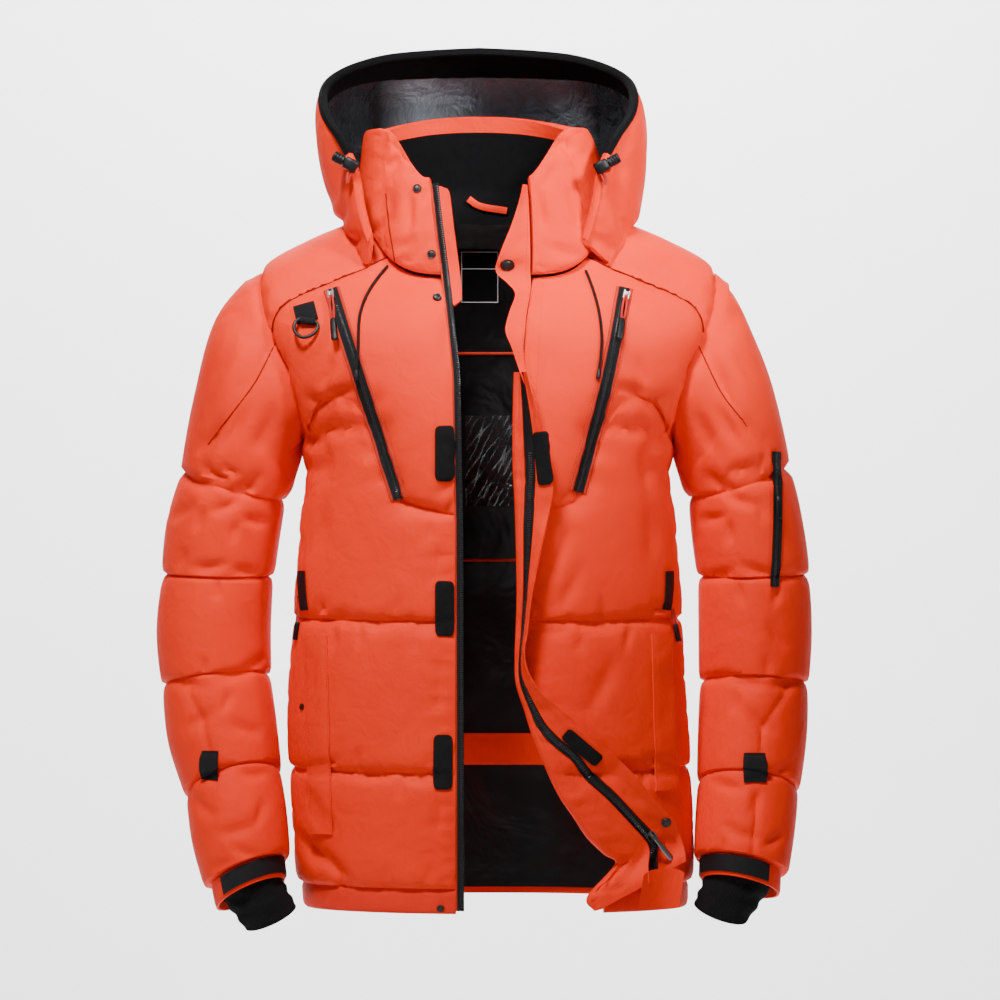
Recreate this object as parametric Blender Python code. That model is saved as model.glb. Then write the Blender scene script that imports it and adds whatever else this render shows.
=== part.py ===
# Hooded padded jacket, worn open, in the shape that a wearer gives it
#
# The jacket faces -Y, +Z is up and +X is the wearer's left. The origin lies on
# the wearer's axis at the height of the shoulders. Tables are in millimetres.
# The body is a stack of rings from the hem to the neck. Every panel is a patch
# of that stack, a plain inner face with padding raised on its outer face.

import math

import bmesh
import bpy
import numpy as np
from mathutils import Vector
from mathutils.bvhtree import BVHTree

MM = 0.001
SEAM_GAP = 0.3
SEAM_WALL = 4.0
PUFF_BODY = 9.0
PUFF_YOKE = 6.0
PUFF_SLEEVE = 7.0
ROUNDNESS = 0.87
SHOULDER_FALL = 5

# Body rings: level is the ring's height at centre front
BODY_COLUMNS = ("level", "side_z", "back_z", "mid_x", "half", "front", "back")
BODY = (
    (-700, -702, -703, 8, 196, 151, 150),
    (-640, -641, -642, 6, 198, 150, 149),
    (-557, -557, -557, 2, 200, 149, 148),
    (-480, -480, -480, -1, 198, 147, 146),
    (-402, -402, -402, 0, 194, 144, 143),
    (-310, -310, -310, 0, 187, 144, 147),
    (-205, -216, -205, 0, 190, 147, 153),
    (-150, -135, -125, 0, 230, 138, 152),
    (-100, -44, -54, 0, 233, 122, 138),
    (-75, -14, -2, 0, 182, 104, 112),
    (-52, 12, 36, 0, 122, 84, 86),
)
NECK_LEVEL = -52
HEM_LEVEL = -700
HEM_SEAM_LEVEL = -675
WAIST_SEAM_LEVEL = -557
LINING_LEVEL = -693
BELLY_SEAM_LEVEL = -402
ARMPIT_LEVEL = -205
TIP_LEVEL = -100
ARM_ANGLE = 30
YOKE_TURN = 60
TURN_STEP = 20

# Front edges: where each front ends towards the middle, by height
RIGHT_EDGE = ((-700, -32), (-300, -33), (-150, -36), (-52, -47))
FOLD_COLUMNS = ("fold_x", "fold_z", "zip_x", "zip_z", "free_x", "free_z", "lift")
FOLD = (
    (113, -697, 165, -658, 204, -649, 3),
    (106, -684, 165, -645, 202, -636, 3),
    (135, -651, 170, -632, 196, -618, 3),
    (122, -639, 163, -623, 188, -603, 3),
    (106, -623, 144, -600, 170, -584, 3),
    (92, -602, 126, -581, 152, -561, 4),
    (79, -583, 107, -564, 130, -539, 5),
    (69, -564, 88, -539, 106, -518, 6),
    (59, -541, 72, -526, 88, -502, 8),
    (49, -516, 57, -509, 70, -487, 11),
    (41, -490, 45, -485, 53, -471, 16),
    (33, -464, 37, -462, 41, -450, 22),
    (32, -436, 35, -434, 38, -431, 26),
    (33, -413, 37, -412, 41, -411, 27),
    (34, -366, 40, -366, 47, -366, 24),
    (32, -281, 43, -281, 65, -281, 14),
    (30, -248, 44, -248, 65, -248, 15),
    (30, -197, 41, -197, 53, -197, 20),
    (31, -148, 36, -148, 41, -148, 27),
)
# The turned edge reaches this far past the front panel's own edge
FOLD_COVER = 5.0
# Chest seam: the quilting line that follows the chest pocket, by distance from the middle
CHEST_SEAM = ((30, -294), (70, -285), (86, -277), (104, -226), (122, -177), (135, -172), (160, -182),
              (188, -205))

# Sleeve rings: outer and inner edges seen from the front, depth and place of the middle
SLEEVE_COLUMNS = ("out_x", "out_z", "in_x", "in_z", "mid_y", "depth")
SLEEVE_RIGHT = (
    (279, -87, 208, -256, 0, 84),
    (303, -168, 211, -270, 2, 82),
    (321, -247, 214, -279, 5, 79),
    (335, -301, 222, -320, 8, 77),
    (341, -356, 227, -358, 10, 75),
    (346, -415, 231, -410, 10, 73),
    (341, -472, 230, -460, 6, 70),
    (333, -532, 225, -507, -4, 67),
    (315, -588, 219, -557, -18, 63),
    (305, -637, 213, -602, -38, 59),
    (292, -682, 209, -645, -50, 54),
    (286, -706, 206, -668, -56, 53),
)
SLEEVE_LEFT = (
    (263, -87, 208, -256, 0, 84),
    (290, -150, 211, -270, 2, 82),
    (316, -243, 212, -276, 5, 79),
    (328, -299, 217, -317, 8, 77),
    (336, -357, 222, -358, 10, 75),
    (338, -415, 224, -412, 10, 73),
    (335, -470, 224, -467, 6, 70),
    (332, -525, 223, -516, -4, 67),
    (324, -581, 221, -569, -18, 63),
    (317, -627, 219, -609, -34, 59),
    (310, -668, 217, -648, -48, 54),
    (308, -690, 216, -669, -54, 53),
)
SLEEVE_BASE = 9.0
ARMPIT_REACH = 1.6
QUILT_ROWS = (2, 4, 6, 8, 10)
ELBOW_ROW = 4
CUFF_ROW = 10

# Collar top ring and the hood's brim, right half from its front end to the top
COLLAR_TOP = {"mid_x": -12, "half": 106, "front": 66, "back": 80, "side_z": 108, "front_z": 54, "back_z": 130}
COLLAR_WALL = 5.0
COLLAR_LIFT = 4.4
COLLAR_PUFF = 9.0
HOOD_BASE_LEVEL = -62
BRIM_COLUMNS = ("x", "y", "z")
BRIM = (
    (108, -70, -12),
    (117, -72, 22),
    (125, -70, 64),
    (139, -60, 95),
    (156, -35, 124),
    (158, 2, 152),
    (141, 34, 172),
    (100, 62, 188),
    (52, 80, 195),
    (0, 86, 198),
)
HOOD_WALL = 6.0
HOOD_PUFF = 6.0

# Finishes: colour, roughness and metallic value
SHELL = ((0.78, 0.10, 0.035, 1.0), 0.6, 0.0)
TRIM = ((0.008, 0.008, 0.009, 1.0), 0.6, 0.0)
SATIN = ((0.008, 0.008, 0.009, 1.0), 0.3, 0.0)
KNIT = ((0.006, 0.006, 0.007, 1.0), 0.9, 0.0)
FILM = ((0.22, 0.22, 0.23, 1.0), 0.15, 0.0)
METAL = ((0.35, 0.34, 0.33, 1.0), 0.35, 1.0)
RUBBER = ((0.02, 0.02, 0.02, 1.0), 0.7, 0.0)


def clear_scene():
    for obj in list(bpy.data.objects):
        bpy.data.objects.remove(obj)


def new_collection(name):
    collection = bpy.data.collections.new(name)
    bpy.context.scene.collection.children.link(collection)
    return collection


def finish(name, colour, roughness, metallic):
    """A plain finish: one colour, roughness and metallic value."""
    material = bpy.data.materials.new(name)
    material.use_nodes = True
    shader = material.node_tree.nodes["Principled BSDF"]
    shader.inputs["Base Color"].default_value = colour
    shader.inputs["Roughness"].default_value = roughness
    shader.inputs["Metallic"].default_value = metallic
    return material


def smooth(at, places, values):
    """The value at each place on a smooth curve through the rows, a cubic between two rows."""
    places = np.asarray(places, float)
    values = np.asarray(values, float)
    slopes = np.gradient(values, places, axis=0)
    at = np.clip(np.asarray(at, float), places[0], places[-1])
    row = np.clip(np.searchsorted(places, at, side="right") - 1, 0, len(places) - 2)
    step = places[row + 1] - places[row]
    t = (at - places[row]) / step
    shape = t.shape + (1,) * (values.ndim - 1)
    t, step = t.reshape(shape), step.reshape(shape)
    near = values[row] * (1 + 2 * t) * (1 - t) ** 2 + slopes[row] * step * t * (1 - t) ** 2
    far = values[row + 1] * t * t * (3 - 2 * t) + slopes[row + 1] * step * t * t * (t - 1)
    return near + far


def column(table, names, name):
    return [row[names.index(name)] for row in table]


def body_size(name, level):
    return smooth(level, column(BODY, BODY_COLUMNS, "level"), column(BODY, BODY_COLUMNS, name))


def body(angle, level, side):
    """Point of the body's inner face: angle -90 is centre front, 0 the side and 90 centre back."""
    angle, level = np.broadcast_arrays(np.radians(angle), np.asarray(level, float))
    across, along = np.abs(np.cos(angle)), np.sin(angle)
    sideways = side * np.sign(np.cos(angle)) * across**ROUNDNESS
    depth = np.where(along < 0, body_size("front", level), body_size("back", level))
    middle_z = np.where(along < 0, level, body_size("back_z", level))
    x = body_size("mid_x", level) + body_size("half", level) * sideways
    y = np.sign(along) * depth * np.abs(along) ** ROUNDNESS
    z = middle_z + (body_size("side_z", level) - middle_z) * across**SHOULDER_FALL
    return np.stack([x, y, z], axis=-1)


def unit(vectors):
    return vectors / np.maximum(np.linalg.norm(vectors, axis=-1, keepdims=True), 1e-9)


def body_normal(angle, level, side):
    """Outward direction of the body's face, from its slopes round and up."""
    angle, level = np.broadcast_arrays(np.asarray(angle, float), np.asarray(level, float))
    level = np.clip(level, HEM_LEVEL + 1, NECK_LEVEL - 1)
    around = body(angle + 1, level, side) - body(angle - 1, level, side)
    upward = body(angle, level + 1, side) - body(angle, level - 1, side)
    return side * unit(np.cross(around, upward))


def angle_at(x, level, side):
    """The angle on the front where the body's face is x from the wearer's axis."""
    share = side * (x - body_size("mid_x", level)) / body_size("half", level)
    return -np.degrees(np.arccos(np.clip(share, 0, 1) ** (1 / ROUNDNESS)))


def puff(share):
    """Padding between two seams, 0 at each and 1 between them."""
    return (1 - (2 * np.clip(share, 0, 1) - 1) ** 4) ** 0.8


def armhole(turn):
    """Angle and level on the armhole: turn 0 is the shoulder's tip, 90 the front and 180 the armpit."""
    turn = np.radians(turn)
    middle, reach = (ARMPIT_LEVEL + TIP_LEVEL) / 2, (TIP_LEVEL - ARMPIT_LEVEL) / 2
    return -ARM_ANGLE * np.sin(turn), middle + reach * np.cos(turn)


def wall(name, inner, outer, material, collection, closed=False):
    """A closed wall between two grids of points, in millimetres. A closed one runs round."""
    rows, columns = inner.shape[:2]
    points = np.concatenate([outer.reshape(-1, 3), inner.reshape(-1, 3)]) * MM
    place = np.arange(rows * columns).reshape(rows, columns)
    if closed:
        place = np.concatenate([place, place[:, :1]], axis=1)
    under = place + rows * columns

    def quads(a, b, c, d):
        return np.stack([a, b, c, d], axis=-1).reshape(-1, 4)

    faces = [
        quads(place[:-1, :-1], place[:-1, 1:], place[1:, 1:], place[1:, :-1]),
        quads(under[:-1, :-1], under[1:, :-1], under[1:, 1:], under[:-1, 1:]),
        quads(place[0, :-1], under[0, :-1], under[0, 1:], place[0, 1:]),
        quads(place[-1, :-1], place[-1, 1:], under[-1, 1:], under[-1, :-1]),
    ]
    if not closed:
        faces.append(quads(place[:-1, 0], place[1:, 0], under[1:, 0], under[:-1, 0]))
        faces.append(quads(place[:-1, -1], under[:-1, -1], under[1:, -1], place[1:, -1]))
    mesh = bpy.data.meshes.new(name)
    mesh.from_pydata(points.tolist(), [], np.concatenate(faces).tolist())
    shape = bmesh.new()
    shape.from_mesh(mesh)
    bmesh.ops.triangulate(shape, faces=shape.faces)
    if shape.calc_volume(signed=True) < 0:
        bmesh.ops.reverse_faces(shape, faces=shape.faces)
    shape.to_mesh(mesh)
    shape.free()
    return add(name, mesh, material, collection)


def add(name, mesh, look, collection):
    obj = bpy.data.objects.new(name, mesh)
    mesh.materials.append(finish(name, *look))
    mesh.shade_smooth()
    mesh.set_sharp_from_angle(angle=math.radians(50))
    collection.objects.link(obj)
    return obj


def body_wall(name, angle, level, side, thickness, material, collection):
    """A padded patch of the body, raised outwards by its thickness."""
    base = body(angle, level, side)
    outer = base + body_normal(angle, level, side) * thickness[..., None]
    return wall(name, base, outer, material, collection)


# Shares of the way up each padded stretch at which a row of points lies
PUFF_SHARES = (0.0, 0.2, 0.4, 0.65, 0.88)
FRONT_SHARES = np.array((0, 0.06, 0.16, 0.27, 0.35, 0.43, 0.5, 0.58, 0.68, 0.79, 0.9, 1.0))
NECK_COLUMN = 6
FRONT_START = 30
NECK_ANGLE = -34
BACK_SHARES = np.array((0, 0.17, 0.34, 0.5, 0.6, 0.7, 0.8, 0.9, 1.0))
BACK_NECK_COLUMN = 3
BACK_NECK_ANGLE = 50
ARM_TURNS = np.arange(180, YOKE_TURN - 1, -TURN_STEP)


def stretch_rows():
    """Side level and padding of each row from the hem seam up to the armpit."""
    seams = (HEM_SEAM_LEVEL + SEAM_GAP, WAIST_SEAM_LEVEL, BELLY_SEAM_LEVEL, ARMPIT_LEVEL)
    rows = [(low + (high - low) * share, puff(share), stretch, share)
            for stretch, (low, high) in enumerate(zip(seams, seams[1:])) for share in PUFF_SHARES]
    return rows


def cross_padding(shares, first, last):
    """Padding across a panel: thinner towards its first and last edge."""
    start = first + (1 - first) * np.clip(shares / 0.12, 0, 1) ** 0.6
    end = last + (1 - last) * np.clip((1 - shares) / 0.15, 0, 1) ** 0.6
    return start * end


def chest_seam(x):
    """The chest quilting line's level at x."""
    return np.interp(np.abs(x), *zip(*CHEST_SEAM))


def top_edge(shares, corner, edge_angle, neck_angle, yoke_angle, yoke_level):
    """Angle and level along a panel's top: the neck seam, then the yoke seam."""
    start = shares[corner]
    neck = shares <= start
    across = np.where(neck, shares / start, (shares - start) / (1 - start))
    angle = np.where(neck, edge_angle + (neck_angle - edge_angle) * across,
                     neck_angle + (yoke_angle - neck_angle) * across)
    level = np.where(neck, NECK_LEVEL, NECK_LEVEL + (yoke_level - NECK_LEVEL) * across)
    return angle, level


def panel_grid(shares, corner, edge_at, neck_angle, facing, seam_level):
    """Angle, level and padding at each point of a front or a back half.

    facing is -1 on the front and 1 on the back. edge_at gives the angle of the
    panel's middle edge at a level, seam_level the level of its chest seam.
    """
    angles, levels, pads = [], [], []
    for low, pad, stretch, share in stretch_rows():
        level = np.full(len(shares), float(low))
        if stretch == 2:
            level = BELLY_SEAM_LEVEL + (seam_level - BELLY_SEAM_LEVEL) * share
        edge = edge_at(level)
        angles.append(edge * (1 - shares))
        levels.append(level)
        pads.append(np.full(len(shares), pad))
    turn_angle, turn_level = armhole(ARM_TURNS)
    turn_angle = -facing * turn_angle
    yoke_angle, yoke_level = turn_angle[-1], turn_level[-1]
    edge_top = edge_at(np.full(len(shares), float(NECK_LEVEL)))
    top_angle, top_level = top_edge(shares, corner, edge_top, neck_angle, yoke_angle, yoke_level)
    straight = edge_top + (yoke_angle - edge_top) * shares
    for row_angle, row_level in zip(turn_angle, turn_level):
        rise = (row_level - ARMPIT_LEVEL) / (yoke_level - ARMPIT_LEVEL)
        level = seam_level + (top_level - seam_level) * rise
        edge = edge_at(level)
        angles.append(edge + (row_angle - edge) * shares + rise * (top_angle - straight))
        levels.append(level)
        pads.append(np.full(len(shares), puff(rise)))
    return np.array(angles), np.array(levels), np.array(pads)


def gap_angle(level):
    """The angle that half a seam's gap covers at the side."""
    return np.degrees(SEAM_GAP / 2 / body_size("half", level))


def front_edge(side):
    """The angle of a front's middle edge, as a function of the level."""
    if side < 0:
        places, values = zip(*RIGHT_EDGE)
    else:
        places = column(FOLD, FOLD_COLUMNS, "fold_z") + [-100, NECK_LEVEL]
        values = [x + FOLD_COVER for x in column(FOLD, FOLD_COLUMNS, "fold_x")] + [39, 46]
    return lambda level: angle_at(np.interp(level, places, values), level, side)


def front_panel(name, side, material, collection):
    armpit_angle = angle_at(FRONT_START * side, ARMPIT_LEVEL, side) * (1 - FRONT_SHARES)
    seam_level = chest_seam(body(armpit_angle, ARMPIT_LEVEL, side)[:, 0])
    angle, level, pad = panel_grid(FRONT_SHARES, NECK_COLUMN, front_edge(side), NECK_ANGLE, -1, seam_level)
    angle[:, -1] -= gap_angle(level[:, -1])
    level[-1] -= SEAM_GAP
    across = cross_padding(FRONT_SHARES, 0.25, 0.45)
    thickness = SEAM_WALL + PUFF_BODY * pad * across
    thickness[-len(ARM_TURNS):, -1] = SEAM_WALL
    return body_wall(name, angle, level, side, thickness, material, collection)


def back_panel(name, material, collection):
    halves = []
    for side in (-1, 1):
        seam = np.full(len(BACK_SHARES), float(ARMPIT_LEVEL))
        angle, level, pad = panel_grid(BACK_SHARES, BACK_NECK_COLUMN, lambda at: np.full(np.shape(at), 90.0),
                                       BACK_NECK_ANGLE, 1, seam)
        angle[:, -1] += gap_angle(level[:, -1])
        level[-1] -= SEAM_GAP
        thickness = SEAM_WALL + PUFF_BODY * pad * cross_padding(BACK_SHARES, 1, 0.45)
        thickness[-len(ARM_TURNS):, -1] = SEAM_WALL
        base = body(angle, level, side)
        halves.append((base, base + body_normal(angle, level, side) * thickness[..., None]))
    inner = np.concatenate([halves[0][0][:, :0:-1], halves[1][0]], axis=1)
    outer = np.concatenate([halves[0][1][:, :0:-1], halves[1][1]], axis=1)
    return wall(name, inner, outer, material, collection)


def yoke(name, side, material, collection):
    """The shoulder piece, an arch from the front yoke seam over to the back one."""
    turns = np.arange(YOKE_TURN, -YOKE_TURN - 1, -TURN_STEP)
    end_angle, end_level = armhole(turns)
    sweep = ((YOKE_TURN - turns) / (2 * YOKE_TURN))
    start_angle = NECK_ANGLE + (BACK_NECK_ANGLE - NECK_ANGLE) * sweep
    front_shares, back_shares = FRONT_SHARES[NECK_COLUMN:], BACK_SHARES[BACK_NECK_COLUMN:]
    front_shares = (front_shares - front_shares[0]) / (1 - front_shares[0])
    back_shares = (back_shares - back_shares[0]) / (1 - back_shares[0])
    shares = front_shares * (1 - sweep[:, None]) + back_shares * sweep[:, None]
    angle = start_angle[:, None] + (end_angle - start_angle)[:, None] * shares
    level = NECK_LEVEL + (end_level - NECK_LEVEL)[:, None] * shares
    pad = puff(sweep)[:, None] * puff(front_shares) * np.clip(front_shares / 0.4, 0, 1)
    thickness = SEAM_WALL + PUFF_YOKE * pad
    return body_wall(name, angle, level, side, thickness, material, collection)


HEM_ROWS = np.array((HEM_LEVEL, HEM_LEVEL + 6, HEM_SEAM_LEVEL - 5, HEM_SEAM_LEVEL), float)[:, None]
HEM_THICKNESS = np.array((3.5, 5.5, 5.5, SEAM_WALL))[:, None]


def hem_front(name, side, count, material, collection):
    """The turned band below one front, from its free edge to the side seam."""
    shares = np.linspace(0, 1, count)
    angle = front_edge(side)(HEM_ROWS) * (1 - shares) - gap_angle(HEM_ROWS) * shares
    return body_wall(name, angle, HEM_ROWS + 0 * angle, side, HEM_THICKNESS + 0 * angle, material, collection)


def hem_back(name, material, collection):
    """The turned band below the back, from side seam to side seam."""
    halves = []
    for side in (-1, 1):
        angle = gap_angle(HEM_ROWS) + (90 - gap_angle(HEM_ROWS)) * np.linspace(0, 1, 8)
        base = body(angle, HEM_ROWS + 0 * angle, side)
        way = body_normal(angle, HEM_ROWS + 0 * angle, side)
        halves.append((base, base + way * HEM_THICKNESS[..., None]))
    inner, outer = (np.concatenate([halves[0][face], halves[1][face][:, -2::-1]], axis=1) for face in (0, 1))
    return wall(name, inner, outer, material, collection)


def sleeve_rings(side, table):
    """Rings of the sleeve's inner face, from just outside the armhole to the cuff."""
    turns = np.arange(0, 360, TURN_STEP)
    angle, level = armhole(turns)
    loop = body(angle, level, side)
    normal = body_normal(angle, level, side)
    spoke = unit((loop - loop.mean(axis=0)) * (0, 1, 1))
    rows = np.array(table, float)
    out = np.stack([side * rows[:, 0], rows[:, 4], rows[:, 1]], axis=-1)
    inside = np.stack([side * rows[:, 2], rows[:, 4], rows[:, 3]], axis=-1)
    middle, reach = (out + inside) / 2, (out - inside) / 2
    width = np.linalg.norm(reach, axis=-1, keepdims=True)
    path = np.gradient(middle, axis=0)
    forward = unit(np.cross(path, reach)) * side
    forward *= np.where(forward[:, 1:2] > 0, -1, 1)
    turn = np.radians(turns)[None, :, None]
    shrink = 1 - SLEEVE_BASE / width
    rings = (middle[:, None] + (reach * shrink)[:, None] * np.cos(turn)
             + (forward * (rows[:, 5:6] - SLEEVE_BASE))[:, None] * np.sin(turn))
    start = loop - spoke * (SEAM_WALL + 0.8) + normal * 7
    return loop, normal, spoke, np.concatenate([start[None], rings])


def sleeve(side, table, names, material, collection):
    """Both lengths of one sleeve, each a tube of padded cloth."""
    loop, normal, spoke, rings = sleeve_rings(side, table)
    places = np.arange(len(rings), dtype=float)
    seams = [0.0] + [1.0 + row for row in QUILT_ROWS]
    at, pads = [], []
    for low, high in zip(seams, seams[1:]):
        shares = (0.0, 0.16, 0.5, 0.84) if low else (0.0, 0.1, 0.24, 0.4, 0.6, 0.82)
        at += [low + (high - low) * share for share in shares]
        pads += [puff(share) for share in shares]
    at, pads = np.array(at + [1.0 + CUFF_ROW]), np.array(pads + [0.0])
    base = smooth(at, places, rings)
    around = np.roll(base, -1, axis=1) - np.roll(base, 1, axis=1)
    along = np.gradient(base, axis=0)
    outward = unit(np.cross(along, around))
    inside_out = (outward * (base - base.mean(axis=1, keepdims=True))).sum(axis=(1, 2)) < 0
    outward *= np.where(inside_out, -1, 1)[:, None, None]
    outward[0] = spoke
    thickness = SEAM_WALL + 1 + PUFF_SLEEVE * pads
    thickness[0] = SEAM_WALL
    below = np.clip(-np.cos(np.radians(np.arange(0, 360, TURN_STEP))), 0, 1)
    armpit = np.clip(1 - at / ARMPIT_REACH, 0, 1)[:, None] * below
    thickness = SEAM_WALL + (thickness - SEAM_WALL)[:, None] * (1 - armpit)
    outer = base + outward * thickness[..., None]
    neck_outer = (loop - spoke * 0.8 + normal * 0.3)[None]
    neck_inner = (loop - spoke * (SEAM_WALL + 0.8) + normal * 0.3)[None]
    base = np.concatenate([neck_inner, base])
    outer = np.concatenate([neck_outer, outer])
    elbow = 1 + int(np.searchsorted(at, 1.0 + ELBOW_ROW))
    made = [wall(names[0], base[:elbow + 1], outer[:elbow + 1], material, collection, closed=True)]
    lower_base, lower_outer = base[elbow:].copy(), outer[elbow:].copy()
    step = unit(base[elbow + 1] - base[elbow]) * SEAM_GAP
    lower_base[0] += step
    lower_outer[0] += step
    made.append(wall(names[1], lower_base, lower_outer, material, collection, closed=True))
    return made, rings


def collar_point(angle, rise, side):
    """Point of the collar's inner face, from the neck seam (rise 0) to its top (rise 1)."""
    angle, rise = np.broadcast_arrays(np.asarray(angle, float), np.asarray(rise, float))
    foot = body(angle, NECK_LEVEL, side) + body_normal(angle, NECK_LEVEL, side) * (SEAM_WALL + COLLAR_LIFT)
    across, along = np.abs(np.cos(np.radians(angle))), np.sin(np.radians(angle))
    size = COLLAR_TOP
    depth = np.where(along < 0, size["front"], size["back"])
    end_z = np.where(along < 0, size["front_z"], size["back_z"])
    x = size["mid_x"] + side * size["half"] * across**ROUNDNESS
    y = np.sign(along) * depth * np.abs(along) ** ROUNDNESS
    climb = np.clip((across - 0.42) / 0.46, 0, 1)
    climb = np.where(along < 0, climb**2 * (3 - 2 * climb), across**2)
    top = np.stack([x, y, end_z + (size["side_z"] - end_z) * climb], axis=-1)
    rise = rise[..., None]
    return foot * (1 - rise) + top * rise


def spread(inner, side_hint=None):
    """Outward directions of a grid of points that curves round the wearer's axis."""
    across = np.gradient(inner, axis=1)
    upward = np.gradient(inner, axis=0)
    outward = unit(np.cross(across, upward))
    centre = inner.mean(axis=(0, 1)) * (0, 0, 1) if side_hint is None else np.array(side_hint, float)
    facing = (outward * (inner - centre)).sum()
    return outward * (1 if facing > 0 else -1)


COLLAR_RISES = np.array((0, 0.1, 0.35, 0.7, 0.92, 1.0))
COLLAR_SEAM_ANGLE = -36
# The right front's zip: its lower and upper level, and its tape's and inner guard's widths
TAPE_LEVEL = -697
EDGE_TOP_LEVEL = -62
GUARD_LEVEL = -82
GUARD_WIDTH = 11.0
ZIP_WIDTH = 9.0
TURNED_WALL = 1.8
COLLAR_EDGES = {-1: (-71, -67), 1: (-72, -63)}


def collar_front(name, side, material, collection):
    """The collar's front length, from its free edge to the seam at the side."""
    shares = np.linspace(0, 1, 5)
    low, high = COLLAR_EDGES[side]
    edge = (low + (high - low) * COLLAR_RISES)[:, None]
    angle = edge + (COLLAR_SEAM_ANGLE - 0.12 - edge) * shares
    inner = collar_point(angle, COLLAR_RISES[:, None], side)
    padding = puff(COLLAR_RISES[:, None] * 0.92) * puff(0.15 + 0.75 * shares)
    thickness = COLLAR_WALL + COLLAR_PUFF * padding
    return wall(name, inner, inner + spread(inner) * thickness[..., None], material, collection)


def collar_back(name, material, collection):
    """The collar's longest piece, from side seam to side seam behind the neck."""
    angles = np.linspace(COLLAR_SEAM_ANGLE + 0.12, 90, 8)
    halves = [collar_point(angles, COLLAR_RISES[:, None], side) for side in (-1, 1)]
    inner = np.concatenate([halves[0], halves[1][:, -2::-1]], axis=1)
    shares = np.linspace(0, 1, inner.shape[1])
    thickness = COLLAR_WALL + COLLAR_PUFF * puff(COLLAR_RISES[:, None] * 0.92) * puff(0.06 + 0.88 * shares)
    return wall(name, inner, inner + spread(inner) * thickness[..., None], material, collection)


# How far inside the collar's wall its lining's two faces lie
COLLAR_LINING_DEPTHS = (2.6, 1.3)


def collar_lining(name, material, collection):
    """The collar's plain inside, from front seam to front seam."""
    angles = np.linspace(COLLAR_SEAM_ANGLE + 3, 90, 8)
    rises = np.array((0.07, 0.35, 0.7, 0.93))
    halves = [collar_point(angles, rises[:, None], side) for side in (-1, 1)]
    outer = np.concatenate([halves[0], halves[1][:, -2::-1]], axis=1)
    inward = -spread(outer)
    far, near = COLLAR_LINING_DEPTHS
    return wall(name, outer + inward * far, outer + inward * near, material, collection)


def surface_tree(*objects):
    """One search tree over the faces of several pieces, for rays that find their outer face."""
    points, faces = [], []
    for obj in objects:
        start = len(points)
        points += [vertex.co for vertex in obj.data.vertices]
        faces += [[start + corner for corner in polygon.vertices] for polygon in obj.data.polygons]
    return BVHTree.FromPolygons(points, faces)


def land(tree, origins, directions):
    """Where rays from the origins (mm) meet the pieces, and the direction out of the face there."""
    flat = np.asarray(origins, float).reshape(-1, 3)
    ways = np.broadcast_to(directions, np.shape(origins)).reshape(-1, 3)
    spots, outs, found = np.empty_like(flat), np.empty_like(flat), np.zeros(len(flat), bool)
    for index, (origin, way) in enumerate(zip(flat, ways)):
        spot, out, _, _ = tree.ray_cast(Vector(origin * MM), Vector(way))
        found[index] = spot is not None
        if found[index]:
            spots[index], outs[index] = np.array(spot) / MM, np.array(out)
    for index in np.flatnonzero(~found):
        nearest = np.flatnonzero(found)[np.argmin(np.linalg.norm(flat[found] - flat[index], axis=1))]
        spots[index], outs[index] = spots[nearest] + (flat[index] - flat[nearest]), outs[nearest]
    return spots.reshape(np.shape(origins)), outs.reshape(np.shape(origins))


FRONT_ON = np.array((0.0, 1.0, 0.0))
LAY_GAP = 0.8
HIGHEST_BULGE = 6
RIBBON_STEP = 12


def between(grid, fine):
    """The grid with fine steps for each of its own, straight from point to point."""
    rows, columns = grid.shape[:2]
    down, across = np.arange(rows), np.arange(columns)
    fine_down = np.linspace(0, rows - 1, (rows - 1) * fine + 1)
    fine_across = np.linspace(0, columns - 1, (columns - 1) * fine + 1)
    weight_down = np.clip(1 - np.abs(fine_down[:, None] - down), 0, 1)
    weight_across = np.clip(1 - np.abs(fine_across[:, None] - across), 0, 1)
    return np.einsum("ir,jc,rc...->ij...", weight_down, weight_across, grid)


def most_beside(rise, fine):
    """The greatest of the fine steps' values round each point of the coarse grid, limited to real bulges."""
    reach = np.pad(np.clip(rise, 0, HIGHEST_BULGE), fine - 1)
    rows, columns = rise.shape
    steps = range(2 * fine - 1)
    shifted = [reach[down:down + rows, across:across + columns] for down in steps for across in steps]
    return np.max(shifted, axis=0)[::fine, ::fine]


def lay(name, tree, x, z, thickness, material, collection, start_y=-400.0, way=FRONT_ON, gap=LAY_GAP):
    """A thin piece laid on others, seen from the front: a grid of places x, z carried back onto them.

    Each point moves out by as much as the cloth bulges between the points beside it.
    """
    fine = 4
    origins = between(np.stack([x, np.full(np.shape(x), start_y), z], axis=-1), fine)
    spots, outs = land(tree, origins, way)
    coarse = spots[::fine, ::fine]
    out = unit(outs.mean(axis=1, keepdims=True)[::fine] - 1.0 * way * 0.6)
    rise = ((spots - between(coarse, fine)) * between(out + 0 * coarse, fine)).sum(axis=-1)
    base = coarse + out * (gap + most_beside(rise, fine)[..., None])
    return wall(name, base, base + out * thickness, material, collection)


def ribbon(points, width, across=3):
    """Grid of places x, z for a strip of one width along a smooth line through points."""
    points = np.array(points, float)
    run = np.concatenate([[0], np.cumsum(np.linalg.norm(np.diff(points, axis=0), axis=1))])
    at = np.linspace(0, run[-1], max(int(run[-1] / RIBBON_STEP), 2) + 1)
    line = smooth(at, run, points)
    along = unit(np.gradient(line, axis=0))
    beside = np.stack([along[:, 1], -along[:, 0]], axis=-1)
    offsets = np.linspace(-width / 2, width / 2, across)
    grid = line[:, None] + beside[:, None] * offsets[None, :, None]
    return grid[..., 0], grid[..., 1]


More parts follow.
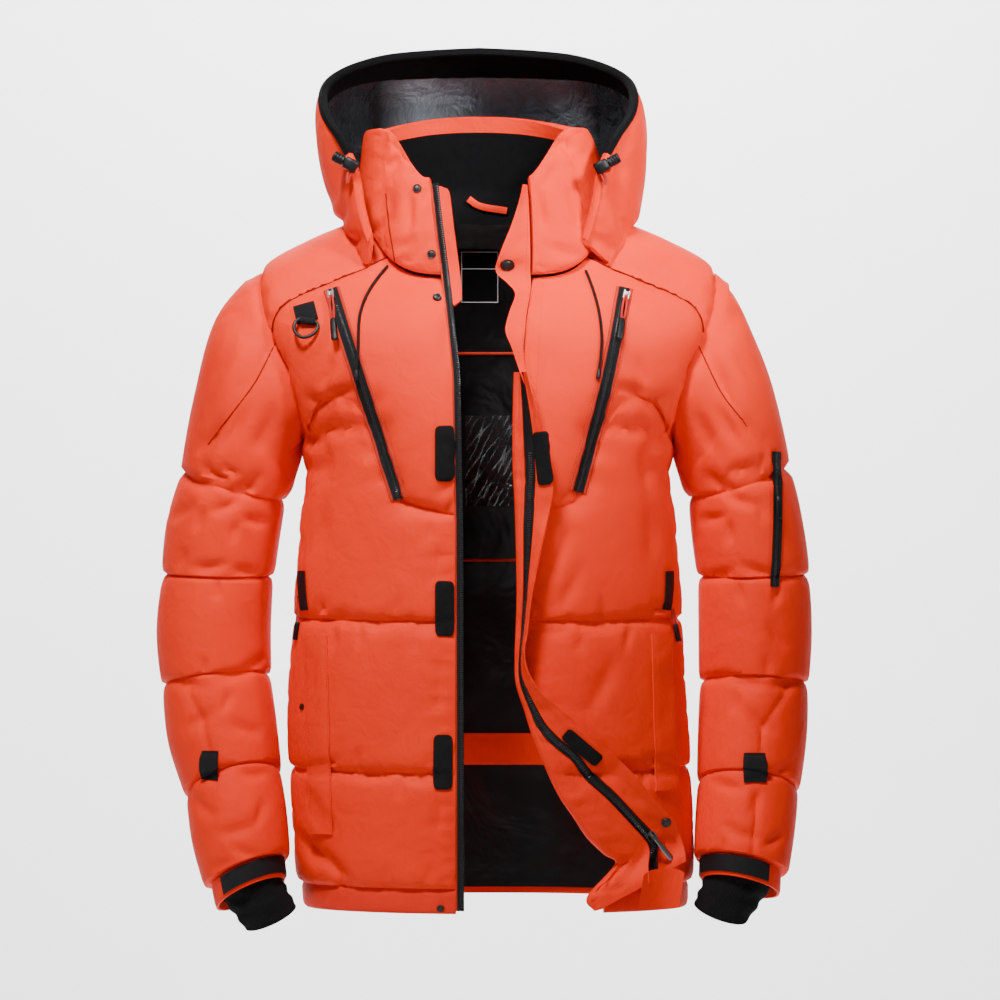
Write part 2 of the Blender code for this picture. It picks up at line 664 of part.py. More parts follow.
def rounded_patch(x, z, width, height):
    """Grid of places for an upright rectangle with rounded corners."""
    v, u = np.meshgrid(np.array((-1, -0.8, -0.3, 0.3, 0.8, 1)), np.linspace(-1, 1, 4), indexing="ij")
    across = u * width / 2 * (1 - 0.3 * np.abs(v) ** 8)
    return x + across, z + v * height / 2


HOOD_MID_X = -10
HOOD_LIFT = 3.2
HOOD_FRONT_ANGLE = -38
HOOD_SEAM = 0.62
HOOD_BULGE = ((0, 0), (0.15, 2), (0.3, 8), (0.5, 14), (0.65, 30), (0.8, 58), (1.0, 78))
HOOD_RISES = np.array((0.0, 0.12, 0.28, 0.45, 0.62, 0.78, 0.87, 0.95, 1.0))
LINING_RISES = {"lining_hood": (0.12, 0.28, 0.45, 0.62, 0.78, 0.87), "hood_facing": (0.874, 0.95, 0.985)}


def hood_point(share, rise, side, tree):
    """Point of the hood's inner face: share 0 is its front end and 1 centre back, rise 1 the brim."""
    angle = HOOD_FRONT_ANGLE + (90 - HOOD_FRONT_ANGLE) * share
    foot = body(angle, HOOD_BASE_LEVEL, side)
    away = foot + unit(foot * (1, 1, 0)) * HOOD_WALL
    ground = [land(tree, place * (1, 1, 0) + (0, 0, 90), np.array((0.0, 0.0, -1.0)))[0][..., 2]
              for place in (foot, away)]
    foot[..., 2] = np.maximum(*ground) + HOOD_LIFT
    brim = smooth(share, np.linspace(0, 1, len(BRIM)), np.array(BRIM, float))
    brim = brim * (side, 1, 1) + (HOOD_MID_X, 0, 0)
    bulge = np.interp(share, *zip(*HOOD_BULGE))
    outward = unit(((foot + brim) / 2 - (HOOD_MID_X / 2, 10, 0)) * (1, 1, 0))
    line = foot[None] + (brim - foot)[None] * rise[:, None, None]
    swell = np.sin(np.pi * rise ** 0.9)[:, None, None] ** 0.8
    return line + (outward * bulge[:, None])[None] * swell


def hood(names, tree, shell, facing, lining, collection):
    """The hood's side pieces and crown, with the facing and lining that show inside."""
    shares = np.concatenate([np.linspace(0, HOOD_SEAM, 10), np.linspace(HOOD_SEAM, 1, 6)[1:]])
    halves = [hood_point(shares, HOOD_RISES, side, tree) for side in (-1, 1)]
    whole = np.concatenate([halves[0], halves[1][:, -2::-1]], axis=1)
    out = spread(whole, (HOOD_MID_X, 40, 90))
    seam, last = 9, whole.shape[1] - 1
    rise_pad = puff(0.04 + 0.92 * HOOD_RISES)[:, None]
    made = []
    for name, first, end in zip(names, (0, seam, last - seam), (seam, last - seam, last)):
        part = slice(first, end + 1)
        base, way = whole[:, part].copy(), out[:, part]
        step = unit(base[:, 1] - base[:, 0]) * SEAM_GAP
        if first:
            base[:, 0] += step
        thickness = HOOD_WALL - 2 + HOOD_PUFF * rise_pad * puff(np.linspace(0, 1, end - first + 1))
        made.append(wall(name, base, base + way * thickness[..., None], shell, collection))
    for name, material in (("hood_facing", facing), ("lining_hood", lining)):
        rises = np.array(LINING_RISES[name])
        grid = smooth(rises, HOOD_RISES, whole)[:, 1:-1]
        way = smooth(rises, HOOD_RISES, out)[:, 1:-1]
        wall(name, grid - way * 1.8, grid - way * 0.4, material, collection)
    return surface_tree(*made)


def edge_strip(name, first, width, rows, material, collection, thickness=1.6, lift=1.2):
    """A strip beside the right front's free edge: rows pairs the edge's points with their way forward."""
    edge, way = rows
    beside = unit(np.cross(np.gradient(edge, axis=0), way))
    beside *= np.where(beside[:, :1] > 0, 1, -1)
    offsets = np.array((first, first + width))
    inner = edge[:, None] + beside[:, None] * offsets[None, :, None] + (way * lift)[:, None]
    return wall(name, inner, inner + (way * thickness)[:, None], material, collection)


COLLAR_EDGE_WAY = (-0.3, -0.95, 0.05)


def right_edge_rows(low_level, high_level, low_rise, high_rise):
    """Points and outward ways up the right front's edge and on up the collar's edge."""
    edge_at = front_edge(-1)
    levels = np.arange(low_level, high_level, 24.0)
    angles = edge_at(levels)
    points, ways = body(angles, levels, -1), body_normal(angles, levels, -1)
    rises = np.linspace(low_rise, high_rise, 5)
    low, high = COLLAR_EDGES[-1]
    upper = collar_point(low + (high - low) * rises, rises, -1)
    upper_ways = np.tile(COLLAR_EDGE_WAY, (len(upper), 1))
    return np.concatenate([points, upper]), np.concatenate([ways, upper_ways])


TURNED_GAP = 1.4
# The facing's way round the fold, from its first point on the front
FOLD_TURN = ((-2.4, 7.5, 0), (-2.6, 3.0, 0))


def turned_edge(tree, zip_width, wall_thickness):
    """Grids of the left front's turned edge: facing, zip tape and storm flap, in turn.

    Each row runs from the fold across the zip to the flap's free edge. It lies on
    the front and stands off it towards the free edge by the row's lift.
    """
    table = np.array(FOLD, float)
    rows = smooth(np.linspace(0, len(table) - 1, 23), np.arange(len(table)), table)
    fold, zipper, free, lift = rows[:, 0:2], rows[:, 2:4], rows[:, 4:6], rows[:, 6]
    span = np.linalg.norm(free - fold, axis=1)
    middle = np.linalg.norm(zipper - fold, axis=1) / span
    half = np.minimum(zip_width / 2 / np.maximum(span, 20), 0.16)
    gap = 0.8 / np.hypot(span, lift)

    def lie(low, high, count):
        share = low[:, None] + (high - low)[:, None] * np.linspace(0, 1, count)
        place = fold[:, None] + (free - fold)[:, None] * share[..., None]
        cast = np.maximum(place[..., 0], fold[:, :1] + FOLD_COVER + 2)
        origins = between(np.stack([cast, np.full(cast.shape, -400.0), place[..., 1]], axis=-1), 3)
        spots, _ = land(tree, origins, FRONT_ON)
        ahead = most_beside(between(spots[::3, ::3, 1], 3) - spots[..., 1], 3)
        return share, place, spots[::3, ::3, 1], ahead.max(axis=1, keepdims=True)

    def grid(share, place, y, wrap):
        y = y - raised - TURNED_GAP - lift[:, None] * share**1.3
        points = np.stack([place[..., 0], y, place[..., 1]], axis=-1)
        if wrap:
            turn = [points[:, :1] + offset for offset in FOLD_TURN]
            points = np.concatenate([*turn, points], axis=1)
        out = unit(np.cross(np.gradient(points, axis=1), np.gradient(points, axis=0)))
        out *= -1 if out[..., 1].mean() > 0 else 1
        return points, points + out * wall_thickness

    zero, one = np.zeros(len(rows)), np.ones(len(rows))
    strips = [lie(zero, middle - half - gap, 4), lie(middle - half, middle + half, 2),
              lie(middle + half + gap, one, 4)]
    raised = np.max([strip[3] for strip in strips], axis=0)
    return [grid(*strip[:3], wrap=number == 0) for number, strip in enumerate(strips)]


FLAP_COLUMNS = ("z", "edge_x", "free_x")
FLAP_TOP = (
    (-140, 35.7, 28),
    (-122, 37.0, 23),
    (-105, 38.2, 17),
    (-86, 40.2, 22),
    (-67, 43.4, 29),
    (-55, 44.6, 18),
    (-42, 44.0, 6),
    (-20, 43.9, 15),
    (5, 43.4, 25),
    (30, 42.4, 33),
    (48, 41.0, 36),
)


FLAP_ROOT = 2
FLAP_RISE = 4
FLAP_WALL = 3.0


def flap_top(name, tree, material, collection):
    """The storm flap's upper length, which still faces forwards beside the collar and the chest."""
    rows = np.array(FLAP_TOP, float)
    z = smooth(np.linspace(0, len(rows) - 1, 16), np.arange(len(rows)), rows[:, 0])
    edge = np.interp(z, rows[:, 0], rows[:, 1])
    free = np.interp(z, rows[:, 0], rows[:, 2])
    share = np.linspace(0, 1, 4)
    x = edge[:, None] + (free - edge)[:, None] * share
    origins = np.stack([edge[:, None] + 8, np.full((len(z), 1), -400.0), z[:, None]], axis=-1)
    spots, _ = land(tree, origins, FRONT_ON)
    y = np.repeat(spots[..., 1], 4, axis=1) + FLAP_ROOT - FLAP_RISE * share
    points = np.stack([x, y, z[:, None] + 0 * x], axis=-1)
    return wall(name, points, points + (0, -FLAP_WALL, 0), material, collection)


# Rows of the back's grid that the lining keeps
LINING_ROWS = np.array((2, 5, 7, 10, 12, 14, 15, 16, 17, 18, 19, 20, 21))
LINING_DEPTHS = (2.8, 1.6)


def back_lining(name, material, collection):
    """The lining behind the open front: the back's own grid, moved inwards and down to the hem."""
    halves = []
    for side in (-1, 1):
        seam = np.full(len(BACK_SHARES), float(ARMPIT_LEVEL))
        angle, level, _ = panel_grid(BACK_SHARES, BACK_NECK_COLUMN, lambda at: np.full(np.shape(at), 90.0),
                                     BACK_NECK_ANGLE, 1, seam)
        angle = np.concatenate([angle[:1], angle[LINING_ROWS]])
        level = np.concatenate([0 * level[:1] + LINING_LEVEL, level[LINING_ROWS]])
        base, way = body(angle, level, side)[:, :-1], body_normal(angle, level, side)[:, :-1]
        halves.append([base - way * depth for depth in LINING_DEPTHS])
    inner = np.concatenate([halves[0][0][:, :0:-1], halves[1][0]], axis=1)
    outer = np.concatenate([halves[0][1][:, :0:-1], halves[1][1]], axis=1)
    return wall(name, inner, outer, material, collection)


# Rows of the cuff band after the sleeve's last quilting line, and its faces' distances
BAND_ROWS = (0.06, 0.5, 1.0)
BAND_FACES = (1.0, 5.0)
KNIT_INSET = 5.5
KNIT_WALL = 2.6


def cuff_tubes(rings, end, names, collection):
    """The black band on the sleeve's end and the knit cuff that comes out of it."""
    last = 1.0 + CUFF_ROW
    base = smooth(last + np.array(BAND_ROWS), np.arange(len(rings), dtype=float), rings)
    out = unit(base - base.mean(axis=1, keepdims=True))
    near, far = BAND_FACES
    wall(names[0], base + out * near, base + out * far, TRIM, collection, closed=True)
    turns = np.radians(np.arange(0, 360, TURN_STEP))[:, None]
    middle, reach, depth = (np.array(end[part]) for part in ("middle", "reach", "depth"))
    last_ring = middle + reach * np.cos(turns) + depth * np.sin(turns)
    steps = np.linspace(0, 1, 3)[:, None, None]
    tube = (base[1] - out[1] * KNIT_INSET)[None] * (1 - steps) + last_ring[None] * steps
    way = unit(tube - tube.mean(axis=1, keepdims=True))
    wall(names[1], tube, tube + way * KNIT_WALL, KNIT, collection, closed=True)


KNIT_ENDS = {
    -1: {"middle": (-225, -62, -711), "reach": (-24, 0, -10), "depth": (0, -30, -6)},
    1: {"middle": (241, -62, -706), "reach": (25, 0, -8), "depth": (0, -30, -6)},
}
PATCH_SIZE = (19, 56)
RIGHT_PATCHES = ((-42, -231), (-42, -389), (-44, -545))
CHEST_ZIP_WIDTH = 11
WELT_WIDTH = 25
TAPE_THICKNESS = 1.5
WELT_THICKNESS = 2.5
CHEST_ZIPS = {"right": ((-161, -61), (-133, -146), (-107, -226), (-91, -277)),
              "left": ((141, -60), (124, -146), (104, -224), (92, -270))}
WELTS = {"right": ((-177, -418), (-174, -520), (-171, -622)), "left": ((180, -416), (182, -500), (184, -577))}
WAIST_WIDTH = 34
WAIST_BAND = ((-140, -547), (0, -547), (140, -547))
ARM_ZIP = ((299, -228), (300, -300), (297, -368))


# Zip fittings, as seen from the front: the slider's place and where the pull's end hangs
ZIP_PULLS = {
    "chest_right": ((-160, -68), (-146, -125)),
    "chest_left": ((141, -69), (125, -125)),
    "pocket_right": ((-192, -382), (-192.5, -424)),
    "pocket_left": ((186, -384), (187, -426)),
    "arm": ((299.5, -276), (300, -298)),
    "main": ((167, -622), (196, -644)),
}
# Sections down each kind of pull: distance from the hinge, half width, half thickness
PULL_COLUMNS = ("along", "half_width", "half_thickness")
HEAD = (
    (-1.5, 1.4, 0.3),
    (-1.3, 1.6, 0.75),
    (-0.75, 1.6, 1.3),
    (0, 1.6, 1.5),
    (1.0, 1.6, 1.2),
    (1.8, 1.6, 1.0),
)
CORD_PULL = HEAD + ((0.58, 1.5, 1.2), (0.62, 2.6, 1.6), (0.96, 3.0, 1.6), (1.0, 2.2, 1.0))
PLATE_PULL = HEAD + ((0.35, 1.8, 0.9), (0.45, 3.2, 0.9), (0.94, 3.4, 0.9), (1.0, 2.6, 0.7))
BEVELLED_CORNERS = ((1, 0.5), (0.6, 1), (-0.6, 1), (-1, 0.5), (-1, -0.5), (-0.6, -1), (0.6, -1), (1, -0.5))
HEAD_HEIGHT = 3.0
SLIDER_BASE = 1.2
SLIDER_LENGTH = 9.0
SLIDER_INNER = 1.9
SLIDER_OUTER = 3.3
SLIDER_TOP = 4.4
SLIDER_GAP = 0.4
PULL_SEAT = 0.2
CLOTH_CLEARANCE = 3.2
LEAST_SLOPE = -0.1
# Places along and across a fitting at which the cloth below it is measured
SLIDER_RUN = (-4.6, -2.3, 0, 2.3, 4.6)
PULL_RUN_START = 8
PULL_RUN_WIDTH = 3.4


def pull_frame(tree, start, end):
    """A slider's place on the cloth and its pull's hinge, with the ways across, along and out of each.

    The pull leans away from the cloth as far as it must to clear it.
    """
    start, end = np.array(start, float), np.array(end, float)
    spot, normal = land(tree, np.array(((start[0], -400.0, start[1]),)), FRONT_ON)
    spot, out = spot[0], unit(normal[0] * (1, 1, 0.4))
    way = np.array((end[0] - start[0], 0.0, end[1] - start[1]))
    along = unit(way - out * (way @ out))
    across = np.cross(out, along)
    length = np.linalg.norm(way)
    run = np.concatenate([SLIDER_RUN, np.linspace(PULL_RUN_START, length + 2, 8)])
    beside = np.linspace(-PULL_RUN_WIDTH, PULL_RUN_WIDTH, 5)
    places = spot + along * run[:, None, None] + across * beside[None, :, None]
    below, _ = land(tree, places + out * 12, -out)
    height = ((below - spot) @ out).max(axis=1)
    base = height[:5].max() + SLIDER_GAP
    slope = ((height[5:] + CLOTH_CLEARANCE - base - HEAD_HEIGHT) / run[5:]).max()
    leaning = unit(along + out * max(slope, LEAST_SLOPE))
    base = spot + out * base
    hinge = base + out * HEAD_HEIGHT
    return (base, across, along, out), (hinge, across, leaning, np.cross(leaning, across), length)


def slider(name, frame, material, collection):
    """A slider's body, a channel whose cheeks stand on each side of the pull's head."""
    base, across, along, out = frame
    profile = ((-SLIDER_OUTER, 0), (SLIDER_OUTER, 0), (SLIDER_OUTER, SLIDER_TOP), (SLIDER_INNER, SLIDER_TOP),
               (SLIDER_INNER, SLIDER_BASE), (-SLIDER_INNER, SLIDER_BASE), (-SLIDER_INNER, SLIDER_TOP),
               (-SLIDER_OUTER, SLIDER_TOP))
    shape = bmesh.new()
    end = base - along * SLIDER_LENGTH / 2
    ring = [shape.verts.new((end + across * u + out * n) * MM) for u, n in profile]
    face = shape.faces.new(ring)
    grown = bmesh.ops.extrude_face_region(shape, geom=[face])
    moved = [item for item in grown["geom"] if isinstance(item, bmesh.types.BMVert)]
    bmesh.ops.translate(shape, verts=moved, vec=Vector(along * SLIDER_LENGTH * MM))
    return solid(name, shape, material, collection)


def solid(name, shape, material, collection):
    """An object from a closed shape, its faces turned outwards and cut into triangles."""
    bmesh.ops.triangulate(shape, faces=shape.faces)
    bmesh.ops.recalc_face_normals(shape, faces=shape.faces)
    if shape.calc_volume(signed=True) < 0:
        bmesh.ops.reverse_faces(shape, faces=shape.faces)
    mesh = bpy.data.meshes.new(name)
    shape.to_mesh(mesh)
    shape.free()
    return add(name, mesh, material, collection)


def pull(name, frame, stations, on_slider, material, collection):
    """A pull, a bar of bevelled sections. Its object's origin lies on the hinge, in its rounded head."""
    hinge, across, along, out, length = frame
    if not on_slider:
        hinge = hinge - out * (HEAD_HEIGHT - HEAD[3][2] + PULL_SEAT)
    corner = np.array(BEVELLED_CORNERS)
    shape = bmesh.new()
    rings = []
    for row, (at, width, thick) in enumerate(stations):
        reach = at if row < len(HEAD) else at * length
        points = along * reach + across * (corner[:, :1] * width) + out * (corner[:, 1:] * thick)
        rings.append([shape.verts.new(point * MM) for point in points])
    for low, high in zip(rings, rings[1:]):
        for here in range(len(corner)):
            nxt = (here + 1) % len(corner)
            shape.faces.new((low[here], low[nxt], high[nxt], high[here]))
    shape.faces.new(rings[0])
    shape.faces.new(rings[-1])
    obj = solid(name, shape, material, collection)
    obj.location = hinge * MM
    return obj


def tube(name, route, radius, material, collection, cyclic=False, resolution=2):
    """A round tube along a line of points, closed at its ends."""
    curve = bpy.data.curves.new(name, "CURVE")
    curve.dimensions = "3D"
    curve.bevel_depth = radius * MM
    curve.bevel_resolution = resolution
    curve.use_fill_caps = not cyclic
    spline = curve.splines.new("POLY")
    spline.points.add(len(route) - 1)
    for point, place in zip(spline.points, route):
        point.co = (*(np.array(place) * MM), 1.0)
    spline.use_cyclic_u = cyclic
    curve.materials.append(finish(name, *material))
    obj = bpy.data.objects.new(name, curve)
    collection.objects.link(obj)
    return obj


# The D-shaped ring in its own plane: across and down from the middle of its bar
RING_BAR = ((-9.5, 0), (9.5, 0))
RING_BOW = ((11.5, -2.0), (12.5, -6), (10.5, -13), (5, -18), (0, -19.5), (-5, -18), (-10.5, -13), (-12.5, -6),
            (-11.5, -2.0))
RING_PLACE = (-184, -97)
RING_TILT = -18
RING_WIRE = 1.4
EYE_INNER = 2.0
EYE_WALL = 1.2
EYE_LENGTH = 15
EYE_LIFT = 2.6


def ring_and_webbing(tree, collection):
    """The D-shaped ring on the right shoulder and the looped webbing that its bar turns in."""
    spot, normal = land(tree, np.array((RING_PLACE[0], -400.0, RING_PLACE[1])), FRONT_ON)
    out = unit(normal)
    tilt = math.radians(RING_TILT)
    level = np.array((math.cos(tilt), 0.0, math.sin(tilt)))
    across = unit(level - out * (out @ level))
    down = np.cross(out, across)
    down *= -1 if down[2] > 0 else 1
    centre = spot + out * (EYE_INNER + EYE_WALL + EYE_LIFT)
    ring = [across * u - down * v for u, v in RING_BAR + RING_BOW]
    obj = tube("d_ring", ring, RING_WIRE, METAL, collection, cyclic=True)
    obj.location = centre * MM
    turns = np.radians(np.arange(0, 360, 30))[None, :, None]
    ends = centre + across * np.array((-EYE_LENGTH / 2, EYE_LENGTH / 2))[:, None]
    spokes = np.cos(turns) * out + np.sin(turns) * down
    wall("ring_webbing", ends[:, None] + spokes * EYE_INNER, ends[:, None] + spokes * (EYE_INNER + EYE_WALL),
         TRIM, collection, closed=True)
    return centre, across


LOCKS = {"lock_right": ((-147, 71), 28), "lock_left": ((123, 69), -28)}
LOCK_SIZE = (26, 11, 15)
LOCK_GAP = 0.6
LOCK_BEVEL = 3


def cord_lock(name, tree, place, tilt, material, collection):
    """A spring lock on the hood's cord, a bevelled block that lies on the hood."""
    u, v = np.meshgrid(np.linspace(-12, 12, 9), np.linspace(-6.5, 6.5, 5))
    turn = math.radians(tilt)
    x, z = u * math.cos(turn) + v * math.sin(turn), v * math.cos(turn) - u * math.sin(turn)
    spots, _ = land(tree, np.stack([place[0] + x, np.full(x.shape, -400.0), place[1] + z], axis=-1), FRONT_ON)
    middle_y = spots[..., 1].min() - LOCK_SIZE[1] / 2 - LOCK_GAP
    shape = bmesh.new()
    bmesh.ops.create_cube(shape, size=1.0)
    bmesh.ops.scale(shape, vec=Vector(LOCK_SIZE) * MM, verts=shape.verts)
    bmesh.ops.bevel(shape, geom=shape.edges, offset=LOCK_BEVEL * MM, segments=2, affect="EDGES", profile=0.5)
    obj = solid(name, shape, material, collection)
    obj.location = (place[0] * MM, middle_y * MM, place[1] * MM)
    obj.rotation_euler = (0, math.radians(tilt), 0)
    return obj


# Drawcords hanging from under the hood, seen from the front
DRAWCORDS = {
    "drawcord_right": ((-103.9, -36.2), (-114, -49.4), (-123.3, -64.8), (-130.9, -87.2), (-132.4, -109.7),
                       (-132.4, -123), (-134.5, -154.6)),
    "drawcord_left": ((101.5, -41.3), (107.6, -58.6), (112.7, -78), (115.8, -97.4), (116.8, -115.8),
                      (115.8, -130), (112.7, -153.6)),
}
CORD_RADIUS = 1.5
CORD_STEP = 9.0
CORD_GAP = 2.0


def drawcord(name, tree, material, collection):
    places = np.array(DRAWCORDS[name], float)
    run = np.concatenate([[0], np.cumsum(np.linalg.norm(np.diff(places, axis=0), axis=1))])
    line = smooth(np.linspace(0, run[-1], int(run[-1] / CORD_STEP) + 1), run, places)
    origins = np.stack([line[:, 0], np.full(len(line), -400.0), line[:, 1]], axis=-1)
    spots, _ = land(tree, origins, FRONT_ON)
    route = np.stack([line[:, 0], spots[:, 1] - CORD_RADIUS - CORD_GAP, line[:, 1]], axis=-1)
    return tube(name, route, CORD_RADIUS, material, collection)


INSIDE_GAP = 0.4
LABEL_THICKNESS = 0.8
WAIST_THICKNESS = 1.2
CLEAR_POCKET = ((-25, -187), (26, -285))
SIZE_LABEL = ((-40, -11), (12, -67))


def flat_place(corners, across, down):
    """Grid of places for an upright rectangle between two corners."""
    (left, top), (right, low) = corners
    z, x = np.meshgrid(np.linspace(top, low, down), np.linspace(left, right, across), indexing="ij")
    return x, z


def shell_pieces(jacket):
    """The padded shell, with the trees that later pieces land on."""
    fronts = {"right": front_panel("front_right", -1, SHELL, jacket),
              "left": front_panel("front_left", 1, SHELL, jacket)}
    yokes = {"right": yoke("yoke_right", -1, SHELL, jacket), "left": yoke("yoke_left", 1, SHELL, jacket)}
    back = back_panel("back_panel", SHELL, jacket)
    hem_front("hem_right", -1, 9, SHELL, jacket)
    hem_left = hem_front("hem_left", 1, 7, SHELL, jacket)
    hem_back("hem_back", SHELL, jacket)
    collars = {"right": collar_front("collar_right", -1, SHELL, jacket),
               "left": collar_front("collar_left", 1, SHELL, jacket)}
    collar_back("collar_back", SHELL, jacket)
    trees = {word: surface_tree(fronts[word], yokes[word]) for word in ("right", "left")}
    trees["shoulders"] = surface_tree(back, *fronts.values(), *yokes.values())
    trees["edge"] = surface_tree(fronts["left"], hem_left)
    trees["flap"] = surface_tree(fronts["left"], collars["left"])
    return fronts, trees


def sleeve_pieces(jacket):
    trees = {}
    for side, word, table in ((-1, "right", SLEEVE_RIGHT), (1, "left", SLEEVE_LEFT)):
        names = (f"sleeve_{word}_upper", f"sleeve_{word}_lower")
        made, rings = sleeve(side, table, names, SHELL, jacket)
        trees[word] = surface_tree(*made)
        cuff_tubes(rings, KNIT_ENDS[side], (f"cuff_band_{word}", f"knit_cuff_{word}"), jacket)
    return trees


def inside_pieces(jacket):
    lining = back_lining("lining_back", SATIN, jacket)
    collar_lining("lining_collar", TRIM, jacket)
    inside = surface_tree(lining)
    within = {"start_y": 0.0, "gap": INSIDE_GAP}
    lay("waist_band", inside, *ribbon(WAIST_BAND, WAIST_WIDTH, 2), WAIST_THICKNESS, SHELL, jacket, **within)
    lay("clear_pocket", inside, *flat_place(CLEAR_POCKET, 3, 4), LABEL_THICKNESS, FILM, jacket, **within)
    lay("size_label", inside, *flat_place(SIZE_LABEL, 3, 3), LABEL_THICKNESS, TRIM, jacket, **within)


def build():
    clear_scene()
    jacket = new_collection("jacket")
    fronts, trees = shell_pieces(jacket)
    sleeves = sleeve_pieces(jacket)
    hood_names = ("hood_right", "hood_crown", "hood_left")
    hood_tree = hood(hood_names, trees["shoulders"], SHELL, TRIM, SATIN, jacket)
    inside_pieces(jacket)
    tape_rows = right_edge_rows(TAPE_LEVEL, EDGE_TOP_LEVEL, 0.02, 0.95)
    edge_strip("zip_tape_right", 0.4, ZIP_WIDTH - 1, tape_rows, TRIM, jacket)
    guard_rows = right_edge_rows(GUARD_LEVEL, EDGE_TOP_LEVEL, 0.02, 0.9)
    edge_strip("guard_right", ZIP_WIDTH, GUARD_WIDTH, guard_rows, SHELL, jacket)
    facing, tape, flap = turned_edge(trees["edge"], ZIP_WIDTH, TURNED_WALL)
    turned = [wall("facing_left", *facing, SHELL, jacket), wall("zip_tape_left", *tape, TRIM, jacket),
              wall("storm_flap", *flap, SHELL, jacket)]
    flap_top("flap_top", trees["flap"], SHELL, jacket)
    zips = {"main": surface_tree(*turned)}
    for word in ("right", "left"):
        chest, pocket = ribbon(CHEST_ZIPS[word], CHEST_ZIP_WIDTH, 2), ribbon(WELTS[word], WELT_WIDTH, 4)
        tape = lay(f"chest_zip_{word}", trees[word], *chest, TAPE_THICKNESS, TRIM, jacket)
        welt = lay(f"welt_{word}", trees[word], *pocket, WELT_THICKNESS, SHELL, jacket)
        zips[f"chest_{word}"] = surface_tree(fronts[word], tape)
        zips[f"pocket_{word}"] = surface_tree(fronts[word], welt)
    for number, (x, z) in enumerate(RIGHT_PATCHES, 1):
        places = rounded_patch(x, z, *PATCH_SIZE)
        lay(f"patch_right_{number}", trees["right"], *places, TAPE_THICKNESS, TRIM, jacket)
    places = ribbon(ARM_ZIP, ZIP_WIDTH, 2)
    zips["arm"] = surface_tree(lay("arm_zip", sleeves["left"], *places, TAPE_THICKNESS, TRIM, jacket))
    for name, places in ZIP_PULLS.items():
        slider_frame, frame = pull_frame(zips[name], *places)
        stations = PLATE_PULL if name in ("arm", "main") else CORD_PULL
        pull(f"pull_{name}", frame, stations, name != "arm", METAL if name == "main" else RUBBER, jacket)
        if name != "arm":
            slider(f"slider_{name}", slider_frame, METAL, jacket)
    ring_and_webbing(trees["right"], jacket)
    for name, (place, tilt) in LOCKS.items():
        cord_lock(name, hood_tree, place, tilt, RUBBER, jacket)
    for name in DRAWCORDS:
        drawcord(name, zips["chest_" + name.split("_")[1]], TRIM, jacket)


build()
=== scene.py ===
# %% [markdown]
# A hooded padded jacket, worn open, with no one in it. On the real thing each
# padded panel is two layers of woven nylon with filling between them, held down
# along quilting lines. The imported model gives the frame: its plain solids keep
# the jacket's true sizes. This script puts finer cloth on those sizes, in the
# colours and finishes of a photographed jacket.

import math

import bpy
import numpy as np
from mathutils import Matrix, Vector
from mathutils.bvhtree import BVHTree


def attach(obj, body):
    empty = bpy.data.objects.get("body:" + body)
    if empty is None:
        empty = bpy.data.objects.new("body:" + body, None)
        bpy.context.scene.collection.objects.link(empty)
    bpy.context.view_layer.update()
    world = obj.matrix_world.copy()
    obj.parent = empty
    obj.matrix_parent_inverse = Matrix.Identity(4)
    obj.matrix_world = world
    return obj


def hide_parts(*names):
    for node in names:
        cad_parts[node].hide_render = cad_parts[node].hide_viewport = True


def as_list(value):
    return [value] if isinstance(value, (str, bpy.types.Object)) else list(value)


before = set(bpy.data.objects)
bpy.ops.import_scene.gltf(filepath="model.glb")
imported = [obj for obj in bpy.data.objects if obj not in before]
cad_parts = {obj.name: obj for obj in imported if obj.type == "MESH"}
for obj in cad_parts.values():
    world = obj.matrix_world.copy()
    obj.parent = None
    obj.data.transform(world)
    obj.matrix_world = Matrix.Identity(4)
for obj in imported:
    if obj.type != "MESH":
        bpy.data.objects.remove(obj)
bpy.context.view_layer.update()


MM = 0.001
BODY_NAME = "garment"

# %% [markdown]
# The camera stands five metres in front, level with the jacket's middle, with a
# long lens. Near and far parts then keep nearly the same scale, as they do in
# the photograph.

# %% Camera
CAMERA_PLACE = (0.0126, -5.0, -0.27825)
VIEW_WIDTH, SENSOR_WIDTH = 1.05, 36.0
camera_data = bpy.data.cameras.new("camera")
camera_data.sensor_width = SENSOR_WIDTH
camera_data.lens = SENSOR_WIDTH * -CAMERA_PLACE[1] / VIEW_WIDTH
camera_data.clip_end = 50.0
camera = bpy.data.objects.new("camera", camera_data)
camera.location = CAMERA_PLACE
camera.rotation_euler = (math.radians(90), 0, 0)
bpy.context.scene.collection.objects.link(camera)
bpy.context.scene.camera = camera
print("camera lens", round(camera_data.lens, 1))

# %% [markdown]
# Studio light is soft: a pale room, a strong lamp high on the left, and a low
# broad one in front that opens the shadows. A narrow one reaches the right side
# of the hood, one behind serves the back, and one lights the wall alone. Floor
# and wall are single faces, far enough away to catch no shadow.

# %% Light and room
world = bpy.data.worlds.new("room")
world.use_nodes = True
room_light = world.node_tree.nodes["Background"].inputs
room_light["Color"].default_value = (0.82, 0.82, 0.82, 1)
room_light["Strength"].default_value = 0.17
bpy.context.scene.world = world
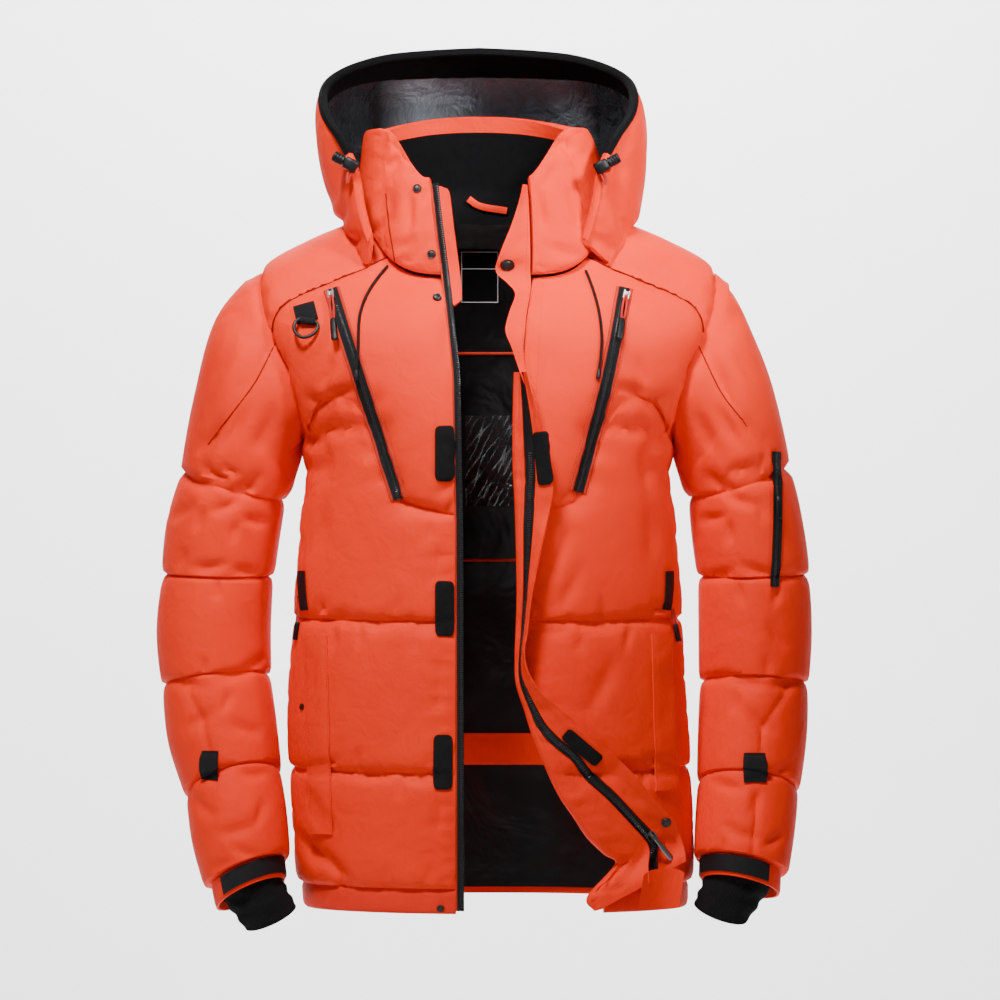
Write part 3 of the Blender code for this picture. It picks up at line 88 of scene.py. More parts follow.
# Each lamp's place and aim in metres, its width in metres and its power in watts
LAMPS = {"key_lamp": ((-0.5, -1.4, 1.7), (0, 0, -0.25), 0.45, 92),
         "side_lamp": ((1.5, -1.5, 1.1), (0.15, -0.05, 0.09), 0.4, 1.6),
         "front_lamp": ((-0.5, -3.8, 0.3), (0, 0, -0.35), 1.2, 10),
         "back_lamp": ((-0.9, 1.8, 1.6), (0, 0, -0.3), 0.8, 13),
         "wall_lamp": ((0, 3.4, 3.0), (0, 6.5, -1.1), 2.5, 1080)}
SIDE_LAMP_SPREAD = 20
ROOM_HALF, FLOOR_Z, FLOOR_FRONT, FLOOR_BACK = 6.0, -1.6, -8, 9
WALL_Y, WALL_FOOT, WALL_TOP = 6.5, -5, 7


def lamp(name, place, aim, size, power):
    """A square soft lamp at a place, turned to shine at a point."""
    data = bpy.data.lights.new(name, "AREA")
    data.size = size
    data.energy = power
    lamp_object = bpy.data.objects.new(name, data)
    lamp_object.location = place
    way = Vector(aim) - Vector(place)
    lamp_object.rotation_euler = way.to_track_quat("-Z", "Y").to_euler()
    bpy.context.scene.collection.objects.link(lamp_object)
    return lamp_object


def room_face(name, low, high):
    """One face across the room, between a low edge and a high one, each given as its y and z."""
    mesh = bpy.data.meshes.new(name)
    mesh.from_pydata([(-ROOM_HALF, *low), (ROOM_HALF, *low), (ROOM_HALF, *high), (-ROOM_HALF, *high)],
                     [], [(0, 1, 2, 3)])
    face = bpy.data.objects.new(name, mesh)
    bpy.context.scene.collection.objects.link(face)
    return face


lamps = {name: lamp(name, *row) for name, row in LAMPS.items()}
lamps["side_lamp"].data.spread = math.radians(SIDE_LAMP_SPREAD)
floor = room_face("floor", (FLOOR_FRONT, FLOOR_Z), (FLOOR_BACK, FLOOR_Z))
backdrop = room_face("backdrop", (WALL_Y, WALL_FOOT), (WALL_Y, WALL_TOP))
print("lamps", len(lamps), "and a floor and backdrop")

# %% [markdown]
# Cloth finishes are built from nodes. A woven face needs three scales: broad,
# faint shifts of colour, a cockle of small waves, and the weave itself. One
# builder makes them all from a few numbers, so the materials stay alike in kind
# and differ in colour, gloss and grain.

# %% A builder of cloth finishes


def node(tree, kind, **values):
    """A shader node with its plain settings and the constants of its sockets."""
    made = tree.nodes.new(kind)
    for name, value in values.items():
        if name in made.inputs:
            made.inputs[name].default_value = value
        else:
            setattr(made, name, value)
    return made


def mix_colour(tree, factor, first, second):
    """A colour between two, by a factor from a socket."""
    mixed = tree.nodes.new("ShaderNodeMix")
    mixed.data_type = "RGBA"
    tree.links.new(factor, mixed.inputs["Factor"])
    for socket, value in ((mixed.inputs[6], first), (mixed.inputs[7], second)):
        if hasattr(value, "links"):
            tree.links.new(value, socket)
        else:
            socket.default_value = (*value, 1)
    return mixed.outputs[2]


def cloth(name, light, dark, roughness, weave=900.0, cockle=60.0, cockle_depth=0.0015, weave_depth=0.00015,
          sheen=0.2, metallic=0.0, alpha=1.0, coat=0.0, gloss_share=0.5):
    """A finish: its colour goes from light to dark by slow noise, over bump from cockle noise and a weave.

    The weave is two wave textures that cross.
    """
    material = bpy.data.materials.new(name)
    material.use_nodes = True
    tree = material.node_tree
    shader = tree.nodes["Principled BSDF"]
    place = tree.nodes.new("ShaderNodeTexCoord").outputs["Object"]
    slow = node(tree, "ShaderNodeTexNoise", Scale=7.0, Detail=3.0, Roughness=0.5)
    fine = node(tree, "ShaderNodeTexNoise", Scale=cockle, Detail=4.0, Roughness=0.55, Distortion=0.4)
    for texture in (slow, fine):
        tree.links.new(place, texture.inputs["Vector"])
    shade = node(tree, "ShaderNodeMapRange")
    shade.inputs["From Min"].default_value = 0.35
    shade.inputs["From Max"].default_value = 0.65
    tree.links.new(slow.outputs["Fac"], shade.inputs["Value"])
    tree.links.new(mix_colour(tree, shade.outputs["Result"], light, dark), shader.inputs["Base Color"])
    gloss = node(tree, "ShaderNodeMapRange")
    gloss.inputs["To Min"].default_value = max(roughness - 0.06, 0.02)
    gloss.inputs["To Max"].default_value = min(roughness + 0.08, 1.0)
    tree.links.new(fine.outputs["Fac"], gloss.inputs["Value"])
    tree.links.new(gloss.outputs["Result"], shader.inputs["Roughness"])
    bump = node(tree, "ShaderNodeBump", Strength=1.0, Distance=cockle_depth)
    tree.links.new(fine.outputs["Fac"], bump.inputs["Height"])
    last = bump
    if weave:
        for direction in ("DIAGONAL", "Z"):
            thread = node(tree, "ShaderNodeTexWave", Scale=weave, bands_direction=direction)
            tree.links.new(place, thread.inputs["Vector"])
            lifted = node(tree, "ShaderNodeBump", Strength=0.6, Distance=weave_depth)
            tree.links.new(thread.outputs["Fac"], lifted.inputs["Height"])
            tree.links.new(last.outputs["Normal"], lifted.inputs["Normal"])
            last = lifted
    tree.links.new(last.outputs["Normal"], shader.inputs["Normal"])
    shader.inputs["Sheen Weight"].default_value = sheen
    shader.inputs["Sheen Roughness"].default_value = 0.5
    shader.inputs["Sheen Tint"].default_value = (*light, 1)
    shader.inputs["Specular IOR Level"].default_value = gloss_share
    shader.inputs["Metallic"].default_value = metallic
    shader.inputs["Alpha"].default_value = alpha
    shader.inputs["Coat Weight"].default_value = coat
    return material


# %% [markdown]
# The shell is a matt orange nylon with hardly any sheen, so its folds show by
# light and shade alone. Bands, piping and thread are a little darker. The blacks
# differ in gloss: satin lining, matt facing, ribbed webbing, pile and rubber.
# The measures of weave and cockle are sizes in each texture, and depths are in
# metres.

# %% The jacket's finishes
shell_cloth = cloth("shell_cloth", (0.94, 0.029, 0.003), (0.86, 0.023, 0.002), 0.6, cockle=38,
                    cockle_depth=0.0022,
                    weave_depth=0.00004, sheen=0.03, gloss_share=0.10)
band_cloth = cloth("band_cloth", (0.88, 0.024, 0.005), (0.78, 0.018, 0.004), 0.62, cockle=55,
                   cockle_depth=0.0015,
                   sheen=0.06, gloss_share=0.12)
piping_cloth = cloth("piping_cloth", (0.60, 0.030, 0.012), (0.48, 0.022, 0.009), 0.6, gloss_share=0.2)
hood_satin = cloth("hood_satin", (0.22, 0.25, 0.28), (0.08, 0.10, 0.12), 0.28, weave=0, cockle=30,
                   cockle_depth=0.012,
                   sheen=0.0)
back_satin = cloth("back_satin", (0.003, 0.003, 0.0035), (0.0015, 0.0015, 0.002), 0.30, weave=0, cockle=9,
                   cockle_depth=0.006, sheen=0.0, gloss_share=0.25)
matt_black = cloth("matt_black", (0.003, 0.003, 0.0035), (0.0015, 0.0015, 0.002), 0.8, cockle=60,
                   cockle_depth=0.0012,
                   sheen=0.0, gloss_share=0.12)
webbing = cloth("webbing", (0.009, 0.009, 0.010), (0.004, 0.004, 0.005), 0.65, weave=420, weave_depth=0.0004,
                cockle_depth=0.0003, sheen=0.03, gloss_share=0.2)
zip_cloth = cloth("zip_cloth", (0.008, 0.008, 0.009), (0.004, 0.004, 0.005), 0.6, weave=500,
                  weave_depth=0.0003,
                  cockle_depth=0.0002, sheen=0.03, gloss_share=0.2)
hook_pile = cloth("hook_pile", (0.008, 0.0075, 0.008), (0.003, 0.003, 0.003), 0.9, weave=0, cockle=900,
                  cockle_depth=0.0012, sheen=0.2, gloss_share=0.2)
rib_knit = cloth("rib_knit", (0.006, 0.006, 0.0065), (0.003, 0.003, 0.0035), 0.9, weave=600,
                 weave_depth=0.0003,
                 cockle_depth=0.0006, sheen=0.15, gloss_share=0.2)
clear_film = cloth("clear_film", (0.05, 0.055, 0.06), (0.03, 0.033, 0.036), 0.12, weave=0, cockle=22,
                   cockle_depth=0.005,
                   sheen=0.0, alpha=0.4, coat=1.0)
gun_metal = cloth("gun_metal", (0.30, 0.29, 0.28), (0.20, 0.19, 0.19), 0.32, weave=0, cockle=400,
                  cockle_depth=0.0001,
                  sheen=0.0, metallic=1.0)
soft_rubber = cloth("soft_rubber", (0.004, 0.004, 0.005), (0.002, 0.002, 0.003), 0.45, weave=0, cockle=300,
                    cockle_depth=0.0002, sheen=0.0, gloss_share=0.3)
zip_teeth = cloth("zip_teeth", (0.030, 0.030, 0.032), (0.018, 0.018, 0.020), 0.35, weave=0, cockle=300,
                  cockle_depth=0.0001, sheen=0.0)
snap_cap = cloth("snap_cap", (0.035, 0.033, 0.032), (0.02, 0.019, 0.018), 0.35, weave=0, cockle=300,
                 cockle_depth=0.0001,
                 sheen=0.0, metallic=0.6)
cord_weave = cloth("cord_weave", (0.75, 0.020, 0.010), (0.50, 0.014, 0.007), 0.7, weave=700,
                   weave_depth=0.0005,
                   cockle=400, cockle_depth=0.0004)
# A darker copy of the shell's colour: painted shadow for the thin lines along the seams.
painted_seam_shadow = cloth("painted_seam_shadow", (0.20, 0.008, 0.004), (0.14, 0.006, 0.003), 0.8, weave=0, cockle=300,
                   cockle_depth=0.0002,
                   sheen=0.0, gloss_share=0.1)
white_thread = cloth("white_thread", (0.7, 0.7, 0.7), (0.55, 0.55, 0.55), 0.7, weave=0)
shell_thread = cloth("shell_thread", (0.70, 0.030, 0.012), (0.58, 0.022, 0.009), 0.6, weave=0, cockle=400,
                     cockle_depth=0.0003, gloss_share=0.2)
room_grey = cloth("room_grey", (0.80, 0.80, 0.80), (0.79, 0.79, 0.79), 0.9, weave=0, cockle=3,
                  cockle_depth=0.0,
                  sheen=0.0)
for part in (floor, backdrop):
    part.data.materials.append(room_grey)
black_wire = cloth("black_wire", (0.010, 0.010, 0.011), (0.006, 0.006, 0.007), 0.4, weave=0, cockle=200,
                   cockle_depth=0.0001,
                   sheen=0.0, gloss_share=0.3)
print("finishes:", len(bpy.data.materials))

# %% [markdown]
# The hood's satin is painted darker towards the sides: painted shade where the hood turns away from the
# light. A map of the distance from the middle scales the satin's colour, so the painted shade is soft and
# stays on the cloth in every view.

# %% The satin's painted shade at the sides
SATIN_MIDDLE, SATIN_SIDE, SATIN_SIDE_SHARE = 0.075, 0.118, 0.06
satin_tree = hood_satin.node_tree
satin_shader = satin_tree.nodes["Principled BSDF"]
satin_place = satin_tree.nodes.new("ShaderNodeSeparateXYZ")
satin_tree.links.new(satin_tree.nodes.new("ShaderNodeTexCoord").outputs["Object"], satin_place.inputs[0])
from_middle = node(satin_tree, "ShaderNodeMath", operation="ABSOLUTE")
satin_tree.links.new(satin_place.outputs["X"], from_middle.inputs[0])
# Painted shade: full colour in the middle, falling to a small share of it at the sides.
painted_side_shade = satin_tree.nodes.new("ShaderNodeMapRange")
for socket, value in (("From Min", SATIN_MIDDLE), ("From Max", SATIN_SIDE), ("To Min", 1.0),
                      ("To Max", SATIN_SIDE_SHARE)):
    painted_side_shade.inputs[socket].default_value = value
satin_tree.links.new(from_middle.outputs[0], painted_side_shade.inputs["Value"])
shaded = node(satin_tree, "ShaderNodeVectorMath", operation="SCALE")
satin_tree.links.new(satin_shader.inputs["Base Color"].links[0].from_socket, shaded.inputs[0])
satin_tree.links.new(painted_side_shade.outputs["Result"], shaded.inputs["Scale"])
satin_tree.links.new(shaded.outputs[0], satin_shader.inputs["Base Color"])
print("satin shaded by", len(satin_tree.nodes), "nodes")

# %% [markdown]
# Every padded panel is cut from one shape: the body that fills the jacket. It is
# a stack of rings, each a flattened oval with its own size and height. The
# tables are in millimetres and are the same sizes that the solids have.

# %% The body's rings
BODY_COLUMNS = ("level", "side_z", "back_z", "mid_x", "half", "front", "back")
BODY = np.array((
    (-700, -702, -703, 8, 196, 151, 150), (-640, -641, -642, 6, 198, 150, 149),
    (-557, -557, -557, 2, 200, 149, 148), (-480, -480, -480, -1, 198, 147, 146),
    (-402, -402, -402, 0, 194, 144, 143), (-310, -310, -310, 0, 187, 144, 147),
    (-205, -216, -205, 0, 190, 147, 153), (-150, -135, -125, 0, 230, 138, 152),
    (-100, -44, -54, 0, 233, 122, 138), (-75, -14, -2, 0, 182, 104, 112),
    (-52, 12, 36, 0, 122, 84, 86)), float)
NECK_LEVEL, HEM_LEVEL, HEM_SEAM_LEVEL = -52, -700, -675
WAIST_SEAM_LEVEL, BELLY_SEAM_LEVEL, ARMPIT_LEVEL, TIP_LEVEL = -557, -402, -205, -100
ROUNDNESS, SHOULDER_FALL, ARM_ANGLE, YOKE_TURN = 0.87, 5, 30, 60
SEAM_GAP, SEAM_WALL = 0.3, 4.0


def smooth(at, places, values):
    """The value at each place on a smooth curve through the rows: a cubic with the rows' own slopes."""
    places, values = np.asarray(places, float), np.asarray(values, float)
    slopes = np.gradient(values, places, axis=0)
    at = np.clip(np.asarray(at, float), places[0], places[-1])
    row = np.clip(np.searchsorted(places, at, side="right") - 1, 0, len(places) - 2)
    step = places[row + 1] - places[row]
    t = (at - places[row]) / step
    shape = t.shape + (1,) * (values.ndim - 1)
    t, step = t.reshape(shape), step.reshape(shape)
    near = values[row] * (1 + 2 * t) * (1 - t) ** 2 + slopes[row] * step * t * (1 - t) ** 2
    far = values[row + 1] * t * t * (3 - 2 * t) + slopes[row + 1] * step * t * t * (t - 1)
    return near + far


def body_size(name, level):
    """One column of the table at any level."""
    return smooth(level, BODY[:, 0], BODY[:, BODY_COLUMNS.index(name)])


def body(angle, level, side):
    """A ring's point: x goes with the cosine and y with the sine of the angle, both to a power under one.

    Angle -90 is centre front, 0 the side and 90 centre back. The ring falls towards its side.
    """
    angle, level = np.broadcast_arrays(np.radians(angle), np.asarray(level, float))
    across, along = np.abs(np.cos(angle)), np.sin(angle)
    depth = np.where(along < 0, body_size("front", level), body_size("back", level))
    middle_z = np.where(along < 0, level, body_size("back_z", level))
    half = side * body_size("half", level) * np.sign(np.cos(angle))
    x = body_size("mid_x", level) + half * across**ROUNDNESS
    y = np.sign(along) * depth * np.abs(along) ** ROUNDNESS
    return np.stack([x, y, middle_z + (body_size("side_z", level) - middle_z) * across**SHOULDER_FALL],
                    axis=-1)


def unit(vectors):
    """Each vector over its own length."""
    return vectors / np.maximum(np.linalg.norm(vectors, axis=-1, keepdims=True), 1e-9)


def body_normal(angle, level, side):
    """The way out of the body: the cross product of its slopes round and up."""
    angle, level = np.broadcast_arrays(np.asarray(angle, float), np.asarray(level, float))
    level = np.clip(level, HEM_LEVEL + 1, NECK_LEVEL - 1)
    around = body(angle + 1, level, side) - body(angle - 1, level, side)
    return side * unit(np.cross(around, body(angle, level + 1, side) - body(angle, level - 1, side)))


def angle_at(x, level, side):
    """The angle at which a ring's x is the one given: body's formula for x, turned round."""
    share = side * (x - body_size("mid_x", level)) / body_size("half", level)
    return -np.degrees(np.arccos(np.clip(share, 0, 1) ** (1 / ROUNDNESS)))


def armhole(turn):
    """Angle and level on the armhole: turn 0 is the shoulder's tip and 180 the armpit."""
    turn = np.radians(turn)
    middle, reach = (ARMPIT_LEVEL + TIP_LEVEL) / 2, (TIP_LEVEL - ARMPIT_LEVEL) / 2
    return -ARM_ANGLE * np.sin(turn), middle + reach * np.cos(turn)


def gap_angle(level):
    """The angle that is half a seam's gap wide at the ring's side."""
    return np.degrees(SEAM_GAP / 2 / body_size("half", level))


print("body rings", len(BODY))

# %% [markdown]
# Padding swells between two seams. Filling sinks a little, so a panel is fullest low down, overhangs the seam
# below it and slopes gently to the one above. The largest creases are listed in tables, each with its place
# as seen from the front, its slant, length, width and depth. A stitched line pulls the cloth in to a narrow
# groove with softer shoulders.

# %% Padding and creases
STEPS = 5
SEAM_FULLNESS = 0.1
CREASE_DEPTH = 3.3
GROOVE_DEPTH, GROOVE_WIDTH, SHOULDER_DEPTH, SHOULDER_WIDTH = 2.6, 2.6, 1.2, 9


def puff(share):
    """Padding from seam to seam, up or across: one less the fourth power of the distance from the middle."""
    return (1 - (2 * np.clip(share, 0, 1) - 1) ** 4) ** 0.8


def plump(share):
    """Padding up a stretch: the share to the 0.3 times what is left to the 0.65, over a least value.

    Share 0 is the stretch's foot.
    """
    share = np.clip(share, 0, 1)
    return SEAM_FULLNESS + (1 - SEAM_FULLNESS) * share**0.3 * (1 - share) ** 0.65 / 0.553


def finer(values, steps):
    """The row of values with straight steps put between each two."""
    values = np.asarray(values, float)
    return np.interp(np.linspace(0, len(values) - 1, (len(values) - 1) * steps + 1), np.arange(len(values)),
                     values)


def creased(points, creases):
    """How far creases push the cloth in, in mm: for each one a bell across it times a bump along it.

    A crease row is x, z, slant in degrees from level, half length, half width and depth. A negative depth
    is a ridge.
    """
    push = np.zeros(points.shape[:-1])
    for x, z, slant, length, width, depth in creases:
        turn = math.radians(slant)
        along = (points[..., 0] - x) * math.cos(turn) + (points[..., 2] - z) * math.sin(turn)
        across = (points[..., 2] - z) * math.cos(turn) - (points[..., 0] - x) * math.sin(turn)
        bow = across - 0.12 * along**2 / length
        push += depth * np.exp(-((bow / width) ** 2)) * np.clip(1 - (along / length) ** 2, 0, 1) ** 1.5
    return CREASE_DEPTH * push


def seamed(points, way, lines):
    """How far stitched seams pull the cloth in: a narrow bell round each line of x, z places."""
    push = np.zeros(points.shape[:-1])
    for line in lines:
        line = np.array(line, float)
        start, run = line[:-1], np.diff(line, axis=0)
        away = points[..., None, (0, 2)] - start
        along = np.clip((away * run).sum(axis=-1) / (run**2).sum(axis=-1), 0, 1)
        distance = np.linalg.norm(away - along[..., None] * run, axis=-1).min(axis=-1)
        push = np.maximum(push, GROOVE_DEPTH * np.exp(-((distance / GROOVE_WIDTH) ** 2))
                          + SHOULDER_DEPTH * np.exp(-((distance / SHOULDER_WIDTH) ** 2)))
    return push * np.clip(1.5 * (0.2 - way[..., 1]), 0, 1)


def ripple(s, t, seed, amount):
    """Uneven gathers beside seams: three sine waves along the seam, with phases from a seed."""
    chance = np.random.default_rng(seed)
    waves = [np.sin(2 * np.pi * (rate * s + chance.random()) + 1.7
                    * np.sin(2 * np.pi * (t + chance.random())))
             for rate in chance.uniform(5, 17, 3)]
    return amount * sum(waves) / 3


print("steps between the solids' own points", STEPS)

# %% [markdown]
# What crumples at a seam is the cloth that is cut longer than the seam. Cloth
# simulation shows that best: each panel is pinned along its seams, made a few
# hundredths larger and blown up a little. What it finds is kept in the mesh. A
# limit on the greatest fullness keeps one panel from swelling into another.

# %% Cloth simulation
CLOTH_FRAMES, SIMULATED_SCALE = 16, 10


def settled(grid, pins, closed, grow, pressure):
    """The grid in millimetres after cloth simulation between its pinned points, at ten times its size."""
    rows, columns = grid.shape[:2]
    place = np.arange(rows * columns).reshape(rows, columns)
    if closed:
        place = np.concatenate([place, place[:, :1]], axis=1)
    quads = np.stack([place[:-1, :-1], place[:-1, 1:], place[1:, 1:], place[1:, :-1]], axis=-1).reshape(-1, 4)
    mesh = bpy.data.meshes.new("trial")
    mesh.from_pydata((grid.reshape(-1, 3) * MM * SIMULATED_SCALE).tolist(), [], quads.tolist())
    trial = bpy.data.objects.new("trial", mesh)
    bpy.context.scene.collection.objects.link(trial)
    trial.vertex_groups.new(name="pinned").add(np.flatnonzero(pins).tolist(), 1.0, "REPLACE")
    cloth = trial.modifiers.new("settle", "CLOTH").settings
    cloth.quality = 5
    cloth.mass = 0.15
    cloth.tension_stiffness = cloth.compression_stiffness = 20
    cloth.shear_stiffness = 6
    cloth.bending_stiffness = 0.4
    cloth.air_damping = 2
    cloth.vertex_group_mass = "pinned"
    cloth.shrink_min = -grow
    cloth.use_pressure = True
    cloth.uniform_pressure_force = pressure
    cloth.effector_weights.gravity = 0
    for number in range(1, CLOTH_FRAMES + 1):
        bpy.context.scene.frame_set(number)
    settled_mesh = trial.evaluated_get(bpy.context.evaluated_depsgraph_get()).data
    places = np.empty(rows * columns * 3, np.float32)
    settled_mesh.vertices.foreach_get("co", places)
    bpy.data.objects.remove(trial)
    bpy.context.scene.frame_set(1)
    return places.reshape(rows, columns, 3).astype(float) / MM / SIMULATED_SCALE


def filled(base, way, thickness, pins, creases, seams=(), closed=False, grow=0.035, pressure=1.2):
    """Inner and outer grid of a padded panel, settled and creased.

    Above six tenths of the greatest thickness, what is more comes in by an exponential, so the padding
    nears that thickness but never passes it.
    """
    outer = base + way * thickness[..., None]
    most = thickness.max() + 1.0
    pins = pins.copy()
    pins[0] = pins[-1] = True
    if not closed:
        pins[:, 0] = pins[:, -1] = True
    facing = np.cross(np.gradient(outer, axis=1), np.gradient(outer, axis=0))
    outward = 1 if (facing * way).sum() > 0 else -1
    outer = settled(outer[:, ::outward], pins[:, ::outward], closed, grow, pressure)[:, ::outward]
    out = ((outer - base) * way).sum(axis=-1)
    sideways = outer - base - way * out[..., None]
    knee = 0.6 * most
    out = np.where(out > knee, knee + (most - knee) * (1 - np.exp(-(out - knee) / (most - knee))), out)
    swell = np.clip((thickness - SEAM_WALL) / (most - SEAM_WALL), 0, 1)
    out = out - creased(outer, creases) * np.clip(swell * 3, 0.15, 1) - seamed(outer, way, seams)
    return base, base + sideways + way * np.maximum(out, 1.5)[..., None]


print("frames of simulation for each panel", CLOTH_FRAMES)

# %% [markdown]
# Every cloth piece is a closed wall between two grids of points. It rides with the jacket's one body, and
# hides the model's plain solid that it stands for, where there is one.

# %% Walls of cloth


def wall_mesh(name, inner, outer, closed):
    """A shell between two grids of points in mm, with its edges filled. A closed one runs round."""
    rows, columns = inner.shape[:2]
    place = np.arange(rows * columns).reshape(rows, columns)
    if closed:
        place = np.concatenate([place, place[:, :1]], axis=1)
    under = place + rows * columns

    def quads(a, b, c, d):
        """Faces from four grids of corner numbers."""
        return np.stack([a, b, c, d], axis=-1).reshape(-1, 4)

    faces = [quads(place[:-1, :-1], place[:-1, 1:], place[1:, 1:], place[1:, :-1]),
             quads(under[:-1, :-1], under[1:, :-1], under[1:, 1:], under[:-1, 1:]),
             quads(place[0, :-1], under[0, :-1], under[0, 1:], place[0, 1:]),
             quads(place[-1, :-1], place[-1, 1:], under[-1, 1:], under[-1, :-1])]
    if not closed:
        faces += [quads(place[:-1, 0], place[1:, 0], under[1:, 0], under[:-1, 0]),
                  quads(place[:-1, -1], under[:-1, -1], under[1:, -1], place[1:, -1])]
    faces = np.concatenate(faces)
    points = np.concatenate([outer.reshape(-1, 3), inner.reshape(-1, 3)]) * MM
    corner = points[faces]
    volume = (np.cross(corner[:, 0], corner[:, 1]) * corner[:, 2] + np.cross(corner[:, 0], corner[:, 2])
              * corner[:, 3])
    if volume.sum() < 0:
        faces = faces[:, ::-1]
    mesh = bpy.data.meshes.new(name)
    mesh.vertices.add(len(points))
    mesh.vertices.foreach_set("co", points.ravel())
    mesh.loops.add(faces.size)
    mesh.loops.foreach_set("vertex_index", faces.ravel())
    mesh.polygons.add(len(faces))
    mesh.polygons.foreach_set("loop_start", np.arange(0, faces.size, 4))
    mesh.update(calc_edges=True)
    mesh.validate()
    return mesh


def piece(name, mesh, material, node_name=None, pad=None):
    """An object with its finish, riding with the cloth. It may stand for one of the model's nodes."""
    made = bpy.data.objects.new(name, mesh)
    mesh.materials.clear()
    mesh.materials.append(material)
    mesh.shade_smooth()
    mesh.set_sharp_from_angle(angle=math.radians(55))
    bpy.context.scene.collection.objects.link(made)
    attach(made, BODY_NAME)
    if node_name:
        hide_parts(node_name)
    return made


def wall(name, inner, outer, material, node_name=None, pad=None, closed=False):
    """A piece made of a wall between two grids."""
    return piece(name, wall_mesh(name, inner, outer, closed), material, node_name, pad)


print("pieces ride with", BODY_NAME)

# %% [markdown]
# The two fronts run from their edge round to the side seam, and up past the
# armhole to the neck and the shoulder seam. Quilting lines cross them at the
# belly and the waist, and one bends round the chest pocket. A grid of shares
# across and rows up gives angle, level and padding at once.

# %% Fronts
PUFF_BODY = 9.0
FOLD_COVER = 5.0
RIGHT_EDGE = ((-700, -32), (-300, -33), (-150, -36), (-52, -47))
FOLD = np.array((
    (113, -697, 165, -658, 204, -649, 3), (106, -684, 165, -645, 202, -636, 3),
    (135, -651, 170, -632, 196, -618, 3), (122, -639, 163, -623, 188, -603, 3),
    (106, -623, 144, -600, 170, -584, 3), (92, -602, 126, -581, 152, -561, 4),
    (79, -583, 107, -564, 130, -539, 5), (69, -564, 88, -539, 106, -518, 6),
    (59, -541, 72, -526, 88, -502, 8), (49, -516, 57, -509, 70, -487, 11), (41, -490, 45, -485, 53, -471, 16),
    (33, -464, 37, -462, 41, -450, 22), (32, -436, 35, -434, 38, -431, 26),
    (33, -413, 37, -412, 41, -411, 27), (34, -366, 40, -366, 47, -366, 24),
    (32, -281, 43, -281, 65, -281, 14), (30, -248, 44, -248, 65, -248, 15),
    (30, -197, 41, -197, 53, -197, 20), (31, -148, 36, -148, 41, -148, 27)), float)
CHEST_SEAM = (
    (30, -294), (70, -285), (86, -277), (104, -226), (122, -177), (135, -172), (160, -182), (188, -205))
FRONT_SHARES = finer((0, 0.06, 0.16, 0.27, 0.35, 0.43, 0.5, 0.58, 0.68, 0.79, 0.9, 1.0), STEPS + 2)
NECK_COLUMN = 6 * (STEPS + 2)
NECK_ANGLE, BACK_NECK_ANGLE = -34, 50
ARM_TURNS = finer(np.arange(180, YOKE_TURN - 1, -20), STEPS)
STRETCH_SHARES = np.linspace(0, 1, 6 * STEPS + 1)[:-1]


def stretch_rows():
    """Level, padding, stretch number and share of each row from the hem seam up to the armpit."""
    seams = (HEM_SEAM_LEVEL + SEAM_GAP, WAIST_SEAM_LEVEL, BELLY_SEAM_LEVEL, ARMPIT_LEVEL)
    return [(low + (high - low) * share, plump(share), stretch, share)
            for stretch, (low, high) in enumerate(zip(seams, seams[1:])) for share in STRETCH_SHARES]


def cross_padding(shares, first, last):
    """Padding across a panel: from its first value up to 1 and down to its last, by powers of 0.6."""
    start = first + (1 - first) * np.clip(shares / 0.12, 0, 1) ** 0.6
    return start * (last + (1 - last) * np.clip((1 - shares) / 0.15, 0, 1) ** 0.6)


def top_edge(shares, corner, edge_angle, neck_angle, yoke_angle, yoke_level):
    """Angle and level along a panel's top: straight along the neck, then straight along the shoulder seam."""
    start = shares[corner]
    neck = shares <= start
    across = np.where(neck, shares / start, (shares - start) / (1 - start))
    angle = np.where(neck, edge_angle + (neck_angle - edge_angle) * across,
                     neck_angle + (yoke_angle - neck_angle) * across)
    return angle, np.where(neck, NECK_LEVEL, NECK_LEVEL + (yoke_level - NECK_LEVEL) * across)


def panel_grid(shares, corner, edge_at, neck_angle, facing, seam_level):
    """Angle, level and padding over half the body: level rows, then rows that turn round the armhole."""
    angles, levels, pads = [], [], []
    for low, pad, stretch, share in stretch_rows():
        level = np.full(len(shares), float(low))
        if stretch == 2:
            level = BELLY_SEAM_LEVEL + (seam_level - BELLY_SEAM_LEVEL) * share
        angles.append(edge_at(level) * (1 - shares))
        levels.append(level)
        pads.append(np.full(len(shares), pad))
    turn_angle, turn_level = armhole(ARM_TURNS)
    turn_angle = -facing * turn_angle
    yoke_angle, yoke_level = turn_angle[-1], turn_level[-1]
    edge_top = edge_at(np.full(len(shares), float(NECK_LEVEL)))
    top_angle, top_level = top_edge(shares, corner, edge_top, neck_angle, yoke_angle, yoke_level)
    straight = edge_top + (yoke_angle - edge_top) * shares
    for row_angle, row_level in zip(turn_angle, turn_level):
        rise = (row_level - ARMPIT_LEVEL) / (yoke_level - ARMPIT_LEVEL)
        level = seam_level + (top_level - seam_level) * rise
        edge = edge_at(level)
        angles.append(edge + (row_angle - edge) * shares + rise * (top_angle - straight))
        levels.append(level)
        pads.append(np.full(len(shares), puff(rise) if rise > 0.5 else plump(rise)))
    return np.array(angles), np.array(levels), np.array(pads)


def front_edge(side):
    """The angle of a front's free edge at each level."""
    if side < 0:
        places, values = zip(*RIGHT_EDGE)
    else:
        places = [*FOLD[:, 1], -100, NECK_LEVEL]
        values = [*(FOLD[:, 0] + FOLD_COVER), 39, 46]
    return lambda level: angle_at(np.interp(level, places, values), level, side)


def quilted(pads):
    """Where a panel is stitched down: the rows with the least padding."""
    return np.repeat((pads.min(axis=1) <= SEAM_FULLNESS + 1e-6)[:, None], pads.shape[1], axis=1)


def body_patch(angle, level, side, thickness, pads, creases, seams=()):
    """Inner and outer grid of a panel of the body."""
    return filled(body(angle, level, side), body_normal(angle, level, side), thickness, quilted(pads),
                  creases, seams)


print("rows of a panel", len(stretch_rows()) + len(ARM_TURNS))

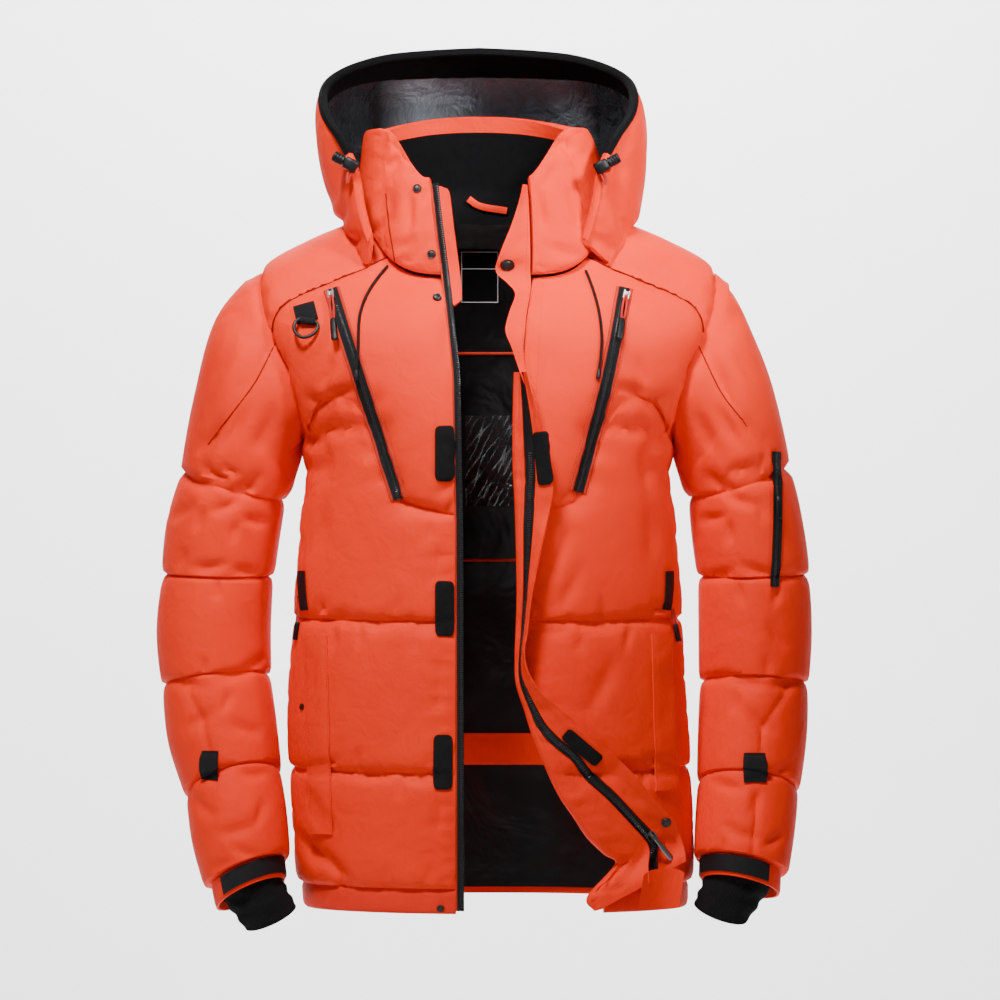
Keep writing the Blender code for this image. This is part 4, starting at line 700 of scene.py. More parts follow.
# %% [markdown]
# The fronts' creases follow the photographed jacket: short puckers along the
# quilting lines, longer folds below the armholes, and upright ones beside the
# zips. Two lines are stitched through the padding.

# %% The fronts' creases
RIGHT_CREASES = (
    (-110, -405, 3, 26, 5, 1.6), (-150, -398, -14, 18, 4, 1.5), (-62, -408, 8, 24, 5, 1.3),
    (-178, -392, 20, 16, 4, 1.8), (-96, -388, 70, 15, 4, 1.1), (-132, -418, 82, 13, 4, 1.0),
    (-75, -421, 100, 14, 4, 0.9), (-160, -422, 75, 16, 4, 1.1), (-118, -560, 2, 30, 5, 1.5),
    (-165, -548, 14, 18, 4, 1.4), (-70, -563, -5, 24, 5, 1.3), (-92, -574, 84, 13, 4, 1.0),
    (-136, -543, 95, 15, 4, 1.0), (-60, -546, 78, 12, 4, 0.8), (-178, -600, -60, 30, 7, 1.8),
    (-188, -470, 80, 40, 8, 1.2), (-176, -178, -12, 20, 5, 1.6), (-150, -168, 12, 26, 6, 1.5),
    (-168, -150, 62, 22, 5, 1.2), (-120, -176, 30, 18, 5, 1.2), (-66, -286, -12, 26, 5, 1.2),
    (-110, -215, 62, 30, 5, 1.2), (-185, -215, -30, 26, 6, 2.0), (-170, -245, 74, 24, 6, 1.4),
    (-60, -310, 85, 14, 4, 0.9), (-190, -640, -50, 28, 7, 1.6), (-160, -655, -42, 34, 6, 1.6),
    (-60, -660, 88, 14, 5, 1.1), (-105, -660, 92, 12, 4, 0.9), (-44, -120, 80, 26, 5, 0.9),
    (-60, -75, 30, 24, 6, 1.2), (-178, -310, 78, 34, 9, 1.3), (-52, -345, 84, 24, 5, 0.8),
    (-50, -470, 92, 30, 6, 0.8), (-50, -600, 86, 22, 5, 0.8))
LEFT_CREASES = (
    (110, -407, -3, 28, 5, 1.6), (160, -398, 12, 18, 4, 1.5), (70, -412, -8, 20, 5, 1.2),
    (180, -390, -20, 14, 4, 1.6), (120, -390, 100, 14, 4, 1.1), (146, -420, 84, 14, 4, 1.0),
    (96, -424, 74, 14, 4, 0.9), (140, -552, 0, 30, 5, 1.5), (176, -546, -12, 18, 4, 1.4),
    (120, -540, 80, 14, 4, 1.0), (160, -570, 96, 16, 4, 1.0), (176, -178, 12, 20, 5, 1.6),
    (146, -166, -12, 26, 6, 1.5), (160, -146, 112, 20, 5, 1.2), (118, -180, -30, 18, 5, 1.2),
    (66, -286, 14, 24, 5, 1.1), (104, -215, 118, 30, 5, 1.2), (184, -215, 30, 26, 6, 2.0),
    (168, -245, 104, 24, 6, 1.4), (76, -330, 70, 34, 7, 1.4), (86, -370, 62, 30, 7, 1.2),
    (62, -140, 84, 34, 6, 1.0), (58, -90, 150, 22, 6, 1.2), (176, -310, 100, 34, 9, 1.3),
    (186, -480, 96, 36, 8, 1.2), (182, -640, 50, 30, 7, 1.4), (120, -470, 60, 40, 9, 1.2),
    (60, -195, 96, 40, 7, 1.0))
# Stitched lines: from the chest zip's end to the zip, and from the pocket down to the hem
FRONT_SEAMS = {"right": (((-92, -278), (-66, -287), (-38, -294)), ((-190, -637), (-160, -660), (-141, -690))),
               "left": (((92, -270), (84, -272), (74, -278)),)}
print("creases on the fronts", len(RIGHT_CREASES) + len(LEFT_CREASES))

# %% [markdown]
# Each front is now cut from the body's surface, filled and creased. Its top row
# at the shoulder is kept, because the yoke is sewn to it.

# %% The two fronts
YOKE_OVERLAP, SHOULDER_GROOVE = 0.4, 1.8
FRONT_SIDE_PADS, BACK_SIDE_PADS = (0.25, 0.45), (1, 0.45)
fronts, shoulder_rows = {}, {}
for side, word, creases in ((-1, "right", RIGHT_CREASES), (1, "left", LEFT_CREASES)):
    armpit_angle = angle_at(30 * side, ARMPIT_LEVEL, side) * (1 - FRONT_SHARES)
    seam_reach = np.abs(body(armpit_angle, ARMPIT_LEVEL, side)[:, 0])
    angle, level, pad = panel_grid(FRONT_SHARES, NECK_COLUMN, front_edge(side), NECK_ANGLE, -1,
                                   np.interp(seam_reach, *zip(*CHEST_SEAM)))
    angle[:, -1] -= gap_angle(level[:, -1])
    level[-1] += YOKE_OVERLAP
    thickness = SEAM_WALL + PUFF_BODY * pad * cross_padding(FRONT_SHARES, *FRONT_SIDE_PADS)
    thickness[-len(ARM_TURNS):, -1] = SEAM_WALL
    inner, outer = body_patch(angle, level, side, thickness, pad, creases, FRONT_SEAMS[word])
    outer[-1, NECK_COLUMN:] -= body_normal(angle[-1, NECK_COLUMN:], level[-1, NECK_COLUMN:],
                                           side) * SHOULDER_GROOVE
    shoulder_rows[word, 0] = outer[-1, NECK_COLUMN:]
    fronts[word] = wall(f"front_{word}_cloth", inner, outer, shell_cloth, f"front_{word}", pad=0.6)
    print("front", word, len(fronts[word].data.polygons), "faces")

# %% [markdown]
# The back is one piece with the same rows. Its rows meet the fronts at the side
# seams and turn round the armholes from behind.

# %% Back
BACK_SHARES = finer((0, 0.17, 0.34, 0.5, 0.6, 0.7, 0.8, 0.9, 1.0), STEPS + 2)
BACK_NECK_COLUMN = 3 * (STEPS + 2)
BACK_CREASES = (
    (-120, -404, 4, 30, 5, 1.6), (-60, -400, -6, 26, 5, 1.4), (20, -405, 5, 30, 5, 1.5),
    (90, -402, -8, 28, 5, 1.6), (150, -398, 12, 20, 4, 1.4), (-100, -560, 3, 30, 5, 1.5),
    (-20, -556, -4, 30, 5, 1.4), (70, -560, 6, 28, 5, 1.5), (140, -552, -8, 22, 5, 1.4),
    (-130, -206, 10, 28, 5, 1.6), (-50, -202, -4, 30, 5, 1.4), (40, -207, 5, 28, 5, 1.5),
    (125, -200, -12, 26, 5, 1.6), (-90, -388, 78, 15, 4, 1.0), (-30, -418, 96, 14, 4, 0.9),
    (50, -388, 84, 14, 4, 1.0), (110, -420, 100, 15, 4, 1.0), (-60, -545, 82, 13, 4, 0.9),
    (30, -574, 94, 14, 4, 0.9), (100, -544, 80, 13, 4, 1.0), (-170, -240, 60, 26, 6, 1.5),
    (170, -236, 118, 26, 6, 1.5), (-60, -120, 20, 30, 7, 1.3), (50, -110, -16, 30, 7, 1.3))


def back_halves():
    """Angle, level, padding and side for each half of the back."""
    for side in (-1, 1):
        seam = np.full(len(BACK_SHARES), float(ARMPIT_LEVEL))
        yield side, *panel_grid(BACK_SHARES, BACK_NECK_COLUMN, lambda at: np.full(np.shape(at), 90.0),
                                BACK_NECK_ANGLE, 1, seam)


def joined(halves):
    """The two halves side by side, their common middle column kept once."""
    return [np.concatenate([right[:, :0:-1], left], axis=1) for right, left in zip(*halves)]


halves = []
for side, angle, level, pad in back_halves():
    angle[:, -1] += gap_angle(level[:, -1])
    level[-1] += YOKE_OVERLAP
    thickness = SEAM_WALL + PUFF_BODY * pad * cross_padding(BACK_SHARES, *BACK_SIDE_PADS)
    thickness[-len(ARM_TURNS):, -1] = SEAM_WALL
    base, way = body(angle, level, side), body_normal(angle, level, side)
    halves.append((base, way, thickness, quilted(pad)))
base, way, thickness, pins = joined(halves)
inner, outer = filled(base, unit(way), thickness, pins, BACK_CREASES)
shoulder_rows["left", 1] = outer[-1, len(BACK_SHARES) - 1 + BACK_NECK_COLUMN:]
shoulder_rows["right", 1] = outer[-1, len(BACK_SHARES) - 1 - BACK_NECK_COLUMN::-1]
back_cloth = wall("back_cloth", inner, outer, shell_cloth, "back_panel", pad=0.6)
print("back", len(back_cloth.data.polygons), "faces")

# %% [markdown]
# A yoke arches over each shoulder, from the front seam to the back one. Its edges
# meet the edges of the front and the back along the seams. It is padded less,
# and not at all beside the collar.

# %% Yokes
PUFF_YOKE = 6.0
YOKE_CREASES = ((-150, -38, 20, 30, 7, 1.4), (-190, -62, 38, 22, 6, 1.5), (-176, -78, 25, 18, 5, 1.1),
                (150, -38, -20, 30, 7, 1.4), (188, -62, -38, 22, 6, 1.5), (172, -78, -25, 18, 5, 1.1),
                (-214, -92, 60, 20, 6, 1.3), (212, -92, -60, 20, 6, 1.3))
yokes = {}
for side, word in ((-1, "right"), (1, "left")):
    turns = finer(np.arange(YOKE_TURN, -YOKE_TURN - 1, -20), STEPS)
    end_angle, end_level = armhole(turns)
    sweep = ((YOKE_TURN - turns) / (2 * YOKE_TURN))[:, None]
    ends = [(row[at:] - row[at]) / (1 - row[at])
            for row, at in ((FRONT_SHARES, NECK_COLUMN), (BACK_SHARES, BACK_NECK_COLUMN))]
    shares = ends[0] * (1 - sweep) + ends[1] * sweep
    start_angle = NECK_ANGLE + (BACK_NECK_ANGLE - NECK_ANGLE) * sweep
    angle = start_angle + (end_angle[:, None] - start_angle) * shares
    level = NECK_LEVEL + (end_level[:, None] - NECK_LEVEL) * shares
    pad = puff(sweep) * puff(ends[0]) * np.clip(ends[0] / 0.4, 0, 1)
    inner, outer = filled(body(angle, level, side), body_normal(angle, level, side),
                          SEAM_WALL + PUFF_YOKE * pad, pad < 0, YOKE_CREASES)
    outer[0], outer[-1] = shoulder_rows[word, 0], shoulder_rows[word, 1]
    yokes[word] = wall(f"yoke_{word}_cloth", inner, outer, shell_cloth, f"yoke_{word}", pad=0.5)
print("yokes", len(yokes))

# %% [markdown]
# The hem band is one narrow fold of shell cloth round the bottom. It is thin,
# with no filling, and gathers a little where it is sewn on.

# %% Hem bands
HEM_ROWS = finer((HEM_LEVEL, HEM_LEVEL + 2, HEM_LEVEL + 6, HEM_SEAM_LEVEL - 5, HEM_SEAM_LEVEL), 3)[:, None]
HEM_THICKNESS = finer((3.2, 5.0, 5.8, 5.8, SEAM_WALL), 3)[:, None]
hems = {}
for side, word in ((-1, "right"), (1, "left")):
    shares = np.linspace(0, 1, 60)
    angle = front_edge(side)(HEM_ROWS) * (1 - shares) - gap_angle(HEM_ROWS) * shares
    puckers = HEM_THICKNESS + ripple(shares + 0 * HEM_ROWS, 0 * shares + HEM_ROWS / 90, 31 + side, 0.35)
    base, way = body(angle, HEM_ROWS + 0 * angle, side), body_normal(angle, HEM_ROWS + 0 * angle, side)
    hems[word] = wall(f"hem_{word}_cloth", base, base + way * puckers[..., None], band_cloth, f"hem_{word}",
                      pad=0.4)
halves = []
for side in (-1, 1):
    angle = gap_angle(HEM_ROWS) + (90 - gap_angle(HEM_ROWS)) * np.linspace(0, 1, 70)
    base, way = body(angle, HEM_ROWS + 0 * angle, side), body_normal(angle, HEM_ROWS + 0 * angle, side)
    halves.append((base, base + way * HEM_THICKNESS[..., None]))
inner, outer = (np.concatenate([halves[0][face], halves[1][face][:, -2::-1]], axis=1) for face in (0, 1))
wall("hem_back_cloth", inner, outer, band_cloth, "hem_back", pad=0.4)
print("hem bands 3")

# %% [markdown]
# Each sleeve is a row of rings between its outer and inner edge as seen from the
# front, sewn to the armhole. Quilting lines tie it at five rings. The tables give
# for each ring the x and z of its outer edge, the x and z of its inner edge, how
# far forward it lies and half its depth.

# %% The sleeves' sizes
SLEEVE_RIGHT = np.array((
    (279, -87, 208, -256, 0, 84), (303, -168, 211, -270, 2, 82), (321, -247, 214, -279, 5, 79),
    (335, -301, 222, -320, 8, 77), (341, -356, 227, -358, 10, 75), (346, -415, 231, -410, 10, 73),
    (341, -472, 230, -460, 6, 70), (333, -532, 225, -507, -4, 67), (315, -588, 219, -557, -18, 63),
    (305, -637, 213, -602, -38, 59), (292, -682, 209, -645, -50, 54), (286, -706, 206, -668, -56, 53)), float)
SLEEVE_LEFT = np.array((
    (263, -87, 208, -256, 0, 84), (290, -150, 211, -270, 2, 82), (316, -243, 212, -276, 5, 79),
    (328, -299, 217, -317, 8, 77), (336, -357, 222, -358, 10, 75), (338, -415, 224, -412, 10, 73),
    (335, -470, 224, -467, 6, 70), (332, -525, 223, -516, -4, 67), (324, -581, 221, -569, -18, 63),
    (317, -627, 219, -609, -34, 59), (310, -668, 217, -648, -48, 54), (308, -690, 216, -669, -54, 53)), float)
SLEEVE_BASE, PUFF_SLEEVE, ARMPIT_REACH = 9.0, 7.0, 1.6
QUILT_ROWS, ELBOW_ROW, CUFF_ROW = (2, 4, 6, 8, 10), 4, 10
SLEEVE_TURNS = np.arange(0, 360, 3)
print("sleeve rings", len(SLEEVE_RIGHT), len(SLEEVE_LEFT))

# %% [markdown]
# Filling bunches most where the arm bends, so the creases crowd there. Below the
# shoulder a slanting line is stitched, and another behind the webbing loop.

# %% The sleeves' creases
SLEEVE_CREASES = {
    "right": ((-262, -205, 58, 34, 6, 2.0), (-290, -215, 48, 26, 6, 1.6), (-250, -265, 30, 26, 6, 2.0),
              (-300, -262, -14, 26, 5, 1.7), (-270, -285, 20, 24, 5, 1.6), (-240, -300, -8, 18, 5, 1.7),
              (-320, -290, 30, 22, 6, 1.5), (-300, -300, 68, 16, 5, 1.2), (-262, -312, 84, 15, 5, 1.2),
              (-290, -348, 4, 26, 5, 1.6), (-250, -352, -8, 18, 5, 1.6), (-320, -340, 72, 15, 5, 1.2),
              (-280, -372, 96, 14, 4, 1.1), (-262, -460, 10, 26, 6, 1.6), (-312, -470, -4, 24, 5, 1.6),
              (-240, -448, 30, 16, 5, 1.5), (-296, -452, 84, 14, 5, 1.1), (-270, -486, 74, 15, 5, 1.1),
              (-300, -506, 30, 26, 6, 1.4), (-250, -515, -20, 22, 6, 1.4), (-282, -560, 22, 26, 5, 1.5),
              (-242, -562, -6, 20, 5, 1.5), (-296, -596, -30, 22, 6, 1.3), (-258, -618, 14, 28, 6, 1.4),
              (-232, -600, 74, 18, 5, 1.2), (-250, -640, -16, 22, 5, 1.3), (-276, -655, 24, 18, 5, 1.2),
              (-250, -150, 66, 40, 8, 1.3), (-228, -205, 70, 32, 7, 1.4), (-280, -140, 50, 32, 8, 1.1)),
    "left": ((250, -205, -56, 34, 6, 2.0), (280, -212, -44, 26, 6, 1.6), (238, -262, -28, 26, 6, 2.0),
             (290, -256, 16, 26, 5, 1.7), (262, -280, -16, 24, 5, 1.6), (232, -298, 10, 18, 5, 1.7),
             (306, -240, -40, 20, 6, 1.4), (284, -290, 104, 16, 5, 1.2), (250, -312, 94, 15, 5, 1.2),
             (280, -352, -12, 28, 5, 1.7), (240, -356, 8, 18, 5, 1.6), (312, -356, 14, 18, 5, 1.4),
             (300, -378, 80, 14, 4, 1.1), (262, -376, 98, 14, 4, 1.1), (270, -468, -6, 26, 6, 1.6),
             (308, -470, 6, 22, 5, 1.6), (240, -462, 12, 18, 5, 1.5), (290, -450, 100, 14, 5, 1.1),
             (256, -488, 82, 15, 5, 1.1), (282, -508, -34, 26, 6, 1.4), (300, -560, 8, 24, 5, 1.5),
             (248, -574, -10, 22, 5, 1.5), (276, -590, 80, 16, 5, 1.2), (262, -622, -18, 28, 6, 1.4),
             (296, -630, 26, 20, 5, 1.3), (238, -640, 70, 18, 5, 1.2), (240, -150, -66, 40, 8, 1.3),
             (222, -205, -70, 32, 7, 1.4), (270, -140, -50, 32, 8, 1.1), (300, -420, -50, 22, 6, 1.1))}
SLEEVE_SEAMS = {"right": (((-222, -112), (-240, -152), (-268, -190), (-298, -222)),
                          ((-312, -478), (-297, -508), (-291, -536))),
                "left": (((214, -100), (232, -134), (246, -166), (272, -202)),
                         ((314, -474), (284, -514), (284, -540)), ((280, -583), (272, -656)))}
print("creases on the sleeves", sum(len(rows) for rows in SLEEVE_CREASES.values()))

# %% [markdown]
# A sleeve starts at the armhole, inside the body's own wall, and runs down
# through its rings. It is thin at the armpit, where there is no room for
# filling. The upper and the lower part are cut at the elbow's seam.

# %% Sleeves


def sleeve_rings(side, rows):
    """Rings of the sleeve's inner face: an ellipse from each pair of edges, after one outside the armhole."""
    angle, level = armhole(SLEEVE_TURNS)
    loop, normal = body(angle, level, side), body_normal(angle, level, side)
    spoke = unit((loop - loop.mean(axis=0)) * (0, 1, 1))
    out = np.stack([side * rows[:, 0], rows[:, 4], rows[:, 1]], axis=-1)
    inside = np.stack([side * rows[:, 2], rows[:, 4], rows[:, 3]], axis=-1)
    middle, reach = (out + inside) / 2, (out - inside) / 2
    width = np.linalg.norm(reach, axis=-1, keepdims=True)
    forward = unit(np.cross(np.gradient(middle, axis=0), reach)) * side
    forward *= np.where(forward[:, 1:2] > 0, -1, 1)
    turn = np.radians(SLEEVE_TURNS)[None, :, None]
    rings = (middle[:, None] + (reach * (1 - SLEEVE_BASE / width))[:, None] * np.cos(turn)
             + (forward * (rows[:, 5:6] - SLEEVE_BASE))[:, None] * np.sin(turn))
    start = loop - spoke * (SEAM_WALL + 0.8) + normal * 7
    return loop, normal, spoke, np.concatenate([start[None], rings])


sleeves, sleeve_ends = {}, {}
for side, word, rows in ((-1, "right", SLEEVE_RIGHT), (1, "left", SLEEVE_LEFT)):
    loop, normal, spoke, rings = sleeve_rings(side, rows)
    seams = [0.0] + [1.0 + row for row in QUILT_ROWS]
    at, pads = [], []
    for low, high in zip(seams, seams[1:]):
        shares = np.linspace(0, 1, 5 * STEPS + 1)[:-1]
        at += list(low + (high - low) * shares)
        pads += list(plump(1 - shares) if low else np.minimum(plump(1 - shares), puff(shares)))
    at, pads = np.array(at + [1.0 + CUFF_ROW]), np.array(pads + [SEAM_FULLNESS])
    stitched = np.isin(np.round(at, 6), seams)
    base = smooth(at, np.arange(len(rings)), rings)
    around = np.roll(base, -1, axis=1) - np.roll(base, 1, axis=1)
    outward = unit(np.cross(np.gradient(base, axis=0), around))
    inside_out = (outward * (base - base.mean(axis=1, keepdims=True))).sum(axis=(1, 2)) < 0
    outward *= np.where(inside_out, -1, 1)[:, None, None]
    outward[0] = spoke
    thickness = SEAM_WALL + 1 + PUFF_SLEEVE * pads
    thickness[0] = SEAM_WALL
    below = np.clip(-np.cos(np.radians(SLEEVE_TURNS)), 0, 1)
    armpit = np.clip(1 - at / ARMPIT_REACH, 0, 1)[:, None] * below
    thickness = SEAM_WALL + (thickness - SEAM_WALL)[:, None] * (1 - armpit)
    pins = np.repeat(stitched[:, None], thickness.shape[1], axis=1)
    pins[at < 0.15] = True
    base, outer = filled(base, outward, thickness, pins, SLEEVE_CREASES[word], SLEEVE_SEAMS[word],
                         closed=True)
    neck_inner, neck_outer = ((loop - spoke * (wide + 0.8) + normal * 0.3)[None] for wide in (SEAM_WALL, 0))
    base, outer = np.concatenate([neck_inner, base]), np.concatenate([neck_outer, outer])
    elbow = 1 + int(np.searchsorted(at, 1.0 + ELBOW_ROW))
    upper = wall(f"sleeve_{word}_upper_cloth", base[:elbow + 1], outer[:elbow + 1], shell_cloth,
                 f"sleeve_{word}_upper", pad=0.6, closed=True)
    step = unit(base[elbow + 1] - base[elbow]) * SEAM_GAP
    lower_base, lower_outer = base[elbow:].copy(), outer[elbow:].copy()
    lower_base[0] += step
    lower_outer[0] += step
    lower = wall(f"sleeve_{word}_lower_cloth", lower_base, lower_outer, shell_cloth, f"sleeve_{word}_lower",
                 pad=0.6,
                 closed=True)
    sleeves[word] = (upper, lower)
    sleeve_ends[word] = rings
    print("sleeve", word, len(upper.data.polygons) + len(lower.data.polygons), "faces")

# %% [markdown]
# The stand collar is padded and leans outwards. It has two seams at its sides,
# as on a real jacket.

# %% Collar
COLLAR_TOP = {"mid_x": -12, "half": 106, "front": 66, "back": 80, "side_z": 108, "front_z": 54, "back_z": 130}
COLLAR_WALL, COLLAR_LIFT, COLLAR_PUFF, COLLAR_SEAM_ANGLE = 5.0, 4.4, 9.0, -36
COLLAR_EDGES = {-1: (-71, -67), 1: (-72, -63)}
COLLAR_RISES = finer((0, 0.1, 0.35, 0.7, 0.92, 1.0), STEPS + 1)[:, None]
COLLAR_CREASES = (
    (-82, 18, 84, 26, 5, 1.3), (-62, 40, 70, 20, 5, 1.1), (-96, 70, 60, 22, 6, 1.2),
    (-70, 85, 12, 26, 6, 1.2), (56, 20, 96, 26, 5, 1.3), (66, 58, 60, 18, 5, 1.1), (84, 90, -30, 24, 6, 1.2),
    (-104, 20, 70, 26, 6, 1.4), (-88, -14, 20, 18, 5, 1.2), (80, -22, -16, 20, 5, 1.2),
    (92, 20, 110, 24, 6, 1.2))


def collar_point(angle, rise, side):
    """Point of the collar's inner face: a line from the neck ring up to an oval that leans outwards."""
    angle, rise = np.broadcast_arrays(np.asarray(angle, float), np.asarray(rise, float))
    foot = body(angle, NECK_LEVEL, side) + body_normal(angle, NECK_LEVEL, side) * (SEAM_WALL + COLLAR_LIFT)
    across, along = np.abs(np.cos(np.radians(angle))), np.sin(np.radians(angle))
    size = COLLAR_TOP
    depth = np.where(along < 0, size["front"], size["back"])
    end_z = np.where(along < 0, size["front_z"], size["back_z"])
    climb = np.clip((across - 0.42) / 0.46, 0, 1)
    climb = np.where(along < 0, climb**2 * (3 - 2 * climb), across**2)
    top = np.stack([size["mid_x"] + side * size["half"] * across**ROUNDNESS,
                    np.sign(along) * depth * np.abs(along) ** ROUNDNESS,
                    end_z + (size["side_z"] - end_z) * climb], axis=-1)
    return foot * (1 - rise[..., None]) + top * rise[..., None]


def spread(inner, centre=None):
    """Outward directions of a grid that curves round the neck."""
    outward = unit(np.cross(np.gradient(inner, axis=1), np.gradient(inner, axis=0)))
    centre = inner.mean(axis=(0, 1)) * (0, 0, 1) if centre is None else np.array(centre, float)
    return outward * (1 if (outward * (inner - centre)).sum() > 0 else -1)


def padded_wall(name, base, out, thickness, creases, node_name):
    """A padded piece of collar or hood."""
    inner, outer = filled(base, out, thickness, thickness < 0, creases, grow=0.03, pressure=0.8)
    return wall(name, inner, outer, shell_cloth, node_name, pad=0.6)


collars = []
for side, word in ((-1, "right"), (1, "left")):
    shares = np.linspace(0, 1, 36)
    low, high = COLLAR_EDGES[side]
    edge = low + (high - low) * COLLAR_RISES
    inner = collar_point(edge + (COLLAR_SEAM_ANGLE - 0.12 - edge) * shares, COLLAR_RISES, side)
    thickness = COLLAR_WALL + COLLAR_PUFF * puff(COLLAR_RISES * 0.92) * puff(0.15 + 0.75 * shares)
    collars.append(padded_wall(f"collar_{word}_cloth", inner, spread(inner), thickness, COLLAR_CREASES,
                               f"collar_{word}"))
angles = np.linspace(COLLAR_SEAM_ANGLE + 0.12, 90, 60)
halves = [collar_point(angles, COLLAR_RISES, side) for side in (-1, 1)]
inner = np.concatenate([halves[0], halves[1][:, -2::-1]], axis=1)
shares = np.linspace(0, 1, inner.shape[1])
thickness = COLLAR_WALL + COLLAR_PUFF * puff(COLLAR_RISES * 0.92) * puff(0.06 + 0.88 * shares)
collars.append(padded_wall("collar_back_cloth", inner, spread(inner), thickness, COLLAR_CREASES,
                           "collar_back"))
print("collar pieces", len(collars))

# %% [markdown]
# The collar's inside is a plain black cloth. It reaches down past the neck seam
# and lies in front of the back lining's top there.

# %% The collar's lining
angles, rises = np.linspace(COLLAR_SEAM_ANGLE + 3, 90, 50), np.linspace(-0.25, 0.82, 20)[:, None]
halves = [collar_point(angles, rises, side) for side in (-1, 1)]
outer = np.concatenate([halves[0], halves[1][:, -2::-1]], axis=1)
inward = -spread(outer)
folds = ripple(np.linspace(0, 1, outer.shape[1]) + 0 * rises, rises + 0 * np.linspace(0, 1, outer.shape[1]),
               57, 0.5)
depth = 1.3 + 20 * np.clip(0.12 - rises, 0, 1)[..., None] / 0.37
collar_lining = wall("collar_lining_cloth", outer + inward * (depth + 1.3),
                     outer + inward * (depth + folds[..., None]),
                     matt_black, "lining_collar")
print("collar pieces in all", len(collars) + 1)

# %% [markdown]
# The hood lies open behind the collar. Two side pieces and a crown piece are
# padded, a matt band faces the brim inside, and a glossy lining falls from it in
# soft folds. The facing binds the brim's edge. The hood's foot rests on
# whatever is higher there, the shoulder or the back, so it is found by rays cast
# straight down.

# %% Hood
BRIM = (
    (108, -70, -12), (117, -72, 22), (125, -70, 64), (139, -60, 95), (156, -35, 124), (158, 2, 152),
    (141, 34, 172), (100, 62, 188), (52, 80, 195), (0, 86, 198))
HOOD_BASE_LEVEL, HOOD_MID_X, HOOD_LIFT, HOOD_FRONT_ANGLE = -62, -10, 3.2, -38
HOOD_WALL, HOOD_PUFF, HOOD_SEAM = 6.0, 6.0, 0.62
HOOD_BULGE = ((0, 0), (0.15, 2), (0.3, 8), (0.5, 14), (0.65, 30), (0.8, 58), (1.0, 78))
HOOD_RISES = finer((0.0, 0.12, 0.28, 0.45, 0.62, 0.78, 0.87, 0.95, 1.0), STEPS)
HOOD_CREASES = (
    (-160, 60, 84, 40, 7, 1.6), (-158, 10, 70, 30, 6, 1.4), (-152, 110, 60, 26, 6, 1.4),
    (-140, -10, 30, 22, 6, 1.4), (140, 70, 96, 40, 7, 1.6), (142, 10, 110, 30, 6, 1.4),
    (136, 112, -60, 26, 6, 1.4), (120, -12, -30, 22, 6, 1.4), (-150, 84, 12, 20, 5, 1.2),
    (132, 88, -14, 20, 5, 1.2), (-60, 120, 80, 40, 8, 1.6), (40, 110, 100, 40, 8, 1.6),
    (0, 60, 4, 50, 9, 1.4), (-80, 60, 30, 36, 8, 1.4), (70, 50, -24, 36, 8, 1.4))
print("hood rises", len(HOOD_RISES))

# %% [markdown]
# To lay one thing on another, rays are cast at what lies below, and the place
# where each ray meets it is used. A tree over its faces makes this quick.

# %% Rays that find the cloth


def search_tree(*objects):
    """One tree over the faces of several pieces, in metres, for rays."""
    points, faces = [], []
    for obj in objects:
        start = len(points)
        points += [vertex.co.copy() for vertex in obj.data.vertices]
        faces += [[start + corner for corner in polygon.vertices] for polygon in obj.data.polygons]
    return BVHTree.FromPolygons(points, faces)


def land(tree, origins, way):
    """Where rays from the origins (mm) first meet the pieces, and the face's way out there.

    A ray that misses takes the place of the nearest one that meets them.
    """
    flat = np.asarray(origins, float).reshape(-1, 3)
    ways = np.broadcast_to(way, np.shape(origins)).reshape(-1, 3)
    hits = [tree.ray_cast(Vector(origin * MM), Vector(ray)) for origin, ray in zip(flat, ways)]
    found = np.array([hit[0] is not None for hit in hits])
    spots = np.array([hit[0] if hit[0] is not None else (0, 0, 0) for hit in hits]) / MM
    outs = np.array([hit[1] if hit[1] is not None else (0, 0, 0) for hit in hits])
    for index in np.flatnonzero(~found):
        nearest = np.flatnonzero(found)[np.argmin(np.linalg.norm(flat[found] - flat[index], axis=1))]
        spots[index], outs[index] = spots[nearest] + (flat[index] - flat[nearest]) * (1, 0, 1), outs[nearest]
    return spots.reshape(np.shape(origins)), outs.reshape(np.shape(origins))


shoulders = search_tree(back_cloth, *fronts.values(), *yokes.values())
print("a tree over the shoulders is ready")

# %% [markdown]
# The whole hood is worked out as one surface from its foot to its brim. It is
# then cut in three, and each piece is padded and creased.

# %% The hood's three pieces


def hood_point(share, rise, side, tree):
    """Inner face of the hood: a line from its foot to the brim, bulged by a sine.

    Share 0 is a front end, and rise 1 is the brim.
    """
    angle = HOOD_FRONT_ANGLE + (90 - HOOD_FRONT_ANGLE) * share
    foot = body(angle, HOOD_BASE_LEVEL, side)
    away = foot + unit(foot * (1, 1, 0)) * HOOD_WALL
    ground = [land(tree, place * (1, 1, 0) + (0, 0, 90), (0, 0, -1))[0][..., 2] for place in (foot, away)]
    foot[..., 2] = np.maximum(*ground) + HOOD_LIFT
    brim = smooth(share, np.linspace(0, 1, len(BRIM)), np.array(BRIM, float))
    brim = brim * (side, 1, 1) + (HOOD_MID_X, 0, 0)
    bulge = np.interp(share, *zip(*HOOD_BULGE))
    outward = unit(((foot + brim) / 2 - (HOOD_MID_X / 2, 10, 0)) * (1, 1, 0))
    line = foot[None] + (brim - foot)[None] * rise[:, None, None]
    return line + (outward * bulge[:, None])[None] * np.sin(np.pi * rise**0.9).clip(0)[:, None, None] ** 0.8


